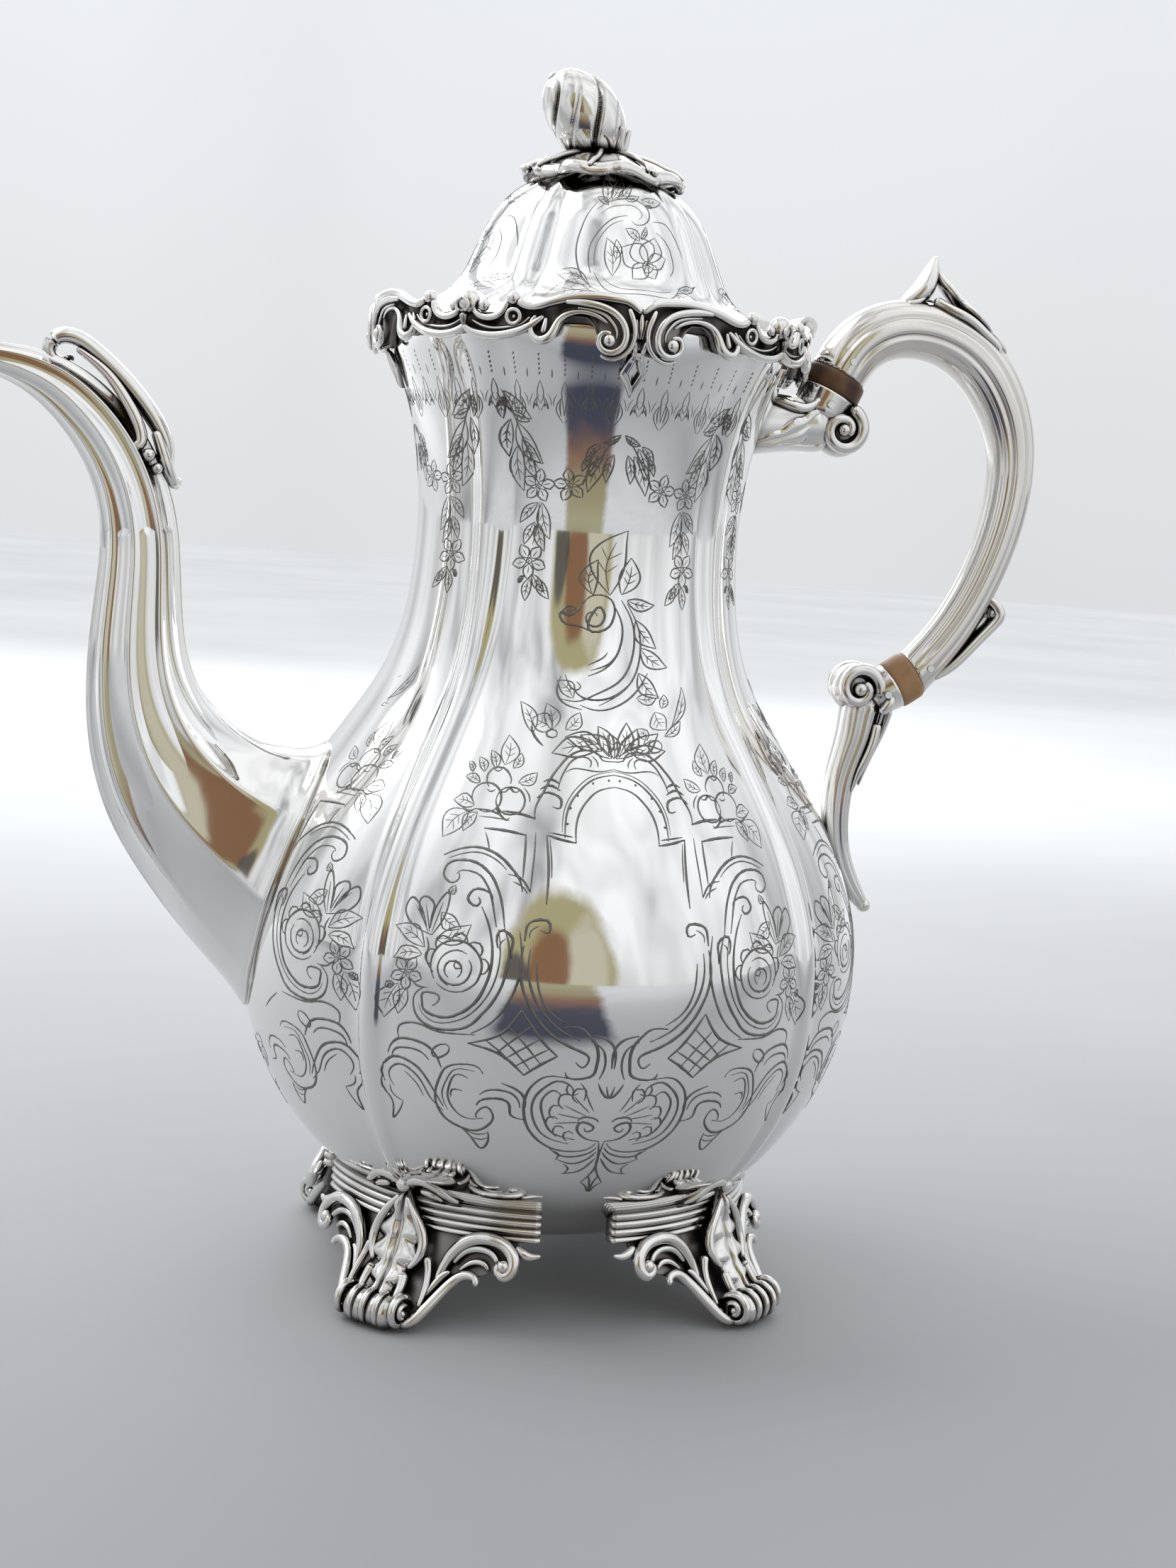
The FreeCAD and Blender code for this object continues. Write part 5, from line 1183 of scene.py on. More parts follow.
# raised midribs and curled tips of the leaves
for k in range(8):
    a = 22.5 + 45 * k
    tq = np.linspace(.2, .98, 8)
    Rk = np.minimum(tq * np.interp(a % 360, np.append(ph2, 360), np.append(edge, edge[0])), 19.3)
    zk = 259.5 - 1.0 * tq - 5.2 * tq ** 3.2 + 0.9 * np.exp(-((tq - 0.93) / 0.08) ** 2)
    b.add(*tube(np.column_stack([Rk * np.cos(rad(a + 6 * np.sin(3 * tq))), Rk * np.sin(rad(a + 6 * np.sin(3 * tq))), zk]), [.5, .7, .75, .7, .6, .55, .6, .4], 22, 8))
for a, R, z, r in ((180, 17.6, 254.4, 1.5), (168, 16.4, 255.4, 1.2), (194, 17.0, 255.0, 1.1), (203, 15.2, 256.4, .9), (205, 18.0, 253.4, 1.0), (0, 18.2, 252.8, 1.2), (-16, 18.0, 253.2, 1.0), (300, 17.2, 254.2, 1.1), (252, 17.3, 254.3, 1.0)):
    b.add(*ball((R * math.cos(rad(a)), R * math.sin(rad(a)), z), r, 12, 8, (1, 1, .7)))
piece("calyx_leaves", b, M_CAST, "lid", replaces=("finial_calyx",))

# bud of furled petals, leaning toward the spout
b = Build()
BUD = [(2.4, -0.6), (3.4, 0.6), (5.5, 2.4), (7.2, 5.0), (8.1, 8.2), (8.3, 11.2), (7.8, 14.2), (6.8, 17.0), (5.3, 19.4), (3.6, 21.0), (1.4, 21.8)]
bs = spline(BUD, 70)
NB = 150
pb = np.linspace(0, 360, NB, endpoint=False)
lean = math.radians(44)
ax = np.array([-math.sin(lean), 0, math.cos(lean)])
e1 = np.array([math.cos(lean), 0, math.sin(lean)])
e2 = np.array([0, -1.0, 0])
org = np.array([2.4, 0, 259.6])
A = []
for r, h in bs:
    t = (h + .6) / 22.8
    s = ((pb + 205 * t + 70) / 120.0) % 1.0
    step = 0.055 * (s - 0.5) * min(1, 4 * t * (1 - t) + .25)
    gr = 0.20 * np.exp(-((np.minimum(s, 1 - s)) / 0.045) ** 2) * min(1, 3.2 * t + .1) * min(1, (1.02 - t) * 5)
    s2 = ((pb + 205 * t + 128) / 120.0) % 1.0
    gr2 = 0.07 * np.exp(-((np.minimum(s2, 1 - s2)) / 0.03) ** 2) * math.sin(PI * min(max(t, 0), 1))
    rr = r * (1 + step - gr - gr2 - 0.012)
    A.append(org + ax * h + rr[:, None] * (np.cos(rad(pb))[:, None] * e1 + np.sin(rad(pb))[:, None] * e2))
A = np.array(A)
V = A.reshape(-1, 3)
n0 = len(V)
V = np.concatenate([V, [org + ax * bs[0, 1], org + ax * (bs[-1, 1] + .1)]])
b.add(V, [quads(len(A), NB), fan(n0, np.arange(NB), True), fan(n0 + 1, np.arange(NB) + (len(A) - 1) * NB)])
# stalk, its sepals and the nib at the tip
b.add(*tube([(0.2, 0, 258.6), (0.6, 0, 260.2), (0.9, 0, 262.0)], [3.4, 3.0, 3.1], 14, 24))
for a_ in (20, 110, 200, 290):
    c_, s_ = math.cos(rad(a_)), math.sin(rad(a_))
    P = [(1.0 + 2.2 * c_, 2.2 * s_, 259.2), (1.2 + 3.2 * c_, 3.2 * s_, 260.8), (0.6 + 4.8 * c_, 4.8 * s_, 262.4 + 0.6 * c_), (0.2 + 6.4 * c_, 6.4 * s_, 264.4 + 1.4 * c_)]
    b.add(*tube(P, [.9, 1.2, 1.0, .35], 20, 9))
tip = org + ax * 21.6
b.add(*tube([tip + e1 * -1.2 - ax * 1.2, tip - e1 * .2 + ax * .2, tip + e1 * 1.0 - ax * .6], [.7, .9, .5], 12, 10))
M_BUD = polished("cast_silver_bud", (0.90, 0.885, 0.86), (0.78, 0.765, 0.74), 0.06, 0.18, (0.0022, 0.45, 0.95, (0.05, 0.044, 0.04)), 0.2)
piece("bud_petals", b, M_BUD, "lid", replaces=("finial_bud",))

# ------------------------------------------------------------------ finishes of the CAD pieces that stay
for nm, m in (("base_disc", M_SILVER), ("body_hinge_plate", M_FITTING), ("hinge_pin", M_FITTING), ("handle_pins", M_FITTING), ("lid_bezel", M_INSIDE),
              ("lid_hinge_leaf", M_FITTING), ("finial_stud", M_FITTING), ("finial_washer", M_FITTING), ("finial_nut", M_FITTING)):
    ob = frame["nodes"][nm] if isinstance(frame["nodes"], dict) else [o for o in frame["nodes"] if o.name == nm][0]
    if not ob.material_slots:
        ob.data.materials.append(m)
    for s_ in ob.material_slots:
        s_.material = m

# ------------------------------------------------------------------ engraving: each stroke is (width in mm, [azimuth, height, ...])
LOW = [
(0.42,[0.3,124.4,-3.7,123.7,-7.3,121.5,-9.6,118.6,-10.5,115.5,-10.5,111.7]),
(0.42,[0.1,122,-3,121.4,-5.8,119.5,-7.6,117,-8.4,113.9,-8.3,110.8]),
(0.25,[0.3,125.1,-4.1,124.3,-7.7,122.2,-10.2,119.1,-11.1,115.8,-11.1,112.7]),
(0.5,[-10,117.6,-9.4,117.4]),
(0.5,[-8.5,120.1,-8,119.9]),
(0.5,[-5.1,122.6,-4.6,122.5]),
(0.5,[-1.5,123.3,-1,123.2]),
(0.5,[-10.4,114.5,-9.9,114.3]),
(0.5,[-8.2,110.8,-11.3,111.3,-14.1,112]),
(0.35,[-8.9,111.9,-10.5,112.1,-13.7,112.5]),
(0.5,[-14.1,112,-13.4,107.7,-13.1,103.7,-13.1,98.5]),
(0.3,[-13.4,111.2,-12.8,107.4,-12.5,103.7]),
(0.45,[-18.2,111.8,-17.9,108.8,-17.8,106,-17.7,103.3]),
(0.3,[-16.3,112.3,-16.1,108.9,-16.1,104.1,-16.1,100.6]),
(0.55,[-23.7,115.8,-20,115.6,-16.6,114.9]),
(0.4,[-30.1,115.6,-26.7,115.6,-23.5,114.8]),
(0.55,[-26.9,112.1,-22.6,112.1,-18.3,111.6]),
(0.25,[-28.6,114.3,-24.9,114.3,-21.9,114.1]),
(0.3,[-26.4,111.4,-25.4,109.4,-24.9,108.1]),
(0.5,[0.3,127,-2.3,127.1,-3.5,128.4,-6.6,129,-10.2,127.8,-12.7,125.4,-14.4,123,-15.4,120.7,-16.5,118.5,-17,116.5,-16.8,114.9]),
(0.4,[-5.5,125.7,-5.5,127.2,-7.2,127.7,-9.4,127,-11.1,125.1,-12.1,123.1,-12.5,121.2]),
(0.3,[-3.6,125.8,-3.9,127,-5.1,127.9]),
(0.5,[-15.9,122.2,-14.3,122.8,-12.2,122]),
(0.5,[-16.4,120.7,-14.4,121.6,-12,120.7]),
(0.5,[-16.9,118.9,-14.8,120.2,-12.4,119.6,-11.6,118.3,-12.2,117.2,-13.4,117.5]),
(0.3,[-11,124.4,-9.4,125.2,-7,125.2,-3.7,124.9,0.1,125.5]),
(0.42,[-31.2,117.3,-31.5,118.6,-31.1,119.8,-30.1,120.6,-28.6,121,-27,120.8,-25.6,120,-24.8,118.9,-24.6,117.6,-25,116.4,-26.1,115.6,-27.4,115.2,-28.9,115.5]),
(0.42,[-25.7,118.1,-25.4,119.3,-24.5,120.2,-23.1,120.6,-21.6,120.5,-20.3,119.8,-19.5,118.7,-19.4,117.4,-19.8,116.3,-20.9,115.5,-22.2,115.2,-23.6,115.4,-24.8,116.2,-25.6,117.3,-25.7,118.6]),
(0.4,[-28,120.2,-28.7,120.9,-29,121.7,-29.1,122.5,-28.7,123.3,-28.1,123.9,-27.2,124.2,-26.2,124.3,-25.1,124,-24.3,123.5,-23.6,122.8,-23.2,122,-23.2,121.2]),
(0.4,[-25.6,119.9,-24.2,119.4,-23.2,120.4,-21.9,119.6,-20.7,120.3]),
(0.3,[-28.3,124,-26.8,123.4,-25.7,124.5]),
(0.35,[-28.4,119.7,-27.3,119.3,-26.4,119.8]),
(0.3,[-20.1,120.7,-18.7,119.4,-18.3,118]),
(0.3,[-30.4,120.8,-31.3,122,-32.5,122.5,-33.7,122.2,-34.5,121.6]),
(0.3,[-30.4,120.8,-31.5,120.6,-32.7,120.8,-33.7,121.3,-34.5,121.6]),
(0.21,[-30.6,120.9,-32,121.5,-33.5,121.7]),
(0.165,[-31.6,121.4,-32.2,122.1]),
(0.165,[-31.6,121.4,-32.3,121]),
(0.165,[-32.4,121.6,-33,122.3]),
(0.165,[-32.4,121.6,-33.1,121.2]),
(0.3,[-30.1,123,-29.6,124.1,-30,125.1,-31.3,125.6,-32.4,125.8]),
(0.3,[-30.1,123,-31,123.5,-31.8,124.3,-32.2,125.2,-32.4,125.8]),
(0.21,[-30.1,123.2,-30.6,124.3,-31.6,125.3]),
(0.165,[-30.4,124,-30.2,124.7]),
(0.165,[-30.4,124,-31.3,124.2]),
(0.165,[-30.8,124.5,-30.7,125.2]),
(0.165,[-30.8,124.5,-31.8,124.7]),
(0.3,[-27.4,123.9,-26.8,125.2,-27.2,126.4,-28.6,127.1,-29.8,127.4]),
(0.3,[-27.4,123.9,-28.4,124.6,-29.2,125.7,-29.6,126.7,-29.8,127.4]),
(0.21,[-27.4,124.1,-27.9,125.5,-28.9,126.8]),
(0.165,[-27.7,125.1,-27.4,125.9]),
(0.165,[-27.7,125.1,-28.6,125.5]),
(0.165,[-28.1,125.8,-27.9,126.6]),
(0.165,[-28.1,125.8,-29.2,126.2]),
(0.3,[-25.5,124.8,-23.2,126.2,-22.6,127.9,-24.3,129.6,-26.1,130.8]),
(0.3,[-25.5,124.8,-26.8,126.3,-27.2,128.1,-26.6,129.7,-26.1,130.8]),
(0.21,[-25.4,125.1,-24.9,127.1,-25.3,129.4]),
(0.165,[-24.9,126.6,-23.5,127.4]),
(0.165,[-24.9,126.6,-26.3,127.6]),
(0.165,[-24.9,127.7,-23.6,128.6]),
(0.165,[-24.9,127.7,-26.5,128.8]),
(0.3,[-23.3,124.3,-21.8,124.7,-21.1,125.6,-21.4,126.7,-22,127.5]),
(0.3,[-23.3,124.3,-23.4,125.2,-23.1,126.2,-22.5,127,-22,127.5]),
(0.21,[-23.1,124.4,-22.3,125.4,-22,126.7]),
(0.165,[-22.5,125.1,-21.6,125.4]),
(0.165,[-22.5,125.1,-22.9,125.8]),
(0.165,[-22.2,125.7,-21.4,126.1]),
(0.165,[-22.2,125.7,-22.7,126.5]),
(0.3,[-21.5,121.6,-19.6,121.1,-18.2,121.5,-17.6,122.7,-17.5,123.9]),
(0.3,[-21.5,121.6,-20.8,122.6,-19.7,123.3,-18.4,123.7,-17.5,123.9]),
(0.21,[-21.2,121.6,-19.6,122.1,-18.1,123.1]),
(0.165,[-20,121.9,-18.9,121.7]),
(0.165,[-20,121.9,-19.8,122.8]),
(0.165,[-19.1,122.3,-18.1,122.1]),
(0.165,[-19.1,122.3,-19,123.3]),
(0.3,[-30.3,116.2,-31.7,117.8,-33.3,118.4,-34.7,117.6,-35.6,116.7]),
(0.3,[-30.3,116.2,-31.6,115.7,-33.1,115.7,-34.6,116.3,-35.6,116.7]),
(0.21,[-30.6,116.4,-32.4,117,-34.4,117]),
(0.165,[-31.9,116.8,-32.8,117.8]),
(0.165,[-31.9,116.8,-32.7,116.2]),
(0.165,[-33,117,-33.9,117.9]),
(0.165,[-33,117,-33.8,116.2]),
(0.3,[-31.2,115.1,-34.6,115.2,-36.6,113.8,-36.3,111.4,-35.5,109.3]),
(0.3,[-31.2,115.1,-31.3,113,-32.4,111.2,-34.2,110,-35.5,109.3]),
(0.21,[-31.6,114.9,-33.8,113.4,-35.1,111]),
(0.165,[-33.2,113.9,-35.4,113.9]),
(0.165,[-33.2,113.9,-32.8,112.2]),
(0.165,[-34.2,112.8,-36.1,112.6]),
(0.165,[-34.2,112.8,-33.5,111]),
(0.3,[-29.2,115,-31.1,114.7,-32.1,113.7,-31.8,112.2,-31.3,111]),
(0.3,[-29.2,115,-29.2,113.7,-29.7,112.5,-30.7,111.6,-31.3,111]),
(0.21,[-29.4,114.8,-30.6,113.7,-31.2,112.1]),
(0.165,[-30.3,114,-31.5,113.8]),
(0.165,[-30.3,114,-30,113.1]),
(0.165,[-30.8,113.3,-31.8,113]),
(0.165,[-30.8,113.3,-30.4,112.3]),
(0.3,[-33,122.7,-32.7,123.6,-33.1,124.3,-34.1,124.7,-34.9,124.8]),
(0.3,[-33,122.7,-33.7,123.1,-34.3,123.7,-34.7,124.4,-34.9,124.8]),
(0.21,[-33,122.8,-33.4,123.7,-34.3,124.4]),
(0.165,[-33.3,123.5,-33.2,124]),
(0.165,[-33.3,123.5,-33.9,123.6]),
(0.165,[-33.6,123.9,-33.6,124.4]),
(0.165,[-33.6,123.9,-34.3,124.1]),
(0.45,[-32.9,115.6,-31.3,115,-29.8,115.7]),
(0.45,[-25.4,116.4,-24.2,115.1,-22.6,114.1,-22,114.6]),
(0.5,[-34.1,105.8,-31.2,107.4,-27.2,108.3,-23.6,107.5,-20.5,105.4,-18.3,102.9,-17.5,100.5]),
(0.3,[-32.8,105.4,-30.3,106.6,-27,107.3,-23.7,106.5,-20.9,104.5]),
(0.5,[-30,102.8,-29.9,101.5,-31.1,100.7,-32.6,101.4,-33.1,103.1,-31.7,105,-28.3,105.5,-25,104.3,-22.4,101.4,-20.8,97.4,-20,93.3]),
(0.4,[-30.4,102.6,-29.6,103.4,-27.2,103.4,-24.7,101.9,-23.1,99.2,-22.1,95.9,-21.4,93.1]),
(0.4,[-20.5,103.7,-18.8,103.5,-17.2,102.3,-16.1,100.6]),
(0.3,[-19.5,102.4,-17.8,101.7,-16.6,100.3]),
(0.5,[-22.7,98.6,-23.7,99.9,-25.7,100.3,-27.1,99.1,-27,97.5,-25.7,96.8,-24.9,97.6,-25.4,98.6]),
(0.55,[-24.5,96.8,-22.9,93.7,-21.8,89.5,-21.6,85.3,-22.4,80.8,-24.2,76.9,-26.8,74.4,-29.9,73.2,-32.6,73.7,-33.7,75.9,-33,78,-31.2,78,-30.7,76.2,-31.6,75.3]),
(0.5,[-20,93.3,-18.8,89.2,-19,84.2,-20.4,78.9,-23.2,74.1,-26.7,71.2,-30.8,70.6,-34,71.9,-35.4,74.7,-35.1,77.3,-33.4,79]),
(0.3,[-21,92.8,-20.3,89,-20.4,84.4,-21.7,79.4,-24.4,75,-27.7,72.6,-30.8,71.9,-33.2,73,-34.3,75.1]),
(0.45,[-17.3,92.9,-16.5,87.3,-17,82.2,-18.8,76.8,-21.6,72.8,-24.3,70.7]),
(0.5,[-20.7,89,-21.1,91.2,-20.3,92.7,-18.9,92,-18.3,89.6,-18.3,87.1]),
(0.3,[-20.2,88,-20.2,90.4,-19.5,91.1]),
(0.55,[-16.3,90.1,-16.7,85.8,-15.6,80.2,-13.2,75.2,-10.1,71.6,-6.5,69.3,-4.8,68.4,-4.3,66.7,-5.2,65.4,-6.4,66.5]),
(0.45,[-15.2,89.5,-15.3,85.3,-14.2,80.3,-11.8,75.9,-8.8,72.9,-5.9,71.2]),
(0.4,[-13.9,87.5,-13.7,84,-12.9,80,-10.8,76.5,-8.5,74.7]),
(0.55,[-9,73.9,-6.7,74.1,-4.7,72.7,-3.3,70.6,-2.7,67.9,-2.9,65.2,-4.4,63.1,-6.8,62.8,-8,64.2]),
(0.5,[-3.9,72.5,-2.1,72,-0.5,70.7,0.2,68.4,0.2,65.3]),
(0.4,[-4.1,71.2,-2.6,70.2,-1.6,68.3,-1.5,65.3,-2.2,62.9]),
(0.5,[-16.3,90.9,-16.2,93.3,-15,95.2,-13.2,95.5,-12.1,94.2,-12.7,92.9,-13.8,93.4]),
(0.3,[-15.5,91.6,-15.2,93.4,-14,94.2]),
(0.45,[-2.2,62,-1.4,60,-0.3,58.7,0.7,61.3]),
(0.35,[-5.2,61.9,-4.2,60.3,-4.3,57.9]),
(0.35,[-7,61.7,-7.5,60.2,-6.5,59,-5.4,59.6]),
(0.5,[-24.8,68.5,-20.3,70.5,-17.8,73.1,-15.9,76.8]),
(0.5,[-15.9,76.8,-13.6,72.9,-11.4,69.7,-9.5,67.6]),
(0.5,[-9.5,67.6,-12.1,65.6,-14.9,62.9]),
(0.5,[-14.9,62.9,-17.4,65.7,-20.5,67.6,-24.8,68.5]),
(0.34,[-17.8,73.1,-14.9,69.5,-12.2,65.6]),
(0.34,[-19.5,71.1,-16.5,67.8,-13.8,64]),
(0.34,[-21.8,69.8,-19.4,67.8,-17.1,65.4]),
(0.34,[-14,73.8,-16.8,70.6,-19.9,67]),
(0.34,[-12.5,71.1,-15.3,68.7,-18.4,66]),
(0.34,[-11,69,-13.7,67,-16.7,64.5]),
(0.5,[-7.5,62.9,-10.2,63.2,-12.5,61.9,-14.2,58.8,-14.6,54.5,-13.4,50.1,-10.8,47.1,-7.3,45.6,-3.6,45.7,-1,47.7]),
(0.45,[-6.4,59.3,-6.9,61.3,-8.8,62.2,-10.9,60.9,-12.8,58.1,-13.2,54.7,-12.1,51,-9.5,48.4,-6.1,47.4]),
(0.45,[-8.2,58.8,-9.6,60,-11,58.8,-11.6,55.8,-10.7,52.3,-8.5,49.5,-5.1,48.5]),
(0.36,[-5.3,57.3,-6,58,-6.4,59,-6.1,60.1,-5.5,60.7,-4.6,60.7,-3.9,60]),
(0.36,[-7.7,55.9,-8.4,56.5,-8.7,57.6,-8.5,58.7,-7.8,59.3,-6.9,59.3,-6.2,58.5]),
(0.36,[-9.2,53.4,-9.9,54,-10.1,55,-9.9,56,-9.3,56.6,-8.5,56.6,-7.9,55.9]),
(0.36,[-9.8,50.9,-10.4,51.5,-10.6,52.4,-10.4,53.3,-9.8,53.9,-9.1,53.9,-8.5,53.3]),
(0.36,[-8.4,49.1,-9,49.6,-9.2,50.4,-9,51.3,-8.5,51.8,-7.9,51.7,-7.3,51.2]),
(0.36,[-6.5,48.1,-7,48.6,-7.2,49.3,-7.1,50.1,-6.6,50.6,-6,50.5,-5.5,50]),
(0.26,[-2.3,55.5,-3.2,57.3,-4,59.6]),
(0.26,[-3.1,55.2,-4.5,56.8,-6,58.8]),
(0.26,[-3.6,54.4,-5.6,55.5,-7.6,56.7]),
(0.26,[-4,53.6,-6.4,54.1,-8.7,54.6]),
(0.26,[-4.1,52.8,-6.6,52.6,-9,52.3]),
(0.5,[-0.5,48.2,-2.5,48.6,-4.2,49.8,-4.9,51.6,-4,52.9,-2.6,52.4,-2.1,51,-3,50.5,-3.6,51.4]),
(0.4,[-1.2,53,-2.5,54,-3.9,54.1,-4.9,53]),
(0.42,[-9.7,46.3,-6.1,44.1,-2.9,44.7,-0.7,46.7]),
(0.42,[-7.9,43.3,-4.8,42.3,-2.2,43.5,-0.6,45.5]),
(0.42,[-6.6,39.5,-4,40,-1.9,41.7,-0.5,43.9]),
(0.45,[-0.5,48.2,-0,44.1,-0.4,40.3,-2.3,37.2]),
(0.45,[-2.3,37.2,-1.1,36.3,-0.2,34.5,0.3,36.9,1.1,39.3]),
(0.35,[-8.9,45.5,-7.7,44.8,-8.1,43.3]),
(0.35,[-6.6,42.2,-5.4,41.1,-6.2,39.5]),
(0.5,[-14.5,52.6,-16.3,53,-17.1,55.2,-18.7,57,-21.4,56.6,-23.1,54.8]),
(0.4,[-15.3,55.3,-15.8,57.4,-17.9,58.9,-20.2,58.9,-22.5,57.4]),
(0.5,[-18.6,60.6,-16.3,59.7,-14.7,57.9,-14.4,55.5]),
(0.5,[-21.9,62.2,-23.8,63.9,-26.9,63.5,-29.7,60.6,-31,56.1,-30.3,52.1,-27.4,49.4,-24,48.6,-21.1,50.3,-20.1,53,-21.3,54.7,-22.9,53.4,-22.8,51.7,-21.9,51.9]),
(0.4,[-24.6,60.8,-26.2,61.4,-28,59,-28.5,55.8,-27.5,53.2,-24.9,51.4,-23.2,51.5]),
(0.35,[-25.7,57.7,-27,57.9,-27.9,55.9]),
(0.3,[-23.4,62.5,-25.9,62.7,-28.4,60.2,-29.6,56.2,-28.7,52.8]),
(0.45,[-27,49.6,-24.4,46.9,-22.5,44.4,-21.3,45.9,-21.1,48.9]),
(0.3,[-25.7,48.7,-23.4,47.8,-21.1,48.5]),
(0.3,[-24.4,46.9,-22.7,46.6,-21.2,47.3]),
(0.5,[-42,56.4,-42.5,58.7,-41.1,61.4,-38.5,62.8,-35.4,62,-33,59.8,-31.2,56.7,-29.5,53.3]),
(0.4,[-39.8,55.7,-40.8,57.5,-40,60.1,-37.9,61.2,-35.5,60.2,-33.3,57.5,-31.9,54.7,-29.6,52.3]),
(0.5,[-40.8,63.1,-39.6,65.7,-37,67.2,-33.6,67,-30.9,65.2,-29.6,62.2]),
(0.4,[-38.2,66.8,-38.5,68.7,-37.2,70.4,-34.4,71,-30.8,70.1,-26.7,70.2,-23.6,70.5]),
(0.4,[-40,62,-37.7,65,-34.6,65.2,-32,63.4]),
(0.42,[-28.2,67.2,-28.1,66.5,-28.5,65.6,-29.2,64.9,-30.1,64.4,-30.9,64.4,-31.3,64.8,-31.4,65.5,-31,66.3,-30.2,67.1,-29.4,67.5,-28.6,67.6,-28.2,67.2]),
(0.4,[-42.5,57.5,-42.3,54.3,-40.7,51.7,-41.3,47.8,-39.3,50.2,-38.2,52.6]),
(0.35,[-40.9,55.8,-40.1,53.5,-38.2,52.6]),
(0.3,[-37.3,59.9,-35,57.9,-33.4,54.9]),
(0.4,[-33.1,89.8,-36.4,90.7,-39,92.6,-39.6,94.8,-38.6,96.6,-36.2,94.7,-34.5,91.3]),
(0.4,[-34.5,91.3,-36.2,94,-36.9,96.1,-35.9,97.3,-34.1,96.5,-33.7,94.3,-33.7,91.1]),
(0.4,[-33.7,91.1,-33.4,94.4,-32.5,97.3,-31.3,98.9,-30.9,95.5,-31.9,92.1,-33.1,89.8]),
(0.25,[-37.6,95.2,-35.7,93,-34,90.3]),
(0.25,[-35.5,95.8,-34.5,93.1,-33.7,90.4]),
(0.25,[-32,96.6,-32.6,93.4,-33.2,90.3]),
(0.42,[-31.7,81,-32.4,82.6,-32.6,84.4,-32.3,86.2,-31.5,87.7,-30.2,88.9,-28.7,89.5,-27.1,89.5,-25.6,88.9,-24.4,87.8,-23.5,86.3,-23.2,84.6,-23.5,82.8,-24.2,81.1,-25.4,79.9,-26.8,79.1,-28.4,78.9,-29.9,79.3,-31.2,80.3]),
(0.4,[-25.6,85.9,-25,84.7,-25.1,83.3,-25.6,81.9,-26.5,80.9,-27.6,80.4,-28.9,80.4,-30,81,-30.8,82,-31.2,83.4,-31,84.8,-30.4,86,-29.4,86.9]),
(0.38,[-29,81.7,-29.6,82.3,-29.9,83.3,-29.7,84.3,-29.2,85,-28.4,85.4,-27.6,85.2,-27,84.7,-26.7,83.8,-26.8,82.8,-27.4,82]),
(0.3,[-26.7,84.6,-26.9,84,-27.3,83.7,-27.9,83.8,-28.2,84.3,-28.1,84.9,-27.7,85.3,-27.2,85.3]),
(0.38,[-32.4,83.7,-33.2,84.1,-33.7,84.8,-33.8,85.7,-33.4,86.6,-32.6,87.1,-31.8,87]),
(0.38,[-31.7,87.2,-32.1,88,-32,89,-31.5,89.7,-30.8,90.1,-29.9,89.9,-29.3,89.3]),
(0.38,[-29.1,89.4,-28.9,90.3,-28.4,90.9,-27.6,91.1,-26.8,90.8,-26.3,90.1,-26.1,89.2]),
(0.38,[-26,89.1,-25.3,89.6,-24.5,89.7,-23.8,89.3,-23.4,88.5,-23.4,87.6,-23.8,86.8]),
(0.38,[-23.8,86.6,-23,86.5,-22.3,86,-22,85.1,-22.2,84.2,-22.7,83.5,-23.5,83.2]),
(0.3,[-30.7,85.5,-29.5,86.9,-27.7,87.6,-26,87]),
(0.3,[-31,83.2,-30.4,81.1,-28.9,80]),
(0.32,[-36.8,81.1,-36.4,80,-35.6,79.6,-34.7,80,-34.1,80.5]),
(0.32,[-36.8,81.1,-35.9,81.8,-35.1,81.9,-34.5,81.2,-34.1,80.5]),
(0.192,[-36.4,81,-35.1,80.7]),
(0.32,[-37.4,80.5,-38.2,79.6,-38.4,78.6,-37.8,77.8,-37.3,77.4]),
(0.32,[-37.4,80.5,-36.6,79.8,-36.3,78.9,-36.8,78,-37.3,77.4]),
(0.192,[-37.4,80,-37.3,78.5]),
(0.32,[-38,80.9,-39,81.4,-39.9,81.1,-40.5,80.2,-40.8,79.5]),
(0.32,[-38,80.9,-38.4,79.7,-39.2,79.1,-40.1,79.2,-40.8,79.5]),
(0.192,[-38.4,80.7,-39.8,80]),
(0.32,[-37.8,81.7,-37.6,82.9,-38,83.8,-38.9,84,-39.7,84]),
(0.32,[-37.8,81.7,-38.9,81.6,-39.7,82.2,-39.7,83.2,-39.7,84]),
(0.192,[-38.1,82,-39,83.2]),
(0.32,[-37.1,81.8,-36,82.1,-35.4,82.8,-35.4,83.8,-35.6,84.6]),
(0.32,[-37.1,81.8,-37.4,82.9,-37.1,83.9,-36.2,84.4,-35.6,84.6]),
(0.192,[-36.9,82.2,-36.1,83.6]),
(0.32,[-36.9,81.3,-37,80.8,-37.4,80.6,-37.8,80.7,-38,81.1,-37.9,81.6,-37.5,81.8,-37.1,81.7,-36.9,81.3]),
(0.224,[-37.2,81.2,-37.3,81,-37.5,81,-37.7,81.2,-37.6,81.4,-37.4,81.4,-37.2,81.2]),
(0.3,[-34.2,87.1,-35.1,89.8,-36.9,91.4,-39.3,91.1,-41.2,90.3]),
(0.3,[-34.2,87.1,-36.1,87.3,-38.3,88.1,-40,89.5,-41.2,90.3]),
(0.21,[-34.5,87.4,-36.6,89.2,-39.4,90.2]),
(0.165,[-35.9,88.8,-36.5,90.5]),
(0.165,[-35.9,88.8,-37.4,88.5]),
(0.165,[-37.2,89.6,-38,91]),
(0.165,[-37.2,89.6,-38.8,89]),
(0.3,[-34.6,85.5,-36.5,86.8,-38.4,86.7,-39.7,85.2,-40.6,83.7]),
(0.3,[-34.6,85.5,-35.9,84.6,-37.7,83.9,-39.4,83.8,-40.6,83.7]),
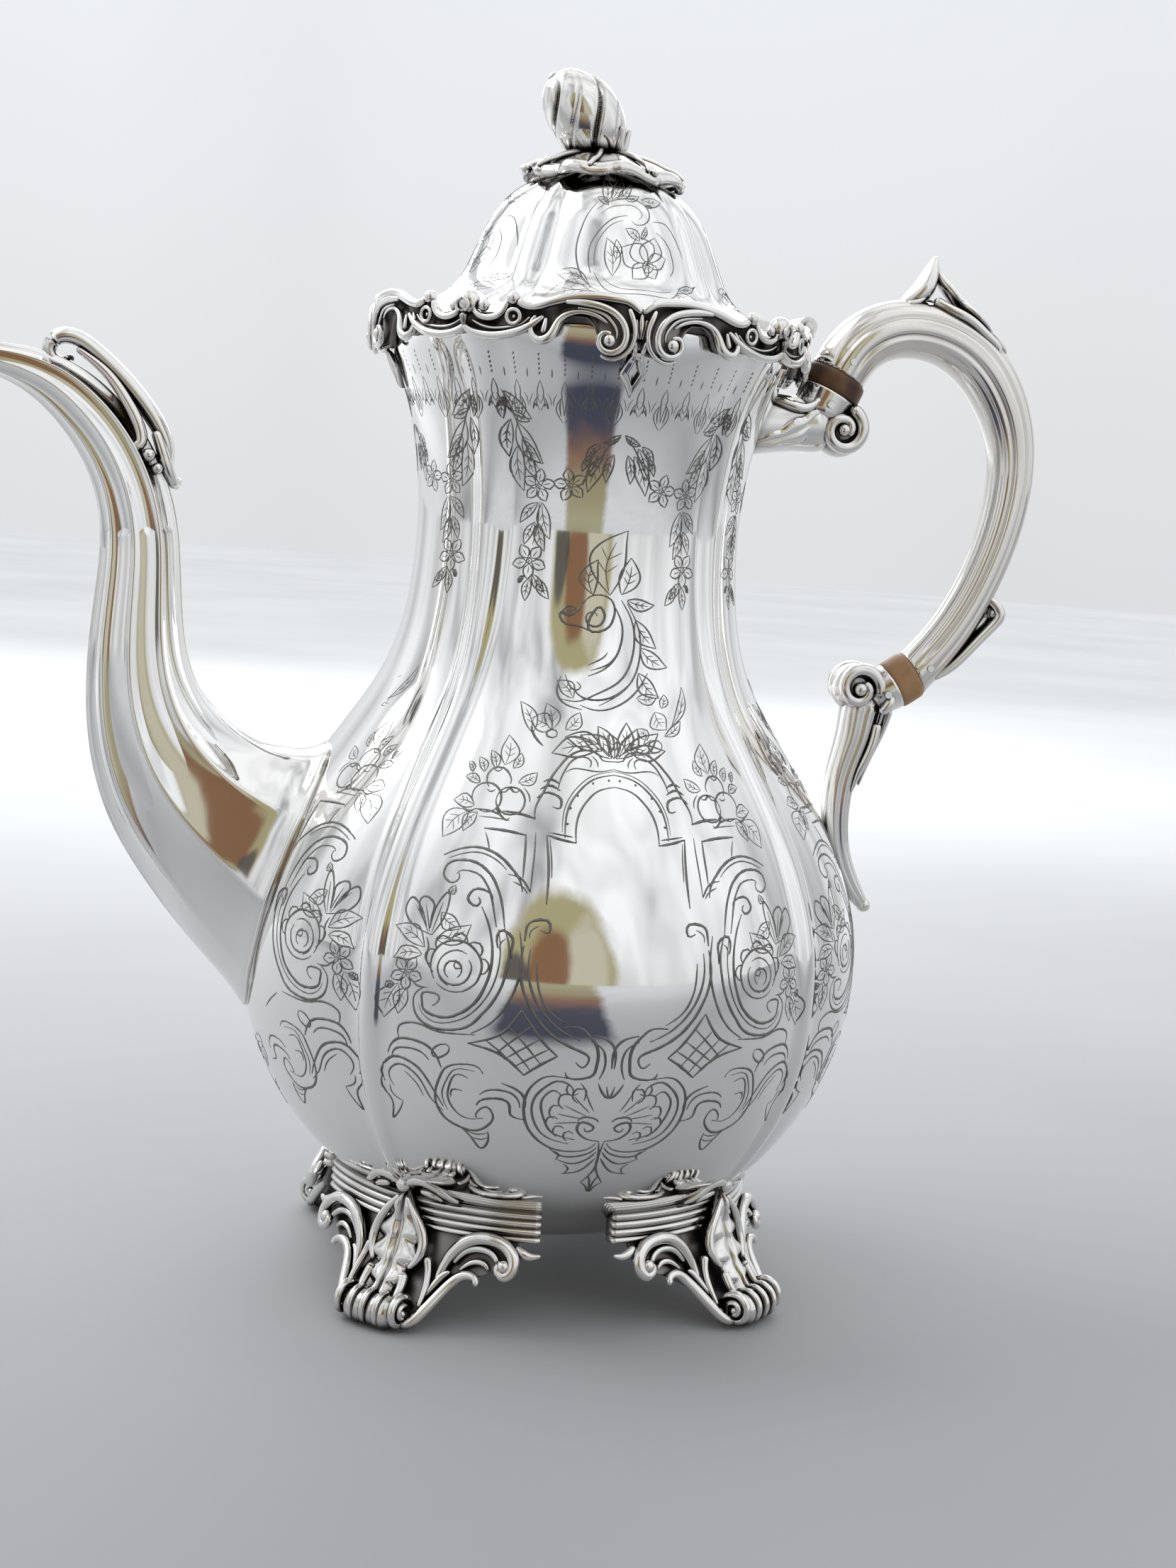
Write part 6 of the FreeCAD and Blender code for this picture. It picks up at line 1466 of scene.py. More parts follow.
(0.21,[-35,85.6,-37.1,85.6,-39.3,84.7]),
(0.165,[-36.5,85.7,-37.7,86.3]),
(0.165,[-36.5,85.7,-37.3,84.6]),
(0.165,[-37.7,85.4,-38.9,85.9]),
(0.165,[-37.7,85.4,-38.4,84.2]),
(0.3,[-38.9,78.5,-41.8,77.2,-43.3,75.1,-42.7,72.5,-41.8,70.6]),
(0.3,[-38.9,78.5,-38.5,76.2,-39.1,73.9,-40.7,71.9,-41.8,70.6]),
(0.21,[-39.2,78.1,-40.7,75.6,-41.7,72.6]),
(0.165,[-40.4,76.4,-42.2,75.6]),
(0.165,[-40.4,76.4,-39.6,74.8]),
(0.165,[-41,74.9,-42.7,74]),
(0.165,[-41,74.9,-40.2,73.2]),
(0.3,[-37,78.1,-39,76.9,-39.9,75.2,-39.3,73.4,-38.6,72.1]),
(0.3,[-37,78.1,-36.7,76.5,-36.9,74.7,-37.9,73.1,-38.6,72.1]),
(0.21,[-37.2,77.8,-38.2,75.8,-38.6,73.5]),
(0.165,[-38,76.4,-39.2,75.7]),
(0.165,[-38,76.4,-37.4,75.3]),
(0.165,[-38.3,75.3,-39.4,74.5]),
(0.165,[-38.3,75.3,-37.6,74.1]),
(0.3,[-39.8,78.3,-40.6,78.7,-41.4,78.6,-41.8,77.8,-42,77.1]),
(0.3,[-39.8,78.3,-40.2,77.6,-40.8,77.2,-41.5,77.1,-42,77.1]),
(0.21,[-39.9,78.3,-40.8,78.1,-41.6,77.5]),
(0.165,[-40.5,78.2,-41.1,78.4]),
(0.165,[-40.5,78.2,-40.7,77.6]),
(0.165,[-41,78,-41.5,78.2]),
(0.165,[-41,78,-41.2,77.3]),
(0.3,[-32,94.6,-31.6,92.4,-30.5,91.2,-29,91.5,-27.7,92]),
(0.3,[-32,94.6,-30.5,94.6,-29.2,94,-28.3,92.8,-27.7,92]),
(0.21,[-31.8,94.4,-30.5,93,-28.8,92.2]),
(0.165,[-30.9,93.4,-30.7,92]),
(0.165,[-30.9,93.4,-29.8,93.7]),
(0.165,[-30.1,92.8,-29.8,91.5]),
(0.165,[-30.1,92.8,-28.9,93.3]),
(0.3,[-32.2,89.2,-29.7,88.3,-27.6,88.9,-26.4,91,-25.9,93]),
(0.3,[-32.2,89.2,-30.9,90.7,-29.1,92,-27.2,92.6,-25.9,93]),
(0.21,[-31.8,89.2,-29.3,89.9,-27,91.6]),
(0.165,[-29.9,89.6,-28.4,89.1]),
(0.165,[-29.9,89.6,-29.3,91.1]),
(0.165,[-28.6,90.2,-27.2,90]),
(0.165,[-28.6,90.2,-28.1,91.9]),
(0.4,[-34.1,89.2,-33.4,87.2,-33.6,85,-32,82.3]),
(0.35,[-36.1,80.1,-34.7,78.9,-32.8,78.9]),
(0.3,[-31.3,98.4,-30.4,98.4,-29.9,98.9,-30,99.7,-30.2,100.3]),
(0.3,[-31.3,98.4,-31.4,99,-31.1,99.7,-30.6,100.1,-30.2,100.3]),
(0.21,[-31.2,98.4,-30.7,99,-30.3,99.8]),
(0.165,[-30.8,98.8,-30.2,98.9]),
(0.165,[-30.8,98.8,-31,99.4]),
(0.165,[-30.5,99.2,-30,99.3]),
(0.165,[-30.5,99.2,-30.8,99.8])]
CEN = [
(0.4,[0.3,127.6,1.8,129.1,2.1,130.7,0.9,131.9,-0.4,132.6]),
(0.4,[0.3,127.6,-0.5,128.7,-0.9,130.2,-0.6,131.6,-0.4,132.6]),
(0.28,[0.4,127.8,0.7,129.7,0.2,131.6]),
(0.22,[0.7,129.2,1.6,130.1]),
(0.22,[0.7,129.2,-0.2,129.8]),
(0.22,[0.6,130.2,1.4,131.1]),
(0.22,[0.6,130.2,-0.5,130.8]),
(0.4,[-0.3,127.6,-0.5,130.3,-2.4,132,-5.5,132.2,-8,131.9]),
(0.4,[-0.3,127.6,-2.8,128,-5.1,129.2,-6.8,130.8,-8,131.9]),
(0.28,[-0.5,127.9,-2.7,129.9,-5.8,131.4]),
(0.22,[-2,129.4,-2.2,131.1]),
(0.22,[-2,129.4,-3.9,129.3]),
(0.22,[-3.4,130.4,-3.9,131.9]),
(0.22,[-3.4,130.4,-5.5,130.1]),
(0.4,[0.9,127.6,4.2,128.1,6.6,129.7,7.3,131.9,7.3,133.7]),
(0.4,[0.9,127.6,1.7,129.5,3.4,131.4,5.6,132.8,7.3,133.7]),
(0.28,[1.4,127.8,4,129.7,6.3,132.1]),
(0.22,[3.3,129.1,5.4,129.5]),
(0.22,[3.3,129.1,3.4,130.5]),
(0.22,[4.7,130.2,6.6,130.7]),
(0.22,[4.7,130.2,4.6,131.8]),
(0.4,[-0.9,128,0.5,130.1,0.3,132,-1.5,133.3,-3.3,133.9]),
(0.4,[-0.9,128,-2.3,129.2,-3.2,131,-3.3,132.7,-3.3,133.9]),
(0.28,[-0.9,128.4,-1.1,130.6,-2.2,132.8]),
(0.22,[-1,130,-0.1,131.3]),
(0.22,[-1,130,-2.3,130.6]),
(0.22,[-1.3,131.2,-0.7,132.4]),
(0.22,[-1.3,131.2,-2.9,131.8]),
(0.4,[1.5,128.1,4.4,129.5,5.9,131.4,5.4,133.4,4.5,134.9]),
(0.4,[1.5,128.1,1.4,129.9,2,132,3.4,133.7,4.5,134.9]),
(0.28,[1.8,128.4,3.5,130.7,4.4,133.3]),
(0.22,[3.1,130,4.9,130.9]),
(0.22,[3.1,130,2.5,131.3]),
(0.22,[3.8,131.4,5.4,132.3]),
(0.22,[3.8,131.4,3,132.6]),
(0.4,[-2.6,129,-3.9,131.4,-6.5,132.7,-9.5,132.2,-11.7,131.4]),
(0.4,[-2.6,129,-5.2,128.9,-8,129.4,-10.2,130.6,-11.7,131.4]),
(0.28,[-3,129.3,-5.9,130.7,-9.5,131.4]),
(0.22,[-5,130.3,-5.9,131.8]),
(0.22,[-5,130.3,-6.9,129.8]),
(0.22,[-6.8,130.9,-7.8,132.3]),
(0.22,[-6.8,130.9,-8.7,130.2]),
(0.4,[3.2,129.2,6.4,128.5,9.5,129.2,11.8,131.2,13.2,132.9]),
(0.4,[3.2,129.2,5.2,130.8,8,132.1,11.1,132.6,13.2,132.9]),
(0.28,[3.7,129.3,7.3,130.1,11,131.7]),
(0.22,[6.3,129.8,8.4,129.4]),
(0.22,[6.3,129.8,7.4,131.2]),
(0.22,[8.3,130.4,10.3,130.2]),
(0.22,[8.3,130.4,9.4,132]),
(0.4,[-3.5,129.3,-6.6,131.3,-10.2,131.5,-13,129.8,-14.7,128]),
(0.4,[-3.5,129.3,-6.3,128.1,-9.6,127.5,-12.6,127.8,-14.7,128]),
(0.28,[-4.1,129.4,-8.2,129.7,-12.4,129]),
(0.22,[-7,129.7,-9,130.9]),
(0.22,[-7,129.7,-8.7,128.4]),
(0.22,[-9.3,129.6,-11.3,130.5]),
(0.22,[-9.3,129.6,-10.9,128.1]),
(0.4,[4.6,129.6,6.5,127.8,9.1,127.3,12,128.3,14.2,129.4]),
(0.4,[4.6,129.6,7.1,130.3,10,130.4,12.5,129.8,14.2,129.4]),
(0.28,[5,129.5,8.2,128.9,11.8,129]),
(0.22,[7.3,129,8.4,127.9]),
(0.22,[7.3,129,9,129.8]),
(0.22,[9.1,128.8,10.3,127.9]),
(0.22,[9.1,128.8,10.9,129.8]),
(0.45,[-10.4,141.5,-7.2,139.5,-2.2,139.3,4.2,141.4,7.7,143.7]),
(0.4,[-8.2,138,-3.2,137.1,2.9,138.4,8.6,141.5,12.7,145.3]),
(0.3,[-15.3,132.6,-15.9,134.9,-17.4,135.9,-19.6,135.3,-21.2,134.4]),
(0.3,[-15.3,132.6,-17.2,132,-19,132.3,-20.3,133.5,-21.2,134.4]),
(0.21,[-15.5,132.8,-17.4,133.8,-19.7,134.4]),
(0.165,[-16.8,133.6,-17.2,135]),
(0.165,[-16.8,133.6,-18.2,132.9]),
(0.165,[-18,134,-18.4,135.4]),
(0.165,[-18,134,-19.4,133.2]),
(0.3,[-15.3,132.6,-13.6,134.4,-13.6,136.1,-15.5,137.2,-17.5,137.9]),
(0.3,[-15.3,132.6,-16.8,133.7,-17.7,135.2,-17.7,136.8,-17.5,137.9]),
(0.21,[-15.2,132.9,-15.4,134.9,-16.4,136.8]),
(0.165,[-15.2,134.3,-14.2,135.5]),
(0.165,[-15.2,134.3,-16.7,134.9]),
(0.165,[-15.5,135.4,-14.7,136.5]),
(0.165,[-15.5,135.4,-17.3,135.9]),
(0.3,[-11.7,132.8,-9.2,132.9,-7.7,133.8,-7.7,135.3,-8.1,136.5]),
(0.3,[-11.7,132.8,-11.5,134.1,-10.6,135.3,-9.2,136.1,-8.1,136.5]),
(0.21,[-11.4,132.9,-9.7,134,-8.5,135.5]),
(0.165,[-10.1,133.7,-8.6,133.7]),
(0.165,[-10.1,133.7,-10.4,134.7]),
(0.165,[-9.4,134.4,-7.9,134.5]),
(0.165,[-9.4,134.4,-9.7,135.5]),
(0.4,[-13.8,132,-13.9,131.5,-14.4,131.2,-15.1,131,-15.8,131.1,-16.4,131.4,-16.6,131.8,-16.5,132.2,-16,132.6,-15.3,132.7,-14.6,132.7,-14,132.4,-13.8,132]),
(0.5,[-20.9,133,-19,130.6,-17,129.3]),
(0.3,[-20.1,131.6,-19.3,133.9,-20.2,135.9,-22.7,137.2,-25,137.8]),
(0.3,[-20.1,131.6,-21.8,132.9,-23.3,134.7,-24.3,136.5,-25,137.8]),
(0.21,[-20.2,132,-21.1,134.4,-23.2,136.6]),
(0.165,[-20.7,133.7,-20.3,135.1]),
(0.165,[-20.7,133.7,-22.3,134.4]),
(0.165,[-21.5,135,-21.4,136.4]),
(0.165,[-21.5,135,-23.4,135.6]),
(0.3,[13.4,137.2,11.6,135.3,11.7,133.9,13.9,133.6,16.1,133.7]),
(0.3,[13.4,137.2,15.6,136.9,16.7,136,16.4,134.7,16.1,133.7]),
(0.21,[13.4,137,13.8,135.5,15,134.3]),
(0.165,[13.6,135.9,12.4,134.6]),
(0.165,[13.6,135.9,15.5,135.9]),
(0.165,[14,135.1,13,134]),
(0.165,[14,135.1,16.1,135.2]),
(0.3,[15.8,138,17.7,138.5,18.6,139.4,18.2,140.3,17.4,140.9]),
(0.3,[15.8,138,15.5,138.8,15.8,139.7,16.8,140.4,17.4,140.9]),
(0.21,[16,138.1,16.9,139.1,17.4,140.2]),
(0.165,[16.7,138.8,17.9,139.2]),
(0.165,[16.7,138.8,16.2,139.4]),
(0.165,[17.1,139.4,18.2,139.8]),
(0.165,[17.1,139.4,16.5,140]),
(0.3,[18,134.4,21.8,136,24.6,138.3,25.2,140.7,24.8,142.5]),
(0.3,[18,134.4,19.9,136.4,21.9,138.8,23.8,141,24.8,142.5]),
(0.21,[18.6,134.8,22.2,137.3,24.4,140.5]),
(0.165,[21.3,136.6,23.4,137.7]),
(0.165,[21.3,136.6,21.8,138]),
(0.165,[22.9,138.1,24.7,139.3]),
(0.165,[22.9,138.1,23,139.6]),
(0.3,[9.7,131.5,10.4,132.7,9.9,133.6,8.5,133.8,7.3,133.7]),
(0.3,[9.7,131.5,8.6,131.7,7.7,132.3,7.4,133.1,7.3,133.7]),
(0.21,[9.7,131.6,9.2,132.6,8.1,133.4]),
(0.165,[9.4,132.4,9.7,133.2]),
(0.165,[9.4,132.4,8.4,132.3]),
(0.165,[9,132.8,9.2,133.6]),
(0.165,[9,132.8,7.8,132.8]),
(0.4,[13.6,130.3,13.1,129.6,12.3,129.2,11.3,129,10.3,129.1,9.8,129.6,9.6,130.2,10.1,130.8,10.9,131.3,11.9,131.5,12.9,131.4,13.5,130.9,13.6,130.3]),
(0.3,[15,132.3,17.5,132.3,19.6,133,20.8,134.4,21.4,135.5]),
(0.3,[15,132.3,16.3,133.3,18.1,134.3,20,135,21.4,135.5]),
(0.21,[15.4,132.4,17.9,133.2,20.2,134.5]),
(0.165,[17.2,132.9,18.7,133]),
(0.165,[17.2,132.9,17.8,133.8]),
(0.165,[18.5,133.5,20,133.7]),
(0.165,[18.5,133.5,19,134.5]),
(0.3,[8.3,140,10,138.9,12.1,138.6,14,139.6,15.4,140.5]),
(0.3,[8.3,140,10.1,140.7,12.2,140.9,14.1,140.7,15.4,140.5]),
(0.21,[8.7,140,11.1,139.7,13.8,140.1]),
(0.165,[10.4,139.7,11.5,139]),
(0.165,[10.4,139.7,11.5,140.4]),
(0.165,[11.8,139.7,12.9,139.2]),
(0.165,[11.8,139.7,13,140.6]),
(0.3,[-10.2,139.3,-9.9,141.4,-10.9,142.7,-13.2,142.9,-15.2,142.8]),
(0.3,[-10.2,139.3,-12.1,139.7,-13.8,140.6,-14.6,141.9,-15.2,142.8]),
(0.21,[-10.4,139.6,-11.6,141.1,-13.7,142.3]),
(0.165,[-11.2,140.7,-11,142]),
(0.165,[-11.2,140.7,-12.8,140.7]),
(0.165,[-12.1,141.5,-12,142.6]),
(0.165,[-12.1,141.5,-13.8,141.3])]
NECK = [
(0.36,[-38.5,203.5,-38.1,200.9,-35.8,198.9,-32.1,198.1,-29.2,197.9]),
(0.36,[-38.5,203.5,-35.5,202.5,-32.6,200.9,-30.6,199.1,-29.2,197.9]),
(0.252,[-38.2,203.1,-35.6,200.8,-31.8,198.8]),
(0.198,[-36.4,201.4,-36,199.8]),
(0.198,[-36.4,201.4,-34,201]),
(0.198,[-34.7,200.2,-34.1,198.7]),
(0.198,[-34.7,200.2,-32.1,200]),
(0.36,[-39.1,202.3,-40.6,201.1,-41.1,199.6,-40.2,198.4,-39.2,197.7]),
(0.36,[-39.1,202.3,-38.6,201.2,-38.5,199.8,-38.9,198.5,-39.2,197.7]),
(0.252,[-39.2,202.1,-39.7,200.4,-39.6,198.7]),
(0.198,[-39.6,200.9,-40.6,200.1]),
(0.198,[-39.6,200.9,-39,200.2]),
(0.198,[-39.8,200,-40.5,199.2]),
(0.198,[-39.8,200,-39,199.3]),
(0.36,[-36.3,199.5,-35.5,198.2,-33.8,197.3,-31.6,197.2,-29.9,197.4]),
(0.36,[-36.3,199.5,-34.4,199.3,-32.5,198.7,-30.9,197.9,-29.9,197.4]),
(0.252,[-36.1,199.3,-34.1,198.3,-31.5,197.6]),
(0.198,[-34.7,198.6,-34.1,197.8]),
(0.198,[-34.7,198.6,-33.3,198.6]),
(0.198,[-33.4,198.1,-32.8,197.4]),
(0.198,[-33.4,198.1,-32,198.2]),
(0.36,[-37,197.7,-39.8,195.7,-40.8,193.3,-39.3,191.1,-37.6,189.7]),
(0.36,[-37,197.7,-36.4,195.8,-36.4,193.4,-37.1,191.2,-37.6,189.7]),
(0.252,[-37.2,197.3,-38.5,194.5,-38.3,191.5]),
(0.198,[-38.2,195.3,-39.9,194]),
(0.198,[-38.2,195.3,-37.2,194.1]),
(0.198,[-38.5,193.7,-39.9,192.4]),
(0.198,[-38.5,193.7,-37.1,192.5]),
(0.36,[-34.6,197.2,-35.2,193.9,-33,190.9,-28.7,189.3,-25.1,188.6]),
(0.36,[-34.6,197.2,-31.4,195.5,-28.4,193,-26.4,190.4,-25.1,188.6]),
(0.252,[-34.4,196.7,-32.1,193.3,-28.1,190.2]),
(0.198,[-32.9,194.2,-33,192.1]),
(0.198,[-32.9,194.2,-30.1,193.4]),
(0.198,[-31.1,192.4,-30.9,190.4]),
(0.198,[-31.1,192.4,-28.1,191.7]),
(0.36,[-32.9,193.8,-32.7,191.6,-31.1,189.9,-28.2,189,-25.9,188.7]),
(0.36,[-32.9,193.8,-30.6,192.8,-28.4,191.4,-26.9,189.8,-25.9,188.7]),
(0.252,[-32.7,193.4,-30.7,191.4,-27.9,189.6]),
(0.198,[-31.4,191.9,-31.2,190.6]),
(0.198,[-31.4,191.9,-29.5,191.5]),
(0.198,[-30.1,190.9,-29.7,189.6]),
(0.198,[-30.1,190.9,-28,190.6]),
(0.36,[-34.3,192.5,-36.9,189.7,-37.1,186.6,-34.5,184.1,-31.8,182.6]),
(0.36,[-34.3,192.5,-32.6,190.2,-31.7,187.2,-31.8,184.5,-31.8,182.6]),
(0.252,[-34.5,192,-34.7,188.4,-33.4,184.7]),
(0.198,[-34.7,189.4,-36.3,187.6]),
(0.198,[-34.7,189.4,-32.9,188]),
(0.198,[-34.5,187.4,-35.7,185.6]),
(0.198,[-34.5,187.4,-32.3,186]),
(0.36,[-31.4,191.5,-32.2,189.4,-31.4,187.5,-29.1,186.2,-27.1,185.6]),
(0.36,[-31.4,191.5,-29.7,190.2,-28.3,188.5,-27.6,186.7,-27.1,185.6]),
(0.252,[-31.3,191.1,-30.4,188.9,-28.6,186.7]),
(0.198,[-30.8,189.5,-31.2,188.2]),
(0.198,[-30.8,189.5,-29.2,188.8]),
(0.198,[-30,188.3,-30.2,187.1]),
(0.198,[-30,188.3,-28.3,187.7]),
(0.34,[-39.2,203.8,-36.3,199.5,-32.9,194.4,-29.2,189.8,-26,186.9]),
(0.36,[-6.1,193.8,-4.1,193.6,-2.3,194,-1.2,195,-0.6,195.8]),
(0.36,[-6.1,193.8,-4.9,194.5,-3.3,195.2,-1.7,195.6,-0.6,195.8]),
(0.252,[-5.8,193.8,-3.6,194.3,-1.6,195.2]),
(0.198,[-4.2,194.1,-3,194.1]),
(0.198,[-4.2,194.1,-3.6,194.8]),
(0.198,[-3.1,194.5,-1.9,194.5]),
(0.198,[-3.1,194.5,-2.6,195.2]),
(0.36,[-6.7,193.7,-9,193.3,-10.7,192.2,-11.2,190.8,-11.3,189.7]),
(0.36,[-6.7,193.7,-7.4,192.5,-8.7,191.3,-10.2,190.3,-11.3,189.7]),
(0.252,[-7,193.6,-9,192.3,-10.6,190.7]),
(0.198,[-8.5,192.7,-9.9,192.4]),
(0.198,[-8.5,192.7,-8.7,191.8]),
(0.198,[-9.5,191.9,-10.8,191.6]),
(0.198,[-9.5,191.9,-9.5,191]),
(0.36,[-5.4,193.2,-8.3,192,-10,190.1,-9.9,188,-9.3,186.5]),
(0.36,[-5.4,193.2,-5.6,191.4,-6.7,189.3,-8.2,187.6,-9.3,186.5]),
(0.252,[-5.7,192.9,-7.7,190.7,-9,188.1]),
(0.198,[-7.2,191.4,-9,190.6]),
(0.198,[-7.2,191.4,-7,190.1]),
(0.198,[-8.1,190.1,-9.7,189.2]),
(0.198,[-8.1,190.1,-7.6,188.7]),
(0.36,[-4.3,191.5,-8,190.1,-10.3,187.8,-10.4,185.1,-9.8,183.2]),
(0.36,[-4.3,191.5,-4.7,189.2,-6.2,186.6,-8.4,184.6,-9.8,183.2]),
(0.252,[-4.7,191.1,-7.4,188.5,-9.3,185.2]),
(0.198,[-6.7,189.2,-9.1,188.3]),
(0.198,[-6.7,189.2,-6.5,187.6]),
(0.198,[-8,187.6,-10.1,186.6]),
(0.198,[-8,187.6,-7.5,185.9]),
(0.36,[-8.9,191.3,-10.8,190.7,-12,189.7,-12.3,188.5,-12.1,187.5]),
(0.36,[-8.9,191.3,-9.3,190.2,-10.2,189.1,-11.4,188.1,-12.1,187.5]),
(0.252,[-9.2,191.1,-10.6,189.9,-11.7,188.5]),
(0.198,[-10.3,190.3,-11.4,189.9]),
(0.198,[-10.3,190.3,-10.3,189.5]),
(0.198,[-11,189.6,-12,189.2]),
(0.198,[-11,189.6,-10.9,188.8]),
(0.36,[-2.2,191.6,-4.4,190.3,-5.4,188.6,-4.9,186.8,-4,185.5]),
(0.36,[-2.2,191.6,-2,190,-2.4,188.2,-3.4,186.6,-4,185.5]),
(0.252,[-2.4,191.3,-3.6,189.3,-4.1,186.9]),
(0.198,[-3.4,189.9,-4.7,189]),
(0.198,[-3.4,189.9,-2.8,188.8]),
(0.198,[-3.9,188.7,-5,187.8]),
(0.198,[-3.9,188.7,-3.1,187.6]),
(0.34,[-0.6,195.8,-4.6,192.7,-8.2,188.9,-11.9,185.2]),
(0.36,[-26.4,184.6,-24.8,185.2,-24.3,186.1,-24.9,187,-25.7,187.6]),
(0.36,[-26.4,184.6,-27.6,185.4,-27.7,186.4,-26.7,187.1,-25.7,187.6]),
(0.216,[-26.3,185,-25.9,186.5]),
(0.36,[-25.4,184.1,-24,183.4,-22.5,183.3,-21.4,184,-20.7,184.7]),
(0.36,[-25.4,184.1,-24.5,185.1,-23.2,185.5,-21.7,185.1,-20.7,184.7]),
(0.216,[-24.7,184.2,-22.4,184.5]),
(0.36,[-26,183.3,-26.6,182.2,-26.2,181.3,-24.8,180.9,-23.6,180.7]),
(0.36,[-26,183.3,-24.2,183.1,-23.1,182.4,-23.3,181.5,-23.6,180.7]),
(0.216,[-25.6,183,-24.5,181.7]),
(0.36,[-27.2,183.4,-29.1,183.4,-30.4,182.9,-30.7,181.9,-30.6,181.2]),
(0.36,[-27.2,183.4,-27,182.3,-27.8,181.4,-29.4,181.2,-30.6,181.2]),
(0.216,[-27.7,183.1,-29.4,182]),
(0.36,[-27.5,184.2,-28,185.3,-29.1,185.9,-30.7,185.7,-31.9,185.4]),
(0.36,[-27.5,184.2,-29.2,183.7,-30.7,183.9,-31.5,184.7,-31.9,185.4]),
(0.216,[-28.1,184.4,-30.3,185]),
(0.36,[-25.5,184,-25.7,183.5,-26.4,183.3,-27.2,183.4,-27.5,183.9,-27.2,184.3,-26.5,184.5,-25.8,184.4,-25.5,184]),
(0.252,[-26.1,183.9,-26.3,183.7,-26.7,183.7,-26.8,183.9,-26.7,184.1,-26.3,184.1,-26.1,183.9]),
(0.36,[-16,185.2,-14.9,186.1,-14.9,187,-16,187.7,-17,188.1]),
(0.36,[-16,185.2,-17.5,185.7,-18.2,186.5,-17.6,187.4,-17,188.1]),
(0.216,[-16.1,185.6,-16.6,187]),
(0.36,[-14.8,184.9,-13.1,184.5,-11.7,184.8,-11.1,185.7,-10.9,186.5]),
(0.36,[-14.8,184.9,-14.5,186,-13.5,186.7,-12,186.7,-10.9,186.5]),
(0.216,[-14.2,185.1,-12.3,185.9]),
(0.36,[-14.9,184.1,-14.9,182.9,-14,182.2,-12.5,182.1,-11.3,182.1]),
(0.36,[-14.9,184.1,-13.1,184.3,-11.8,183.9,-11.4,182.9,-11.3,182.1]),
(0.216,[-14.4,183.8,-12.6,182.9]),
(0.36,[-16.1,183.9,-17.8,183.5,-18.7,182.8,-18.4,181.8,-17.9,181.1]),
(0.36,[-16.1,183.9,-15.3,182.9,-15.5,181.9,-16.8,181.4,-17.9,181.1]),
(0.216,[-16.4,183.5,-17.2,182.1]),
(0.36,[-16.7,184.6,-17.8,185.5,-19.2,185.8,-20.5,185.3,-21.5,184.8]),
(0.36,[-16.7,184.6,-18,183.7,-19.5,183.6,-20.7,184.2,-21.5,184.8]),
(0.216,[-17.4,184.6,-19.7,184.7]),
(0.36,[-14.7,184.6,-15,184.1,-15.6,183.9,-16.4,184,-16.7,184.5,-16.4,184.9,-15.8,185.1,-15.1,185,-14.7,184.6]),
(0.252,[-15.4,184.5,-15.5,184.3,-15.9,184.3,-16.1,184.5,-15.9,184.7,-15.6,184.7,-15.4,184.5]),
(0.34,[-26.5,180.3,-29.4,179.9,-31.7,178.7,-32.6,177,-32.9,175.7]),
(0.34,[-26.5,180.3,-27.4,178.8,-29.1,177.4,-31.3,176.4,-32.9,175.7]),
(0.238,[-26.9,180.1,-29.4,178.7,-31.8,176.9]),
(0.187,[-28.7,179.1,-30.6,178.8]),
(0.187,[-28.7,179.1,-29,178]),
(0.187,[-30.1,178.2,-31.9,177.9]),
(0.187,[-30.1,178.2,-30.3,177.1]),
(0.34,[-25,180.4,-26.4,178,-26,175.6,-23.6,173.7,-21.4,172.6]),
(0.34,[-25,180.4,-23,178.7,-21.7,176.4,-21.5,174.1,-21.4,172.6]),
(0.238,[-25,180,-24.3,177.1,-22.7,174.2]),
(0.187,[-24.6,177.9,-25.5,176.4]),
(0.187,[-24.6,177.9,-22.8,176.9]),
(0.187,[-24,176.4,-24.7,174.9]),
(0.187,[-24,176.4,-22,175.4]),
(0.34,[-27.1,176.1,-29.5,175.2,-31,173.8,-31.1,172.3,-30.7,171.1]),
(0.34,[-27.1,176.1,-27.3,174.6,-28.2,173.1,-29.6,171.9,-30.7,171.1]),
(0.238,[-27.4,175.9,-29,174.2,-30.3,172.3]),
(0.187,[-28.6,174.7,-30.1,174.1]),
(0.187,[-28.6,174.7,-28.4,173.7]),
(0.187,[-29.4,173.7,-30.8,173.1]),
(0.187,[-29.4,173.7,-29.1,172.7]),
(0.34,[-26.1,176.1,-27.2,174.2,-26.8,172.3,-24.8,170.8,-23.1,169.9]),
(0.34,[-26.1,176.1,-24.5,174.8,-23.4,172.9,-23.2,171.2,-23.1,169.9]),
(0.238,[-26.1,175.8,-25.5,173.5,-24.2,171.2]),
(0.187,[-25.7,174.2,-26.4,173]),
(0.187,[-25.7,174.2,-24.3,173.4]),
(0.187,[-25.2,172.9,-25.7,171.7]),
(0.187,[-25.2,172.9,-23.6,172.1]),
(0.3,[-26,180.6,-26.1,176.1,-27.5,171.2]),
(0.36,[-28.9,168.3,-28.4,169.5,-29,170.4,-30.6,170.8,-32,171]),
(0.36,[-28.9,168.3,-31,168.4,-32.2,169.1,-32.3,170.2,-32,171]),
(0.216,[-29.4,168.7,-30.9,170]),
(0.36,[-27.6,168.3,-25.6,168.3,-24.3,169,-24.2,170,-24.4,170.9]),
(0.36,[-27.6,168.3,-28,169.5,-27.3,170.4,-25.7,170.7,-24.4,170.9]),
(0.216,[-27.1,168.6,-25.5,169.9]),
(0.36,[-27.2,167.5,-26.5,166.3,-25.1,165.8,-23.5,166,-22.3,166.4]),
(0.36,[-27.2,167.5,-25.4,168.1,-23.8,168,-22.8,167.1,-22.3,166.4]),
(0.216,[-26.5,167.3,-24.1,166.8]),
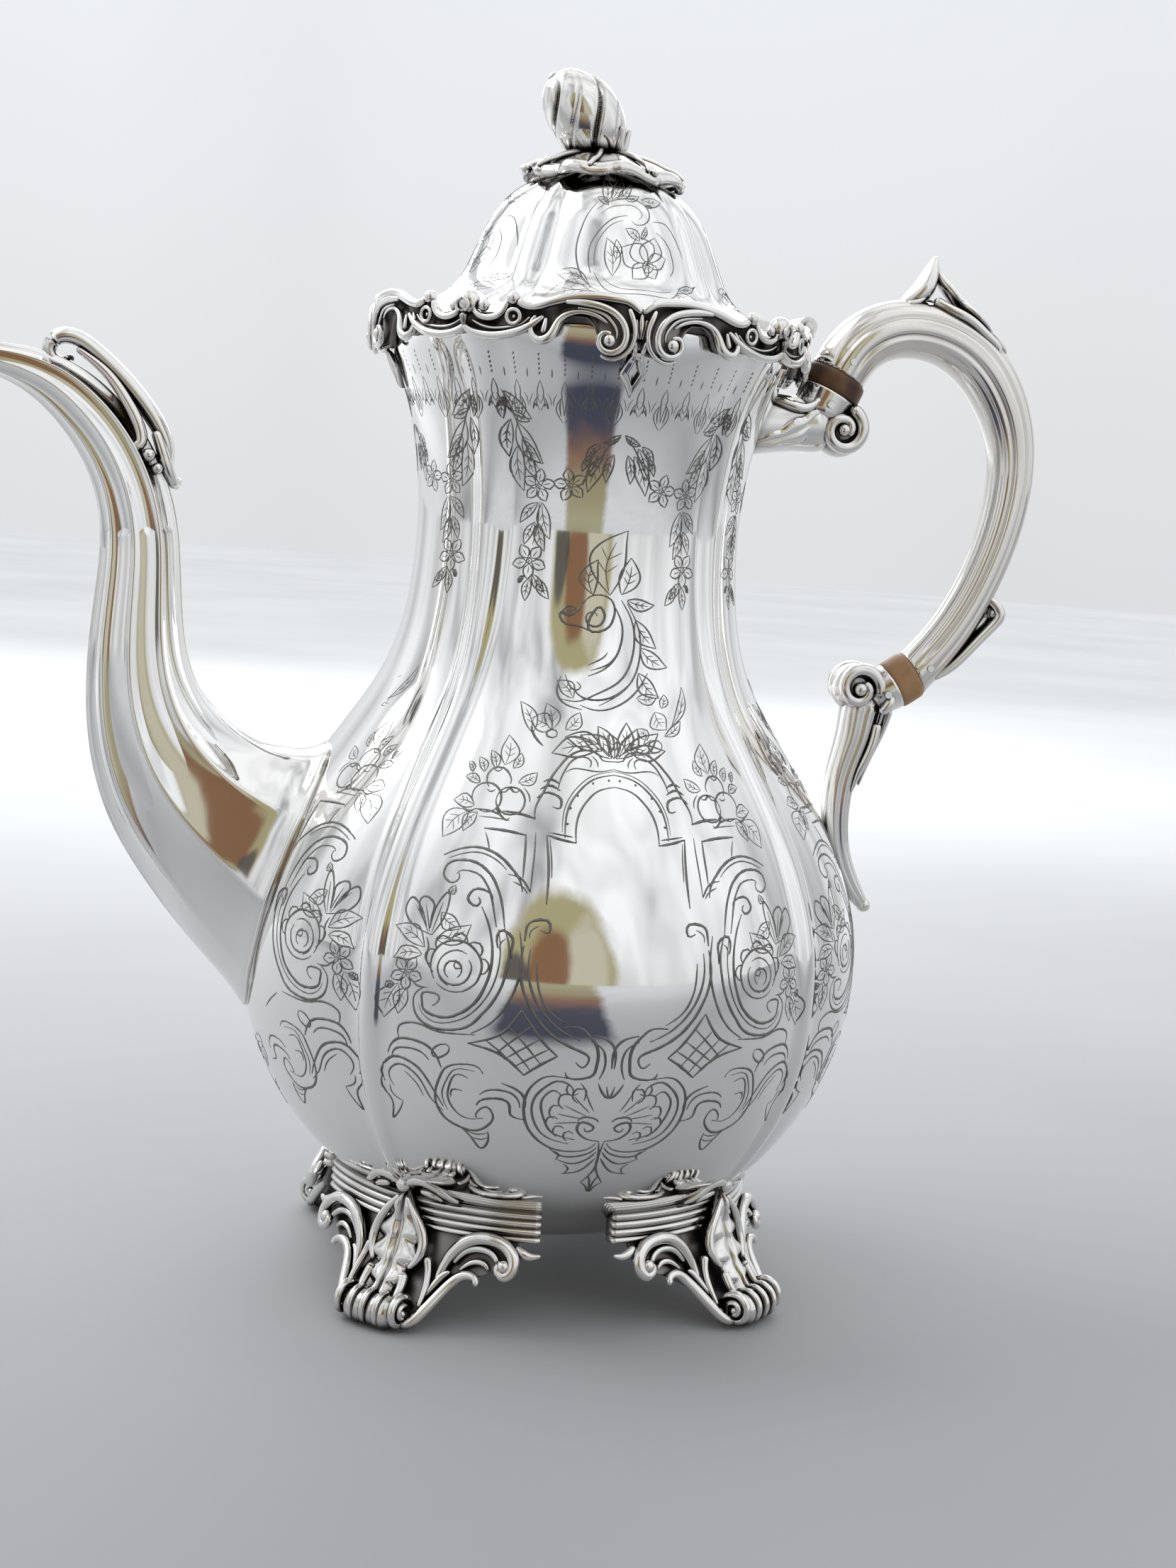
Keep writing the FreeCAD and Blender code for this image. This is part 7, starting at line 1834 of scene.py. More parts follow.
(0.36,[-28.3,167,-29.9,166.2,-30.3,165.2,-29.4,164.3,-28.4,163.7]),
(0.36,[-28.3,167,-26.8,166.1,-26.5,165.2,-27.5,164.3,-28.4,163.7]),
(0.216,[-28.3,166.5,-28.4,164.9]),
(0.36,[-29.4,167.5,-31.1,168.2,-32.8,168.1,-34,167.3,-34.7,166.6]),
(0.36,[-29.4,167.5,-30.3,166.4,-31.7,165.9,-33.4,166.2,-34.7,166.6]),
(0.216,[-30.2,167.4,-32.7,166.9]),
(0.36,[-27.2,167.8,-27.5,167.3,-28.2,167,-29,167.2,-29.4,167.6,-29.1,168.1,-28.4,168.4,-27.6,168.2,-27.2,167.8]),
(0.252,[-27.9,167.7,-28.1,167.5,-28.5,167.5,-28.7,167.7,-28.5,167.9,-28.1,167.9,-27.9,167.7]),
(0.34,[-30,163.9,-30.8,163.8,-31.4,163.5,-31.5,163,-31.5,162.7]),
(0.34,[-30,163.9,-30.2,163.5,-30.6,163.1,-31.1,162.8,-31.5,162.7]),
(0.238,[-30.1,163.8,-30.7,163.5,-31.3,163]),
(0.187,[-30.6,163.6,-31.1,163.5]),
(0.187,[-30.6,163.6,-30.6,163.3]),
(0.187,[-30.9,163.3,-31.4,163.3]),
(0.187,[-30.9,163.3,-30.9,163]),
(0.34,[-27.6,164,-29.5,162.9,-30.2,161.4,-29.5,160,-28.5,159]),
(0.34,[-27.6,164,-26.9,162.7,-27,161.1,-27.8,159.8,-28.5,159]),
(0.238,[-27.7,163.7,-28.4,162,-28.7,160.1]),
(0.187,[-28.3,162.5,-29.5,161.8]),
(0.187,[-28.3,162.5,-27.5,161.6]),
(0.187,[-28.5,161.5,-29.7,160.8]),
(0.187,[-28.5,161.5,-27.6,160.6]),
(0.34,[-26.8,164.9,-26.7,163.4,-25.6,162.1,-23.6,161.5,-22,161.2]),
(0.34,[-26.8,164.9,-24.9,164.4,-23.3,163.3,-22.5,162.1,-22,161.2]),
(0.238,[-26.6,164.7,-25.2,163.3,-23.3,161.9]),
(0.187,[-25.6,163.7,-25.6,162.7]),
(0.187,[-25.6,163.7,-24.2,163.4]),
(0.187,[-24.7,162.9,-24.6,162]),
(0.187,[-24.7,162.9,-23.2,162.7]),
(0.34,[-24.7,164.1,-25,162.5,-24,161,-22,160.2,-20.3,159.8]),
(0.34,[-24.7,164.1,-22.8,163.4,-21.3,162.1,-20.6,160.8,-20.3,159.8]),
(0.238,[-24.6,163.9,-23.3,162.2,-21.5,160.7]),
(0.187,[-23.7,162.7,-23.9,161.6]),
(0.187,[-23.7,162.7,-22.2,162.3]),
(0.187,[-22.9,161.8,-23,160.8]),
(0.187,[-22.9,161.8,-21.3,161.5]),
(0.34,[-29.6,164.5,-30.8,164.4,-31.6,163.9,-31.9,163.3,-31.9,162.8]),
(0.34,[-29.6,164.5,-29.9,163.9,-30.5,163.4,-31.3,163,-31.9,162.8]),
(0.238,[-29.8,164.4,-30.7,163.9,-31.6,163.2]),
(0.187,[-30.5,164.1,-31.2,164]),
(0.187,[-30.5,164.1,-30.5,163.6]),
(0.187,[-31,163.7,-31.7,163.6]),
(0.187,[-31,163.7,-31,163.3])]
NCEN = [
(0.5,[-4,156.9,-4.2,157.3,-4.6,157.6,-5.3,157.8,-6.1,157.7,-6.8,157.5,-7.4,157,-7.6,156.4,-7.4,155.8,-6.9,155.2,-5.9,154.8,-4.7,154.6,-3.5,154.8,-2.4,155.4,-1.7,156.2,-1.5,157.2,-2,158.1,-3.1,158.9,-5.9,153.6,-1.8,153.9,1.3,156.3,1.6,159.3,-1.4,161.3,-5.6,161.3,-8.7,159.5]),
(0.5,[-8.7,159.5,-10.8,157.6,-13.5,156.8,-15.8,157.3,-14.4,155,-10.5,154.6,-5.9,153.6]),
(0.45,[1.6,159.3,4.2,155.8,4.2,151.6,1.9,147.9,-2,145.4,-6.2,144.1]),
(0.45,[3.9,160.6,7.6,156.5,8.5,151.1,6.5,146.3,2.2,142.7,-4.5,140.1,-9.3,138.7,-14,139.1]),
(0.4,[5.9,160,10.1,154.7,10.6,150,8.7,145.2,3.8,141,-2.9,138.1]),
(0.4,[0,161.6,3,164.9,4.7,169.1,4.7,173,5,175.6]),
(0.4,[0,161.6,-6.2,166.1,-6.9,170.6,-1.2,173.8,5,175.6]),
(0.28,[-0.5,162.4,-1.8,167.7,1.1,172.9]),
(0.22,[-1.8,166.3,2,168.1]),
(0.22,[-1.8,166.3,-5.2,169.1]),
(0.22,[-1.5,169.1,3.3,170.8]),
(0.22,[-1.5,169.1,-3.9,171.8]),
(0.4,[3.9,161.8,8.3,163.3,10.3,165.6,8.7,168.1,6.7,169.8]),
(0.4,[3.9,161.8,2.9,164,3.3,166.5,5.2,168.5,6.7,169.8]),
(0.28,[4.3,162.1,6.3,164.8,7,168]),
(0.22,[5.9,164.1,8.7,165.1]),
(0.22,[5.9,164.1,4.4,165.6]),
(0.22,[6.7,165.6,9.1,166.7]),
(0.22,[6.7,165.6,4.8,167.2]),
(0.4,[5.9,160.6,8,159,10.8,158.4,13.8,159,16,159.9]),
(0.4,[5.9,160.6,8.5,161,11.5,160.8,14.1,160.2,16,159.9]),
(0.28,[6.3,160.5,9.7,159.8,13.5,159.6]),
(0.22,[8.7,159.9,10.1,159]),
(0.22,[8.7,159.9,10.4,160.4]),
(0.22,[10.7,159.7,12.1,158.9]),
(0.22,[10.7,159.7,12.5,160.3]),
(0.4,[9.1,156.5,8.6,153.9,10,151.8,13.4,150.9,16.4,150.6]),
(0.4,[9.1,156.5,11.9,155.4,14.2,153.7,15.5,151.9,16.4,150.6]),
(0.28,[9.3,156.1,11.1,153.7,14.1,151.6]),
(0.22,[10.5,154.3,10.2,152.7]),
(0.22,[10.5,154.3,12.8,153.9]),
(0.22,[11.7,153.1,11.7,151.6]),
(0.22,[11.7,153.1,14.3,152.8]),
(0.4,[10.7,150.6,11.1,148,13.3,146.4,17,146.2,20.1,146.6]),
(0.4,[10.7,150.6,13.6,150.1,16.6,149,18.7,147.5,20.1,146.6]),
(0.28,[11,150.2,13.5,148.3,17.4,147]),
(0.22,[12.7,148.8,13.1,147.2]),
(0.22,[12.7,148.8,15.1,148.9]),
(0.22,[14.4,147.9,15,146.5]),
(0.22,[14.4,147.9,17.1,148.1]),
(0.4,[9.6,145.2,8.9,142.8,10.1,140.9,13,140.2,15.6,140.1]),
(0.4,[9.6,145.2,12.1,144.4,14.1,142.9,15,141.2,15.6,140.1]),
(0.28,[9.8,144.9,11.2,142.7,13.7,140.9]),
(0.22,[10.7,143.3,10.3,141.8]),
(0.22,[10.7,143.3,12.8,143]),
(0.22,[11.7,142.2,11.5,140.8]),
(0.22,[11.7,142.2,14,142]),
(0.4,[-5.6,161.4,-4.8,163.3,-4.4,165.5,-4.7,167.6,-4.6,169]),
(0.4,[-5.6,161.4,-9.5,163.5,-10.4,165.8,-7.7,167.7,-4.6,169]),
(0.28,[-6,161.8,-7.5,164.5,-6.5,167.4]),
(0.22,[-7.3,163.8,-5.7,164.9]),
(0.22,[-7.3,163.8,-9.3,165.1]),
(0.22,[-7.5,165.3,-5.2,166.4]),
(0.22,[-7.5,165.3,-8.9,166.6]),
(0.4,[-10.9,158.2,-12.5,158.7,-14.1,158.5,-15.2,157.7,-15.8,157]),
(0.4,[-10.9,158.2,-11.7,157.1,-13.1,156.6,-14.6,156.8,-15.8,157]),
(0.28,[-11.1,158.1,-12.8,157.7,-14.7,157.3]),
(0.22,[-12.3,157.8,-13.5,158.2]),
(0.22,[-12.3,157.8,-12.8,157]),
(0.22,[-13.3,157.6,-14.4,158]),
(0.22,[-13.3,157.6,-13.8,156.8]),
(0.4,[-14.2,143.7,-15,140.7,-12.3,138,-7.6,137.1]),
(0.35,[-13,144.1,-9.4,141,-8.2,141.7,-9.5,142.8]),
(0.35,[-6.3,146.4,-1.2,148.4,-0.3,149.3]),
(0.35,[-5.4,145.3,-0.3,146.7,2.8,149.2])]


def stroke(b, uv, w, surf, off=0.0, step=0.9):
    """a fine ridge-shaped sliver along uv on the surface, tapered at both ends"""
    uv = np.asarray(uv, float)
    if len(uv) > 2:
        P0 = surf(uv[:, 0], uv[:, 1], np.zeros(len(uv)))
        L = np.linalg.norm(np.diff(P0, axis=0), axis=1).sum()
    else:
        P0 = surf(uv[:, 0], uv[:, 1], np.zeros(2))
        L = float(np.linalg.norm(P0[1] - P0[0]))
    n = int(np.clip(round(L / step), 3, 60)) + 1
    k = np.array([0.35, 1.0])  # degrees weigh less than mm when spacing the points
    Q = spline(uv * k, n) / k if len(uv) > 2 else uv[0] + (uv[1] - uv[0]) * np.linspace(0, 1, n)[:, None]
    P = surf(Q[:, 0], Q[:, 1], np.full(n, off))
    Pn = unit(surf(Q[:, 0], Q[:, 1], np.full(n, off + 0.5)) - P)
    T = unit(np.gradient(P, axis=0))
    B = unit(np.cross(T, Pn))
    t = np.linspace(0, 1, n)
    ww = 0.5 * w * (0.25 + 0.75 * np.sin(PI * np.clip(t, 0.02, 0.98)) ** 0.5)
    A = P + B * ww[:, None] - 0.03 * Pn
    C = P - B * ww[:, None] - 0.03 * Pn
    D = P + Pn * (0.055 + 0.03 * ww[:, None])
    V = np.concatenate([A, D, C])
    i = np.arange(n - 1)
    F4 = np.concatenate([np.stack([i, i + 1, i + 1 + n, i + n], -1), np.stack([i + n, i + n + 1, i + 2 * n + 1, i + 2 * n], -1), np.stack([i + 2 * n, i + 2 * n + 1, i + 1, i], -1)])
    F3 = np.array([[0, n, 2 * n], [n - 1, 3 * n - 1, 2 * n - 1]])
    b.add(V, [F4, F3])


def engrave(b, strokes, a0, mirror, wk=1.0, keep=None, surf=body_pt):
    for w_, f in strokes:
        uv = np.array(f, float).reshape(-1, 2)
        for s in ((1, -1) if mirror else (1,)):
            q = uv.copy()
            q[:, 0] = q[:, 0] * s
            if keep is not None and not keep(q):
                continue
            q[:, 0] += a0
            stroke(b, q, w_ * wk, surf)


def lambrequins(b, a0):
    """feathered tongues that hang under the border, with lines of dots over them"""
    for i in range(12):
        a = -41.25 + 7.5 * i
        if abs(a) < 3.0 and a0 != 90:
            continue
        long_ = i % 2
        z1 = 197.4 if long_ else 199.8
        za = 206.0
        d = 2.5
        for s in (1, -1):
            stroke(b, np.array([(a0 + a, za), (a0 + a + s * .9, 204.2), (a0 + a + s * .7, 202.0), (a0 + a, z1 + 1.5)]), .36, body_pt)
            stroke(b, np.array([(a0 + a + s * .4, 203.0), (a0 + a + s * 2.0, 201.6), (a0 + a + s * 2.5, 200.0), (a0 + a + s * 1.7, z1 + 1.4), (a0 + a + s * .2, z1)]), .4, body_pt)
            stroke(b, np.array([(a0 + a + s * 2.3, 203.4), (a0 + a + s * 3.3, 202.0), (a0 + a + s * 3.4, 200.8)]), .3, body_pt)
            stroke(b, np.array([(a0 + a + s * 1.2, 202.2), (a0 + a + s * 1.4, 200.6), (a0 + a + s * .9, z1 + 1.4)]), .5, body_pt)
        for k_ in range(5):
            z = 207.2 + 0.95 * k_
            stroke(b, np.array([(a0 + a - .12, z), (a0 + a + .12, z + .55)]), .5, body_pt)
        stroke(b, np.array([(a0 + a + 3.75, 206.6), (a0 + a + 3.75, 208.4)]), .42, body_pt)


def engraving(name, fill, body="pot", mat=None):
    b = Build()
    fill(b)
    return piece(name, b, mat or M_CUT_PAINTED_SHADE, body, fix=False)


WK = 1.6


def low_front(b, a0, keep=None):
    engrave(b, LOW, a0, True, WK, keep)
    engrave(b, CEN, a0, False, WK, keep)


engraving("engraving_front_low", lambda b: low_front(b, 0))
engraving("engraving_front_neck", lambda b: (engrave(b, NECK, 0, True, WK), engrave(b, NCEN, 0, False, WK), lambrequins(b, 0)))
engraving("engraving_back_low", lambda b: low_front(b, 180))
engraving("engraving_back_neck", lambda b: (engrave(b, NECK, 180, True, WK), engrave(b, NCEN, 180, False, WK), lambrequins(b, 180)))


def clear_of(lo_z, hi_z, half):
    def keep(q):
        inside = (np.abs(q[:, 0]) < half) & (q[:, 1] > lo_z) & (q[:, 1] < hi_z)
        return not inside.any()
    return keep


engraving("engraving_spout_side", lambda b: (low_front(b, -90, clear_of(58, 170, 17)), engrave(b, NECK, -90, True, WK), lambrequins(b, -90)))
engraving("engraving_handle_side", lambda b: (low_front(b, 90, clear_of(82, 165, 9)), engrave(b, NECK, 90, True, WK, clear_of(190, 215, 16))))

# ------------------------------------------------------------------ engraving on the lid: heights here are lengths down the dome's section
LIDS = [
(0.42,[-13.8,246,-18,243.4,-20,240.9,-21.5,237.6,-21.5,234.7,-19.8,231.6,-16.8,228.8,-13,226.8,-10.4,226]),
(0.42,[2,243.3,-3.8,242.7,-7.5,241.7,-11.3,239.9,-14,238,-15.5,236.1,-15.8,234.5,-15.4,232.3,-14.3,230.1]),
(0.3,[-0,242.2,-4.7,241.4,-9.1,239.6,-12.2,237,-13.3,234.6,-12.9,231.8]),
(0.42,[-13.4,244.4,-8.7,245.9,-3.6,246.7,2.8,247.2,8.2,247.1,13.4,246,14.8,244.3,12.9,242.6,9.5,241.6,6,241.5,4,242.2]),
(0.3,[-11.4,243.4,-6.7,244.9,-0.6,245.6,5.6,245.7,9.6,244.8,10.2,243.7,8.1,242.7]),
(0.42,[16.2,242.7,20.8,243,25.3,242.8,29.5,241.1,32.1,239.2,33.9,237.8,34.7,236.4]),
(0.42,[17.1,240.4,20.7,239.4,23.9,237.6,24.9,235.3,24.4,232.9,21.7,231.3]),
(0.4,[-12.8,230.2,-10.5,228,-7.2,226.2,-4,225.8,-0.8,225.8,3.8,226,9.2,226,12.7,225.9,16.5,226,21.1,227.3,25.9,229.4]),
(0.3,[-9.8,229.5,-5.7,227.6,-0.5,226.9,6.5,227.1,13.8,227.1,19.2,227.8]),
(0.38,[-8.7,246.2,-5.8,247.6,-4.6,249.4,-6.8,250.9,-9.9,251.9]),
(0.38,[-8.7,246.2,-10.4,247.3,-11.2,249,-10.5,250.7,-9.9,251.9]),
(0.266,[-8.6,246.4,-8,248.3,-8.5,250.6]),
(0.209,[-8.1,247.7,-6,248.8]),
(0.209,[-8.1,247.7,-9.9,248.5]),
(0.209,[-8,248.9,-6,250]),
(0.209,[-8,248.9,-10.2,249.7]),
(0.38,[-5.7,246.7,-1.5,247.6,2,249.3,3.3,251.1,3.2,252.5]),
(0.38,[-5.7,246.7,-5.9,248.1,-4,249.9,-0.2,251.4,3.2,252.5]),
(0.266,[-5.3,246.9,-2.4,248.7,1.2,251]),
(0.209,[-3.3,248.1,-0,248.9]),
(0.209,[-3.3,248.1,-3.6,249.2]),
(0.209,[-1.4,249.3,2,250.1]),
(0.209,[-1.4,249.3,-1.9,250.4]),
(0.38,[-2.6,246.9,1.4,247.1,4.4,248,7.4,249.6,9.6,250.8]),
(0.38,[-2.6,246.9,-1.5,248,1.9,249.3,6.2,250.2,9.6,250.8]),
(0.266,[-2.1,247,1.3,248,6.2,249.7]),
(0.209,[0.4,247.7,3,247.9]),
(0.209,[0.4,247.7,1.3,248.7]),
(0.209,[2.6,248.4,5.3,248.7]),
(0.209,[2.6,248.4,3.8,249.5]),
(0.38,[1.7,247.1,4.1,246.6,6.8,246.7,9.3,247.4,11.2,248.2]),
(0.38,[1.7,247.1,3.8,247.7,6.6,248.1,9.3,248.1,11.2,248.2]),
(0.266,[2.1,247.1,5.3,247.2,8.8,247.7]),
(0.209,[4.4,247.2,6,246.8]),
(0.209,[4.4,247.2,5.8,247.7]),
(0.209,[6.2,247.3,7.8,247.1]),
(0.209,[6.2,247.3,7.6,247.9]),
(0.38,[11.7,247.4,14.7,246.3,18.9,246.2,23.7,247.1,28.1,248.2]),
(0.38,[11.7,247.4,15.7,248,21.4,248.4,25.4,248.3,28.1,248.2]),
(0.266,[12.4,247.3,17.3,247.2,23.4,247.6]),
(0.209,[15.9,247.2,17.8,246.5]),
(0.209,[15.9,247.2,18.7,247.9]),
(0.209,[18.8,247.2,20.9,246.7]),
(0.209,[18.8,247.2,22.1,248.1]),
(0.38,[13.5,246.2,14.4,245.8,15.9,245.7,17.6,246,18.8,246.3]),
(0.38,[13.5,246.2,15,246.4,16.6,246.5,17.9,246.4,18.8,246.3]),
(0.266,[13.7,246.2,15.4,246.1,17.5,246.1]),
(0.209,[14.9,246.1,15.5,245.8]),
(0.209,[14.9,246.1,16,246.3]),
(0.209,[16,246.1,16.6,245.8]),
(0.209,[16,246.1,17.1,246.4]),
(0.38,[-7.7,245.4,-8,246.5,-9.6,247.2,-12,247.3,-14,247.2]),
(0.38,[-7.7,245.4,-9.7,245.6,-11.7,246.1,-13.1,246.8,-14,247.2]),
(0.266,[-7.9,245.5,-9.7,246.4,-12.3,247]),
(0.209,[-9.1,246.1,-9.4,246.8]),
(0.209,[-9.1,246.1,-10.7,246.1]),
(0.209,[-10.3,246.6,-10.7,247.2]),
(0.209,[-10.3,246.6,-12,246.5]),
(0.38,[10.3,233.1,10.6,235.9,7.8,237.4,2.6,236.9,-1.3,236.2]),
(0.38,[10.3,233.1,4.5,231.8,0.5,232.2,-0.9,234.4,-1.3,236.2]),
(0.38,[10.3,233.1,14.1,235.6,14.2,237.6,9.9,238.5,6.1,238.8]),
(0.38,[10.3,233.1,4.8,233.4,2.4,234.9,4,237.1,6.1,238.8]),
(0.38,[10.3,233.1,15.7,234.3,18.6,236,17.4,237.8,15.6,239.1]),
(0.38,[10.3,233.1,7.3,234.8,7.7,236.7,11.7,238.1,15.6,239.1]),
(0.38,[10.3,233.1,13.2,232.1,16.3,232.3,18.8,233.7,20.5,234.9]),
(0.38,[10.3,233.1,12.2,234.9,15.1,235.8,18.3,235.4,20.5,234.9]),
(0.38,[10.3,233.1,8.6,231.6,8.9,230.5,11.1,230.1,13.1,230]),
(0.38,[10.3,233.1,13.6,233,15.1,232.3,14.2,231,13.1,230]),
(0.38,[10.3,233.1,6.3,233.1,3.6,232.3,3.1,230.7,2.9,229.4]),
(0.38,[10.3,233.1,10.4,231.2,8.7,229.9,5.4,229.5,2.9,229.4]),
(0.36,[13,232.6,12.3,231.8,10.8,231.2,9.3,231.1,8.2,231.6,7.9,232.3,8.5,233.2,9.9,233.7,11.5,233.8,12.7,233.4,13,232.6]),
(0.3,[11.4,232.5,10.9,232.1,10,232,9.4,232.2,9.5,232.6,10.3,232.9,11.1,232.9,11.4,232.5]),
(0.36,[-5.4,229.7,-2.5,232.2,-2.1,234.8,-5.1,236.8,-8.1,238]),
(0.36,[-5.4,229.7,-7.6,231.6,-8.8,234,-8.5,236.4,-8.1,238]),
(0.252,[-5.3,230.2,-5.2,233.2,-6.5,236.3]),
(0.198,[-5.1,232.3,-3.2,233.9]),
(0.198,[-5.1,232.3,-7.3,233.4]),
(0.198,[-5.4,234,-3.8,235.5]),
(0.198,[-5.4,234,-8,235.1]),
(0.36,[-3.9,233.4,-1.9,234.5,-1.3,235.9,-2.4,237,-3.7,237.8]),
(0.36,[-3.9,233.4,-4.8,234.4,-4.9,235.8,-4.3,237,-3.7,237.8]),
(0.252,[-3.8,233.6,-3.2,235.2,-3.3,236.8]),
(0.198,[-3.3,234.7,-2,235.5]),
(0.198,[-3.3,234.7,-4.2,235.4]),
(0.198,[-3.1,235.6,-2,236.3]),
(0.198,[-3.1,235.6,-4.3,236.3]),
(0.36,[7.4,237.9,7.4,239.3,5.8,240.3,2.9,240.5,0.7,240.4]),
(0.36,[7.4,237.9,5.1,238.2,2.9,238.8,1.6,239.8,0.7,240.4]),
(0.252,[7.2,238.1,5.3,239.2,2.6,240]),
(0.198,[5.9,238.9,5.8,239.8]),
(0.198,[5.9,238.9,4.1,238.9]),
(0.198,[4.7,239.4,4.4,240.2]),
(0.198,[4.7,239.4,2.6,239.3]),
(0.36,[8.5,238.3,10.6,239,11.8,239.8,11.8,240.7,11.4,241.3]),
(0.36,[8.5,238.3,8.5,239.1,9.2,240,10.5,240.8,11.4,241.3]),
(0.252,[8.7,238.5,10.1,239.5,11.1,240.6]),
(0.198,[9.7,239.2,11.1,239.6]),
(0.198,[9.7,239.2,9.4,239.7]),
(0.198,[10.4,239.8,11.6,240.2]),
(0.198,[10.4,239.8,10,240.3]),
(0.36,[-13.7,226.8,-17.7,229.2,-23.2,230.2,-28.1,229.4,-30.9,228.3]),
(0.36,[-13.7,226.8,-17.7,226.3,-22.6,226.6,-27.4,227.6,-30.9,228.3]),
(0.252,[-14.5,227,-20.3,228.1,-27,228.5]),
(0.198,[-18.5,227.9,-21.5,229.4]),
(0.198,[-18.5,227.9,-21.2,227.1]),
(0.198,[-22,228.3,-25.2,229.7]),
(0.198,[-22,228.3,-24.6,227.4]),
(0.36,[-14.5,227.6,-17.3,230,-21.5,231.2,-26.2,231.1,-29.5,230.5]),
(0.36,[-14.5,227.6,-18.1,227.6,-22.5,228.3,-26.7,229.6,-29.5,230.5]),
(0.252,[-15.1,227.9,-19.9,229.4,-25.8,230.3]),
(0.198,[-18.5,229,-20.5,230.5]),
(0.198,[-18.5,229,-21,228.7]),
(0.198,[-21.4,229.7,-23.5,231]),
(0.198,[-21.4,229.7,-24.1,229.2]),
(0.36,[-13.5,225.9,-18.9,227.9,-24.9,228.1,-28.7,226.3,-30.5,224.4]),
(0.36,[-13.5,225.9,-17.5,224.5,-22.2,223.9,-27,224.2,-30.5,224.4]),
(0.252,[-14.5,226,-20.9,226.2,-27.3,225.4]),
(0.198,[-19.1,226.2,-22.7,227.5]),
(0.198,[-19.1,226.2,-21.2,224.8]),
(0.198,[-22.6,226.1,-26.3,227.1]),
(0.198,[-22.6,226.1,-24.5,224.4]),
(0.36,[-11,225.6,-14.4,226.2,-17.5,225.7,-19.2,224.1,-19.6,222.6]),
(0.36,[-11,225.6,-13,224.3,-15.5,223.3,-18,222.8,-19.6,222.6]),
(0.252,[-11.5,225.6,-15.1,224.9,-18.3,223.6]),
(0.198,[-14.2,225.2,-16.3,225.5]),
(0.198,[-14.2,225.2,-15.1,224]),
(0.198,[-16.1,224.7,-18.1,224.9]),
(0.198,[-16.1,224.7,-16.8,223.4]),
(0.36,[21.3,227.5,22.2,226.3,25.1,225.9,29.9,226.7,34.4,227.6]),
(0.36,[21.3,227.5,25.3,228.1,29.4,228.2,32.4,227.8,34.4,227.6]),
(0.252,[21.8,227.4,25.3,227,30.5,227.2]),
(0.198,[24.2,227.1,24.8,226.3]),
(0.198,[24.2,227.1,27.3,227.7]),
(0.198,[26.5,227,27.3,226.4]),
(0.198,[26.5,227,30.1,227.8]),
(0.36,[24.1,228.9,26.2,228.3,29.8,228.6,35,229.6,38.3,230.6]),
(0.36,[24.1,228.9,28,229.7,32,230.3,35.7,230.4,38.3,230.6]),
(0.252,[24.7,228.9,29,229.2,35,230]),
(0.198,[27.7,229.1,29,228.7]),
(0.198,[27.7,229.1,30.7,229.8]),
(0.198,[30.4,229.3,32,229.1]),
(0.198,[30.4,229.3,33.4,230.2])]


def lid_surf(a, z, off):
    return lid_pt(a, lid_s_of_z(z), off)


for nm_, a0_ in (("front", 0), ("back", 180), ("spout", -90), ("handle", 90)):
    engraving("engraving_lid_" + nm_, lambda b, q=a0_: engrave(b, LIDS, q, False, 1.15, (lambda uv: not (uv[:, 1] < 224.5).any()) if q == 90 else None, lid_surf), "lid")


# ------------------------------------------------------------------ floor, light
def floor():
    n = 60
    bm = bmesh.new()
    rings = [0.0, .15, .3, .5, .8, 1.2, 1.8, 2.6, 3.6, 5.0]
    vs = []
    for r in rings[1:]:
        vs.append([bm.verts.new((X0 / 1000 + r * math.cos(2 * PI * k / n), r * math.sin(2 * PI * k / n), 0)) for k in range(n)])
    c = bm.verts.new((X0 / 1000, 0, 0))
    for k in range(n):
        bm.faces.new((c, vs[0][k], vs[0][(k + 1) % n]))
        for a_, b_ in zip(vs[:-1], vs[1:]):
            bm.faces.new((a_[k], b_[k], b_[(k + 1) % n], a_[(k + 1) % n]))
    me = bpy.data.meshes.new("floor")
    bm.to_mesh(me)
    bm.free()
    ob = bpy.data.objects.new("floor", me)
    bpy.context.scene.collection.objects.link(ob)
    m, nt, bs_ = new_mat("floor_cloth")
    v = mapped(nt)
    n1 = noise(nt, v, 3.0, 3.0, 0.5)
    c = ramp(nt, n1.outputs[0], [(0.3, (0.90, 0.90, 0.90)), (0.7, (1.0, 1.0, 1.0))])
    # painted shade: the floor colour dips to its darkest about 0.24 m in front of the pot toward the camera, and grows
    # brighter behind the pot and far off
    sp_ = node(nt, "ShaderNodeSeparateXYZ")
    nt.links.new(v, sp_.inputs[0])
    mr_ = node(nt, "ShaderNodeMapRange")
    mr_.inputs["From Min"].default_value = -2.0
    mr_.inputs["From Max"].default_value = 2.0
    nt.links.new(sp_.outputs[1], mr_.inputs["Value"])
    floor_painted_shade = ramp(nt, mr_.outputs[0], [(0.0, (0.80, 0.81, 0.83)), (0.20, (0.74, 0.75, 0.77)), (0.325, (0.60, 0.61, 0.625)), (0.40, (0.43, 0.435, 0.45)), (0.44, (0.36, 0.365, 0.375)), (0.50, (0.46, 0.465, 0.475)), (0.60, (0.60, 0.605, 0.615)), (0.72, (0.82, 0.83, 0.845)), (0.90, (0.95, 0.96, 0.97))])
    mm_ = node(nt, "ShaderNodeMix", data_type="RGBA", blend_type="MULTIPLY")
    mm_.inputs[0].default_value = 1.0
    nt.links.new(c.outputs[0], mm_.inputs[6])
    nt.links.new(floor_painted_shade.outputs[0], mm_.inputs[7])
    nt.links.new(mm_.outputs[2], bs_.inputs["Base Color"])
    bs_.inputs["Roughness"].default_value = 0.75
    bs_.inputs["Specular IOR Level"].default_value = 0.2
    me.materials.append(m)
    return ob


floor()


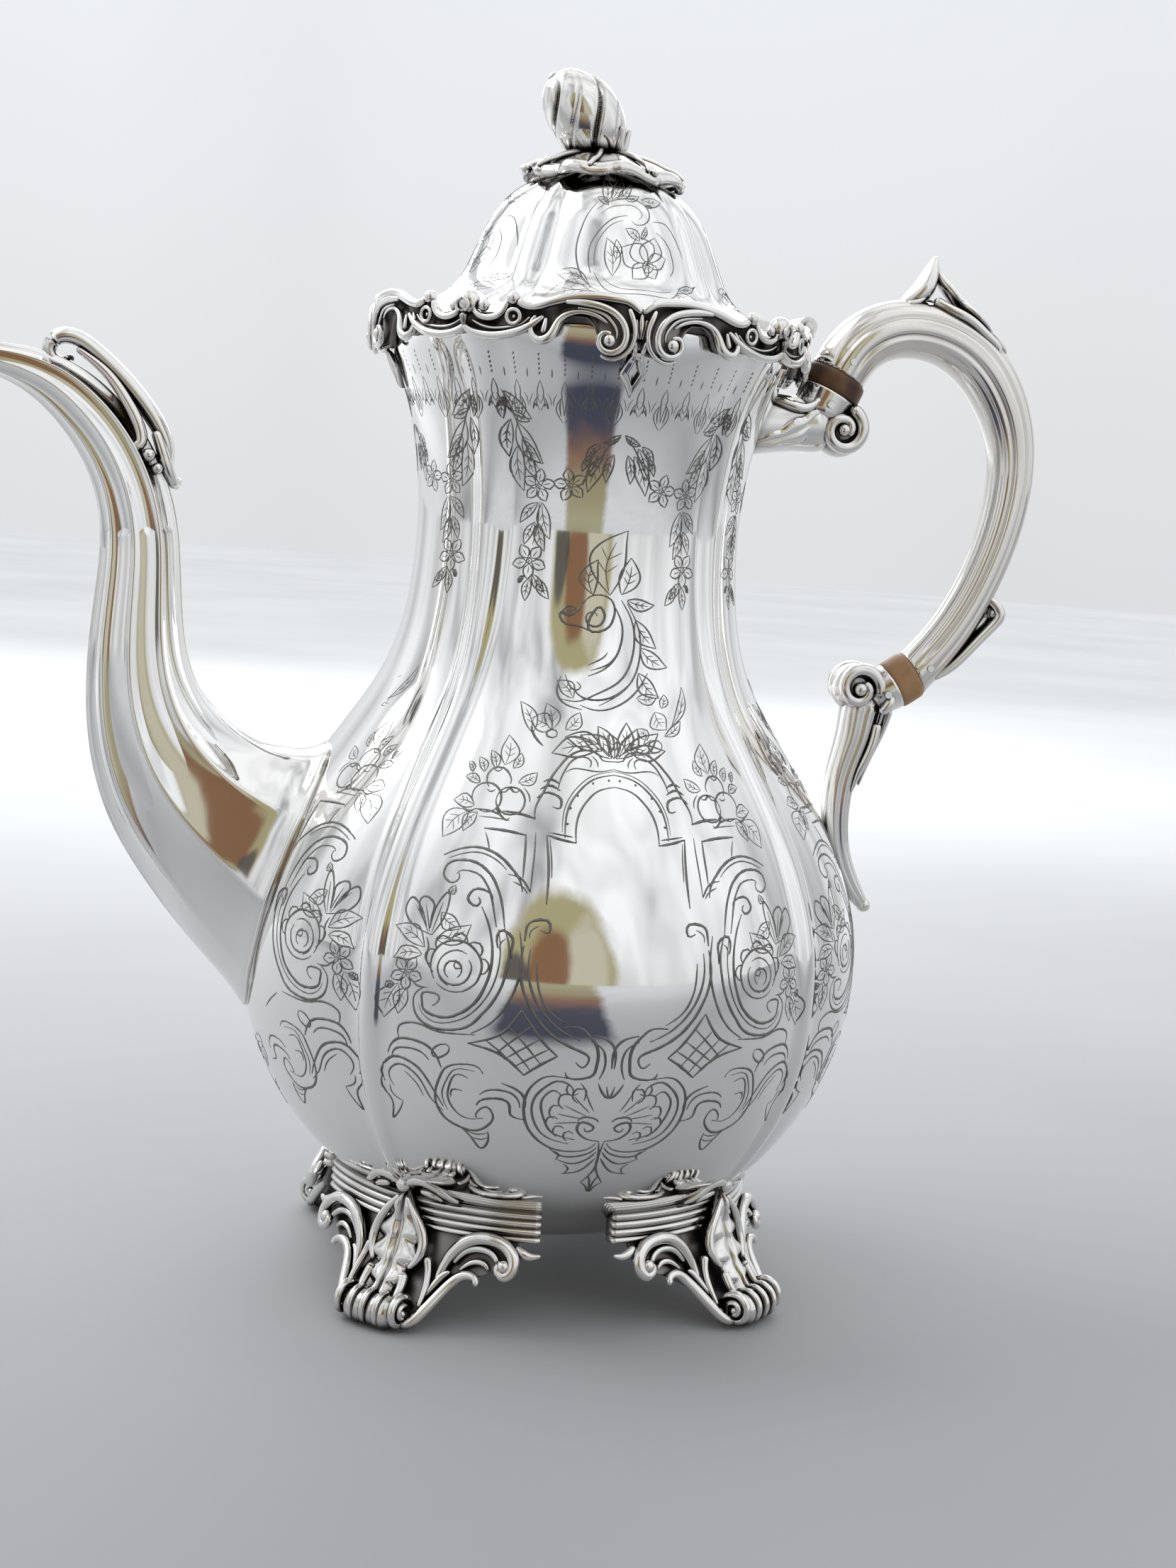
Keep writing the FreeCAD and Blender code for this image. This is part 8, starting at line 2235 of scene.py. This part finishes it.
def area(name, loc, target, size, size_y, power, color=(1, 1, 1)):
    ld = bpy.data.lights.new(name, "AREA")
    ld.shape = "RECTANGLE"
    ld.size, ld.size_y, ld.energy, ld.color = size, size_y, power, color
    o = bpy.data.objects.new(name, ld)
    bpy.context.scene.collection.objects.link(o)
    o.location = loc
    d = Vector(target) - Vector(loc)
    o.rotation_euler = d.to_track_quat("-Z", "Y").to_euler()
    return o


area("soft_top_left", (-0.9, 0.5, 1.3), (0, 0, 0.12), 1.1, 1.1, 9.0, (0.97, 0.985, 1.0))
area("soft_back", (0.2, 1.3, 0.9), (0, 0, 0.1), 1.4, 0.9, 7.0, (0.98, 0.99, 1.0))

def card(name):
    """a dark runner lying in front of the pot, seen in reflections only"""
    me = bpy.data.meshes.new(name)
    V = [(-.11, .20, .002), (.11, .20, .002), (.16, .40, .002), (1.55, 4.9, .002), (-1.55, 4.9, .002), (-.16, .40, .002)]
    me.from_pydata(V, [], [(0, 1, 2, 3, 4, 5)])
    ob = bpy.data.objects.new(name, me)
    bpy.context.scene.collection.objects.link(ob)
    ob.location = (X0 / 1000, 0, 0)
    ob.rotation_euler = (0, 0, PI - _a)
    m, nt_, bs_ = new_mat(name + "_cloth")
    v_ = mapped(nt_)
    sp_ = node(nt_, "ShaderNodeSeparateXYZ")
    nt_.links.new(v_, sp_.inputs[0])

    def ma(op, a, b_=None, c=None, clamp=False):
        n = node(nt_, "ShaderNodeMath", operation=op, use_clamp=clamp)
        for i, q in enumerate((a, b_, c)):
            if isinstance(q, (int, float)):
                n.inputs[i].default_value = q
            elif q is not None:
                nt_.links.new(q, n.inputs[i])
        return n.outputs[0]

    n_ = noise(nt_, v_, 7.0, 3.0, 0.6)
    jit = ma("MULTIPLY_ADD", n_.outputs[0], 0.5, -0.25)
    rel = ma("ADD", ma("DIVIDE", ma("ABSOLUTE", sp_.outputs[0]), ma("MULTIPLY_ADD", sp_.outputs[1], 0.31, 0.035)), jit)
    al = ma("MULTIPLY", ma("MULTIPLY_ADD", rel, -5.0, 4.9, True), ma("MULTIPLY_ADD", sp_.outputs[1], 22.0, -4.7, True))
    d_ = ma("ADD", ma("MULTIPLY", sp_.outputs[1], 0.5), ma("MULTIPLY", jit, 0.25), None, True)
    c_ = ramp(nt_, d_, [(0.0, (0.022, 0.026, 0.05)), (0.20, (0.03, 0.034, 0.06)), (0.30, (0.20, 0.10, 0.06)), (0.45, (0.30, 0.25, 0.14)), (1.0, (0.40, 0.37, 0.22))])
    nt_.links.new(c_.outputs[0], bs_.inputs["Base Color"])
    nt_.links.new(al, bs_.inputs["Alpha"])
    bs_.inputs["Roughness"].default_value = 0.9
    me.materials.append(m)
    ob.visible_camera = False
    ob.visible_diffuse = False
    ob.visible_shadow = False
    return ob


card("dark_card")

w = bpy.data.worlds.new("tent")
bpy.context.scene.world = w
w.use_nodes = True
nt = w.node_tree
nt.nodes.clear()
out = node(nt, "ShaderNodeOutputWorld")
bg = node(nt, "ShaderNodeBackground")
nt.links.new(bg.outputs[0], out.inputs[0])
tc = node(nt, "ShaderNodeTexCoord")
vr = node(nt, "ShaderNodeVectorRotate")
vr.rotation_type = "Z_AXIS"
vr.inputs["Angle"].default_value = math.radians(AL)  # the opening of the tent faces -Y after this turn
nt.links.new(tc.outputs["Generated"], vr.inputs["Vector"])
sx = node(nt, "ShaderNodeSeparateXYZ")
nt.links.new(vr.outputs[0], sx.inputs[0])


def mth(op, a, b_=None, c=None, clamp=False):
    n = node(nt, "ShaderNodeMath", operation=op, use_clamp=clamp)
    for i, v in enumerate((a, b_, c)):
        if v is None:
            continue
        if isinstance(v, (int, float)):
            n.inputs[i].default_value = v
        else:
            nt.links.new(v, n.inputs[i])
    return n.outputs[0]


X, Y, Z = sx.outputs[0], sx.outputs[1], sx.outputs[2]
# height shading of the tent, brighter overhead
zr = ramp(nt, mth("MULTIPLY_ADD", Z, 0.5, 0.5), [(0.0, (0.50, 0.51, 0.53)), (0.49, (0.80, 0.81, 0.83)), (0.53, (0.84, 0.85, 0.87)), (0.60, (0.90, 0.92, 0.95)), (0.85, (1.0, 1.02, 1.05)), (1.0, (1.08, 1.09, 1.11))])
# folds of the cloth
cn = node(nt, "ShaderNodeCombineXYZ")
nt.links.new(mth("MULTIPLY", X, 3.2), cn.inputs[0])
nt.links.new(mth("MULTIPLY", Y, 3.2), cn.inputs[1])
nt.links.new(mth("MULTIPLY", Z, 0.7), cn.inputs[2])
fo = noise(nt, cn.outputs[0], 1.0, 2.0, 0.5, 0.3)
fr = ramp(nt, fo.outputs[0], [(0.30, (0.44, 0.44, 0.45)), (0.47, (0.84, 0.84, 0.84)), (0.66, (1.10, 1.10, 1.10))])
lp = node(nt, "ShaderNodeLightPath")
mx = node(nt, "ShaderNodeMix", data_type="RGBA", blend_type="MULTIPLY")
nt.links.new(mth("SUBTRACT", 1.0, mth("MULTIPLY", lp.outputs["Is Camera Ray"], 0.85)), mx.inputs[0])
nt.links.new(zr.outputs[0], mx.inputs[6])
nt.links.new(fr.outputs[0], mx.inputs[7])
col = mx.outputs[2]


def patch_w(cx, hx, z0, z1, soft=0.05, softx=0.05):
    """soft-edged window in the tent on the camera's side"""
    ax_ = mth("ABSOLUTE", mth("SUBTRACT", X, cx))
    mxx = mth("MULTIPLY_ADD", ax_, -1.0 / softx, (hx + softx) / softx, True)
    lo_ = mth("MULTIPLY_ADD", Z, 1.0 / soft, -(z0 - soft) / soft, True)
    hi_ = mth("MULTIPLY_ADD", Z, -1.0 / soft, (z1 + soft) / soft, True)
    fr_ = mth("MULTIPLY_ADD", Y, -4.0, -0.4, True)
    return mth("MULTIPLY", mth("MULTIPLY", mxx, fr_), mth("MULTIPLY", lo_, hi_))


def over(col, mask, rgb, amount=1.0):
    m = node(nt, "ShaderNodeMix", data_type="RGBA", blend_type="MIX")
    nt.links.new(mth("MULTIPLY", mth("MULTIPLY", mask, amount), mth("SUBTRACT", 1.0, lp.outputs["Is Camera Ray"])), m.inputs[0])
    nt.links.new(col, m.inputs[6])
    m.inputs[7].default_value = (*rgb, 1)
    return m.outputs[2]


def dome_w(cx, cz, hx, hz, soft, wob=0.35):
    """soft blob in the opening of the tent"""
    wn = noise(nt, vr.outputs[0], 4.5, 3.0, 0.55)
    j = mth("MULTIPLY_ADD", wn.outputs[0], wob * 2, -wob)
    ex = mth("POWER", mth("MULTIPLY", mth("SUBTRACT", X, cx), 1.0 / hx), 2.0)
    ez = mth("POWER", mth("MULTIPLY", mth("SUBTRACT", Z, cz), 1.0 / hz), 2.0)
    q = mth("ADD", mth("SQRT", mth("ADD", ex, ez)), j)
    fr_ = mth("MULTIPLY_ADD", Y, -4.0, -0.4, True)
    return mth("MULTIPLY", mth("MULTIPLY_ADD", q, -1.0 / soft, 1.0 / soft + 0.5, True), fr_)


col = over(col, dome_w(0.0, 0.0, 0.42, 0.60, 0.14, 0.12), (0.42, 0.385, 0.22))
col = over(col, dome_w(0.20, 0.05, 0.16, 0.40, 0.30, 0.3), (0.62, 0.60, 0.50), 0.75)
col = over(col, dome_w(-0.06, 0.12, 0.16, 0.28, 0.30, 0.3), (0.23, 0.11, 0.06), 0.9)
col = over(col, dome_w(-0.30, 0.0, 0.10, 0.20, 0.30, 0.3), (0.05, 0.05, 0.07), 0.8)
nt.links.new(col, bg.inputs[0])
bg.inputs[1].default_value = 0.95
bpy.context.scene.view_settings.view_transform = "Standard"
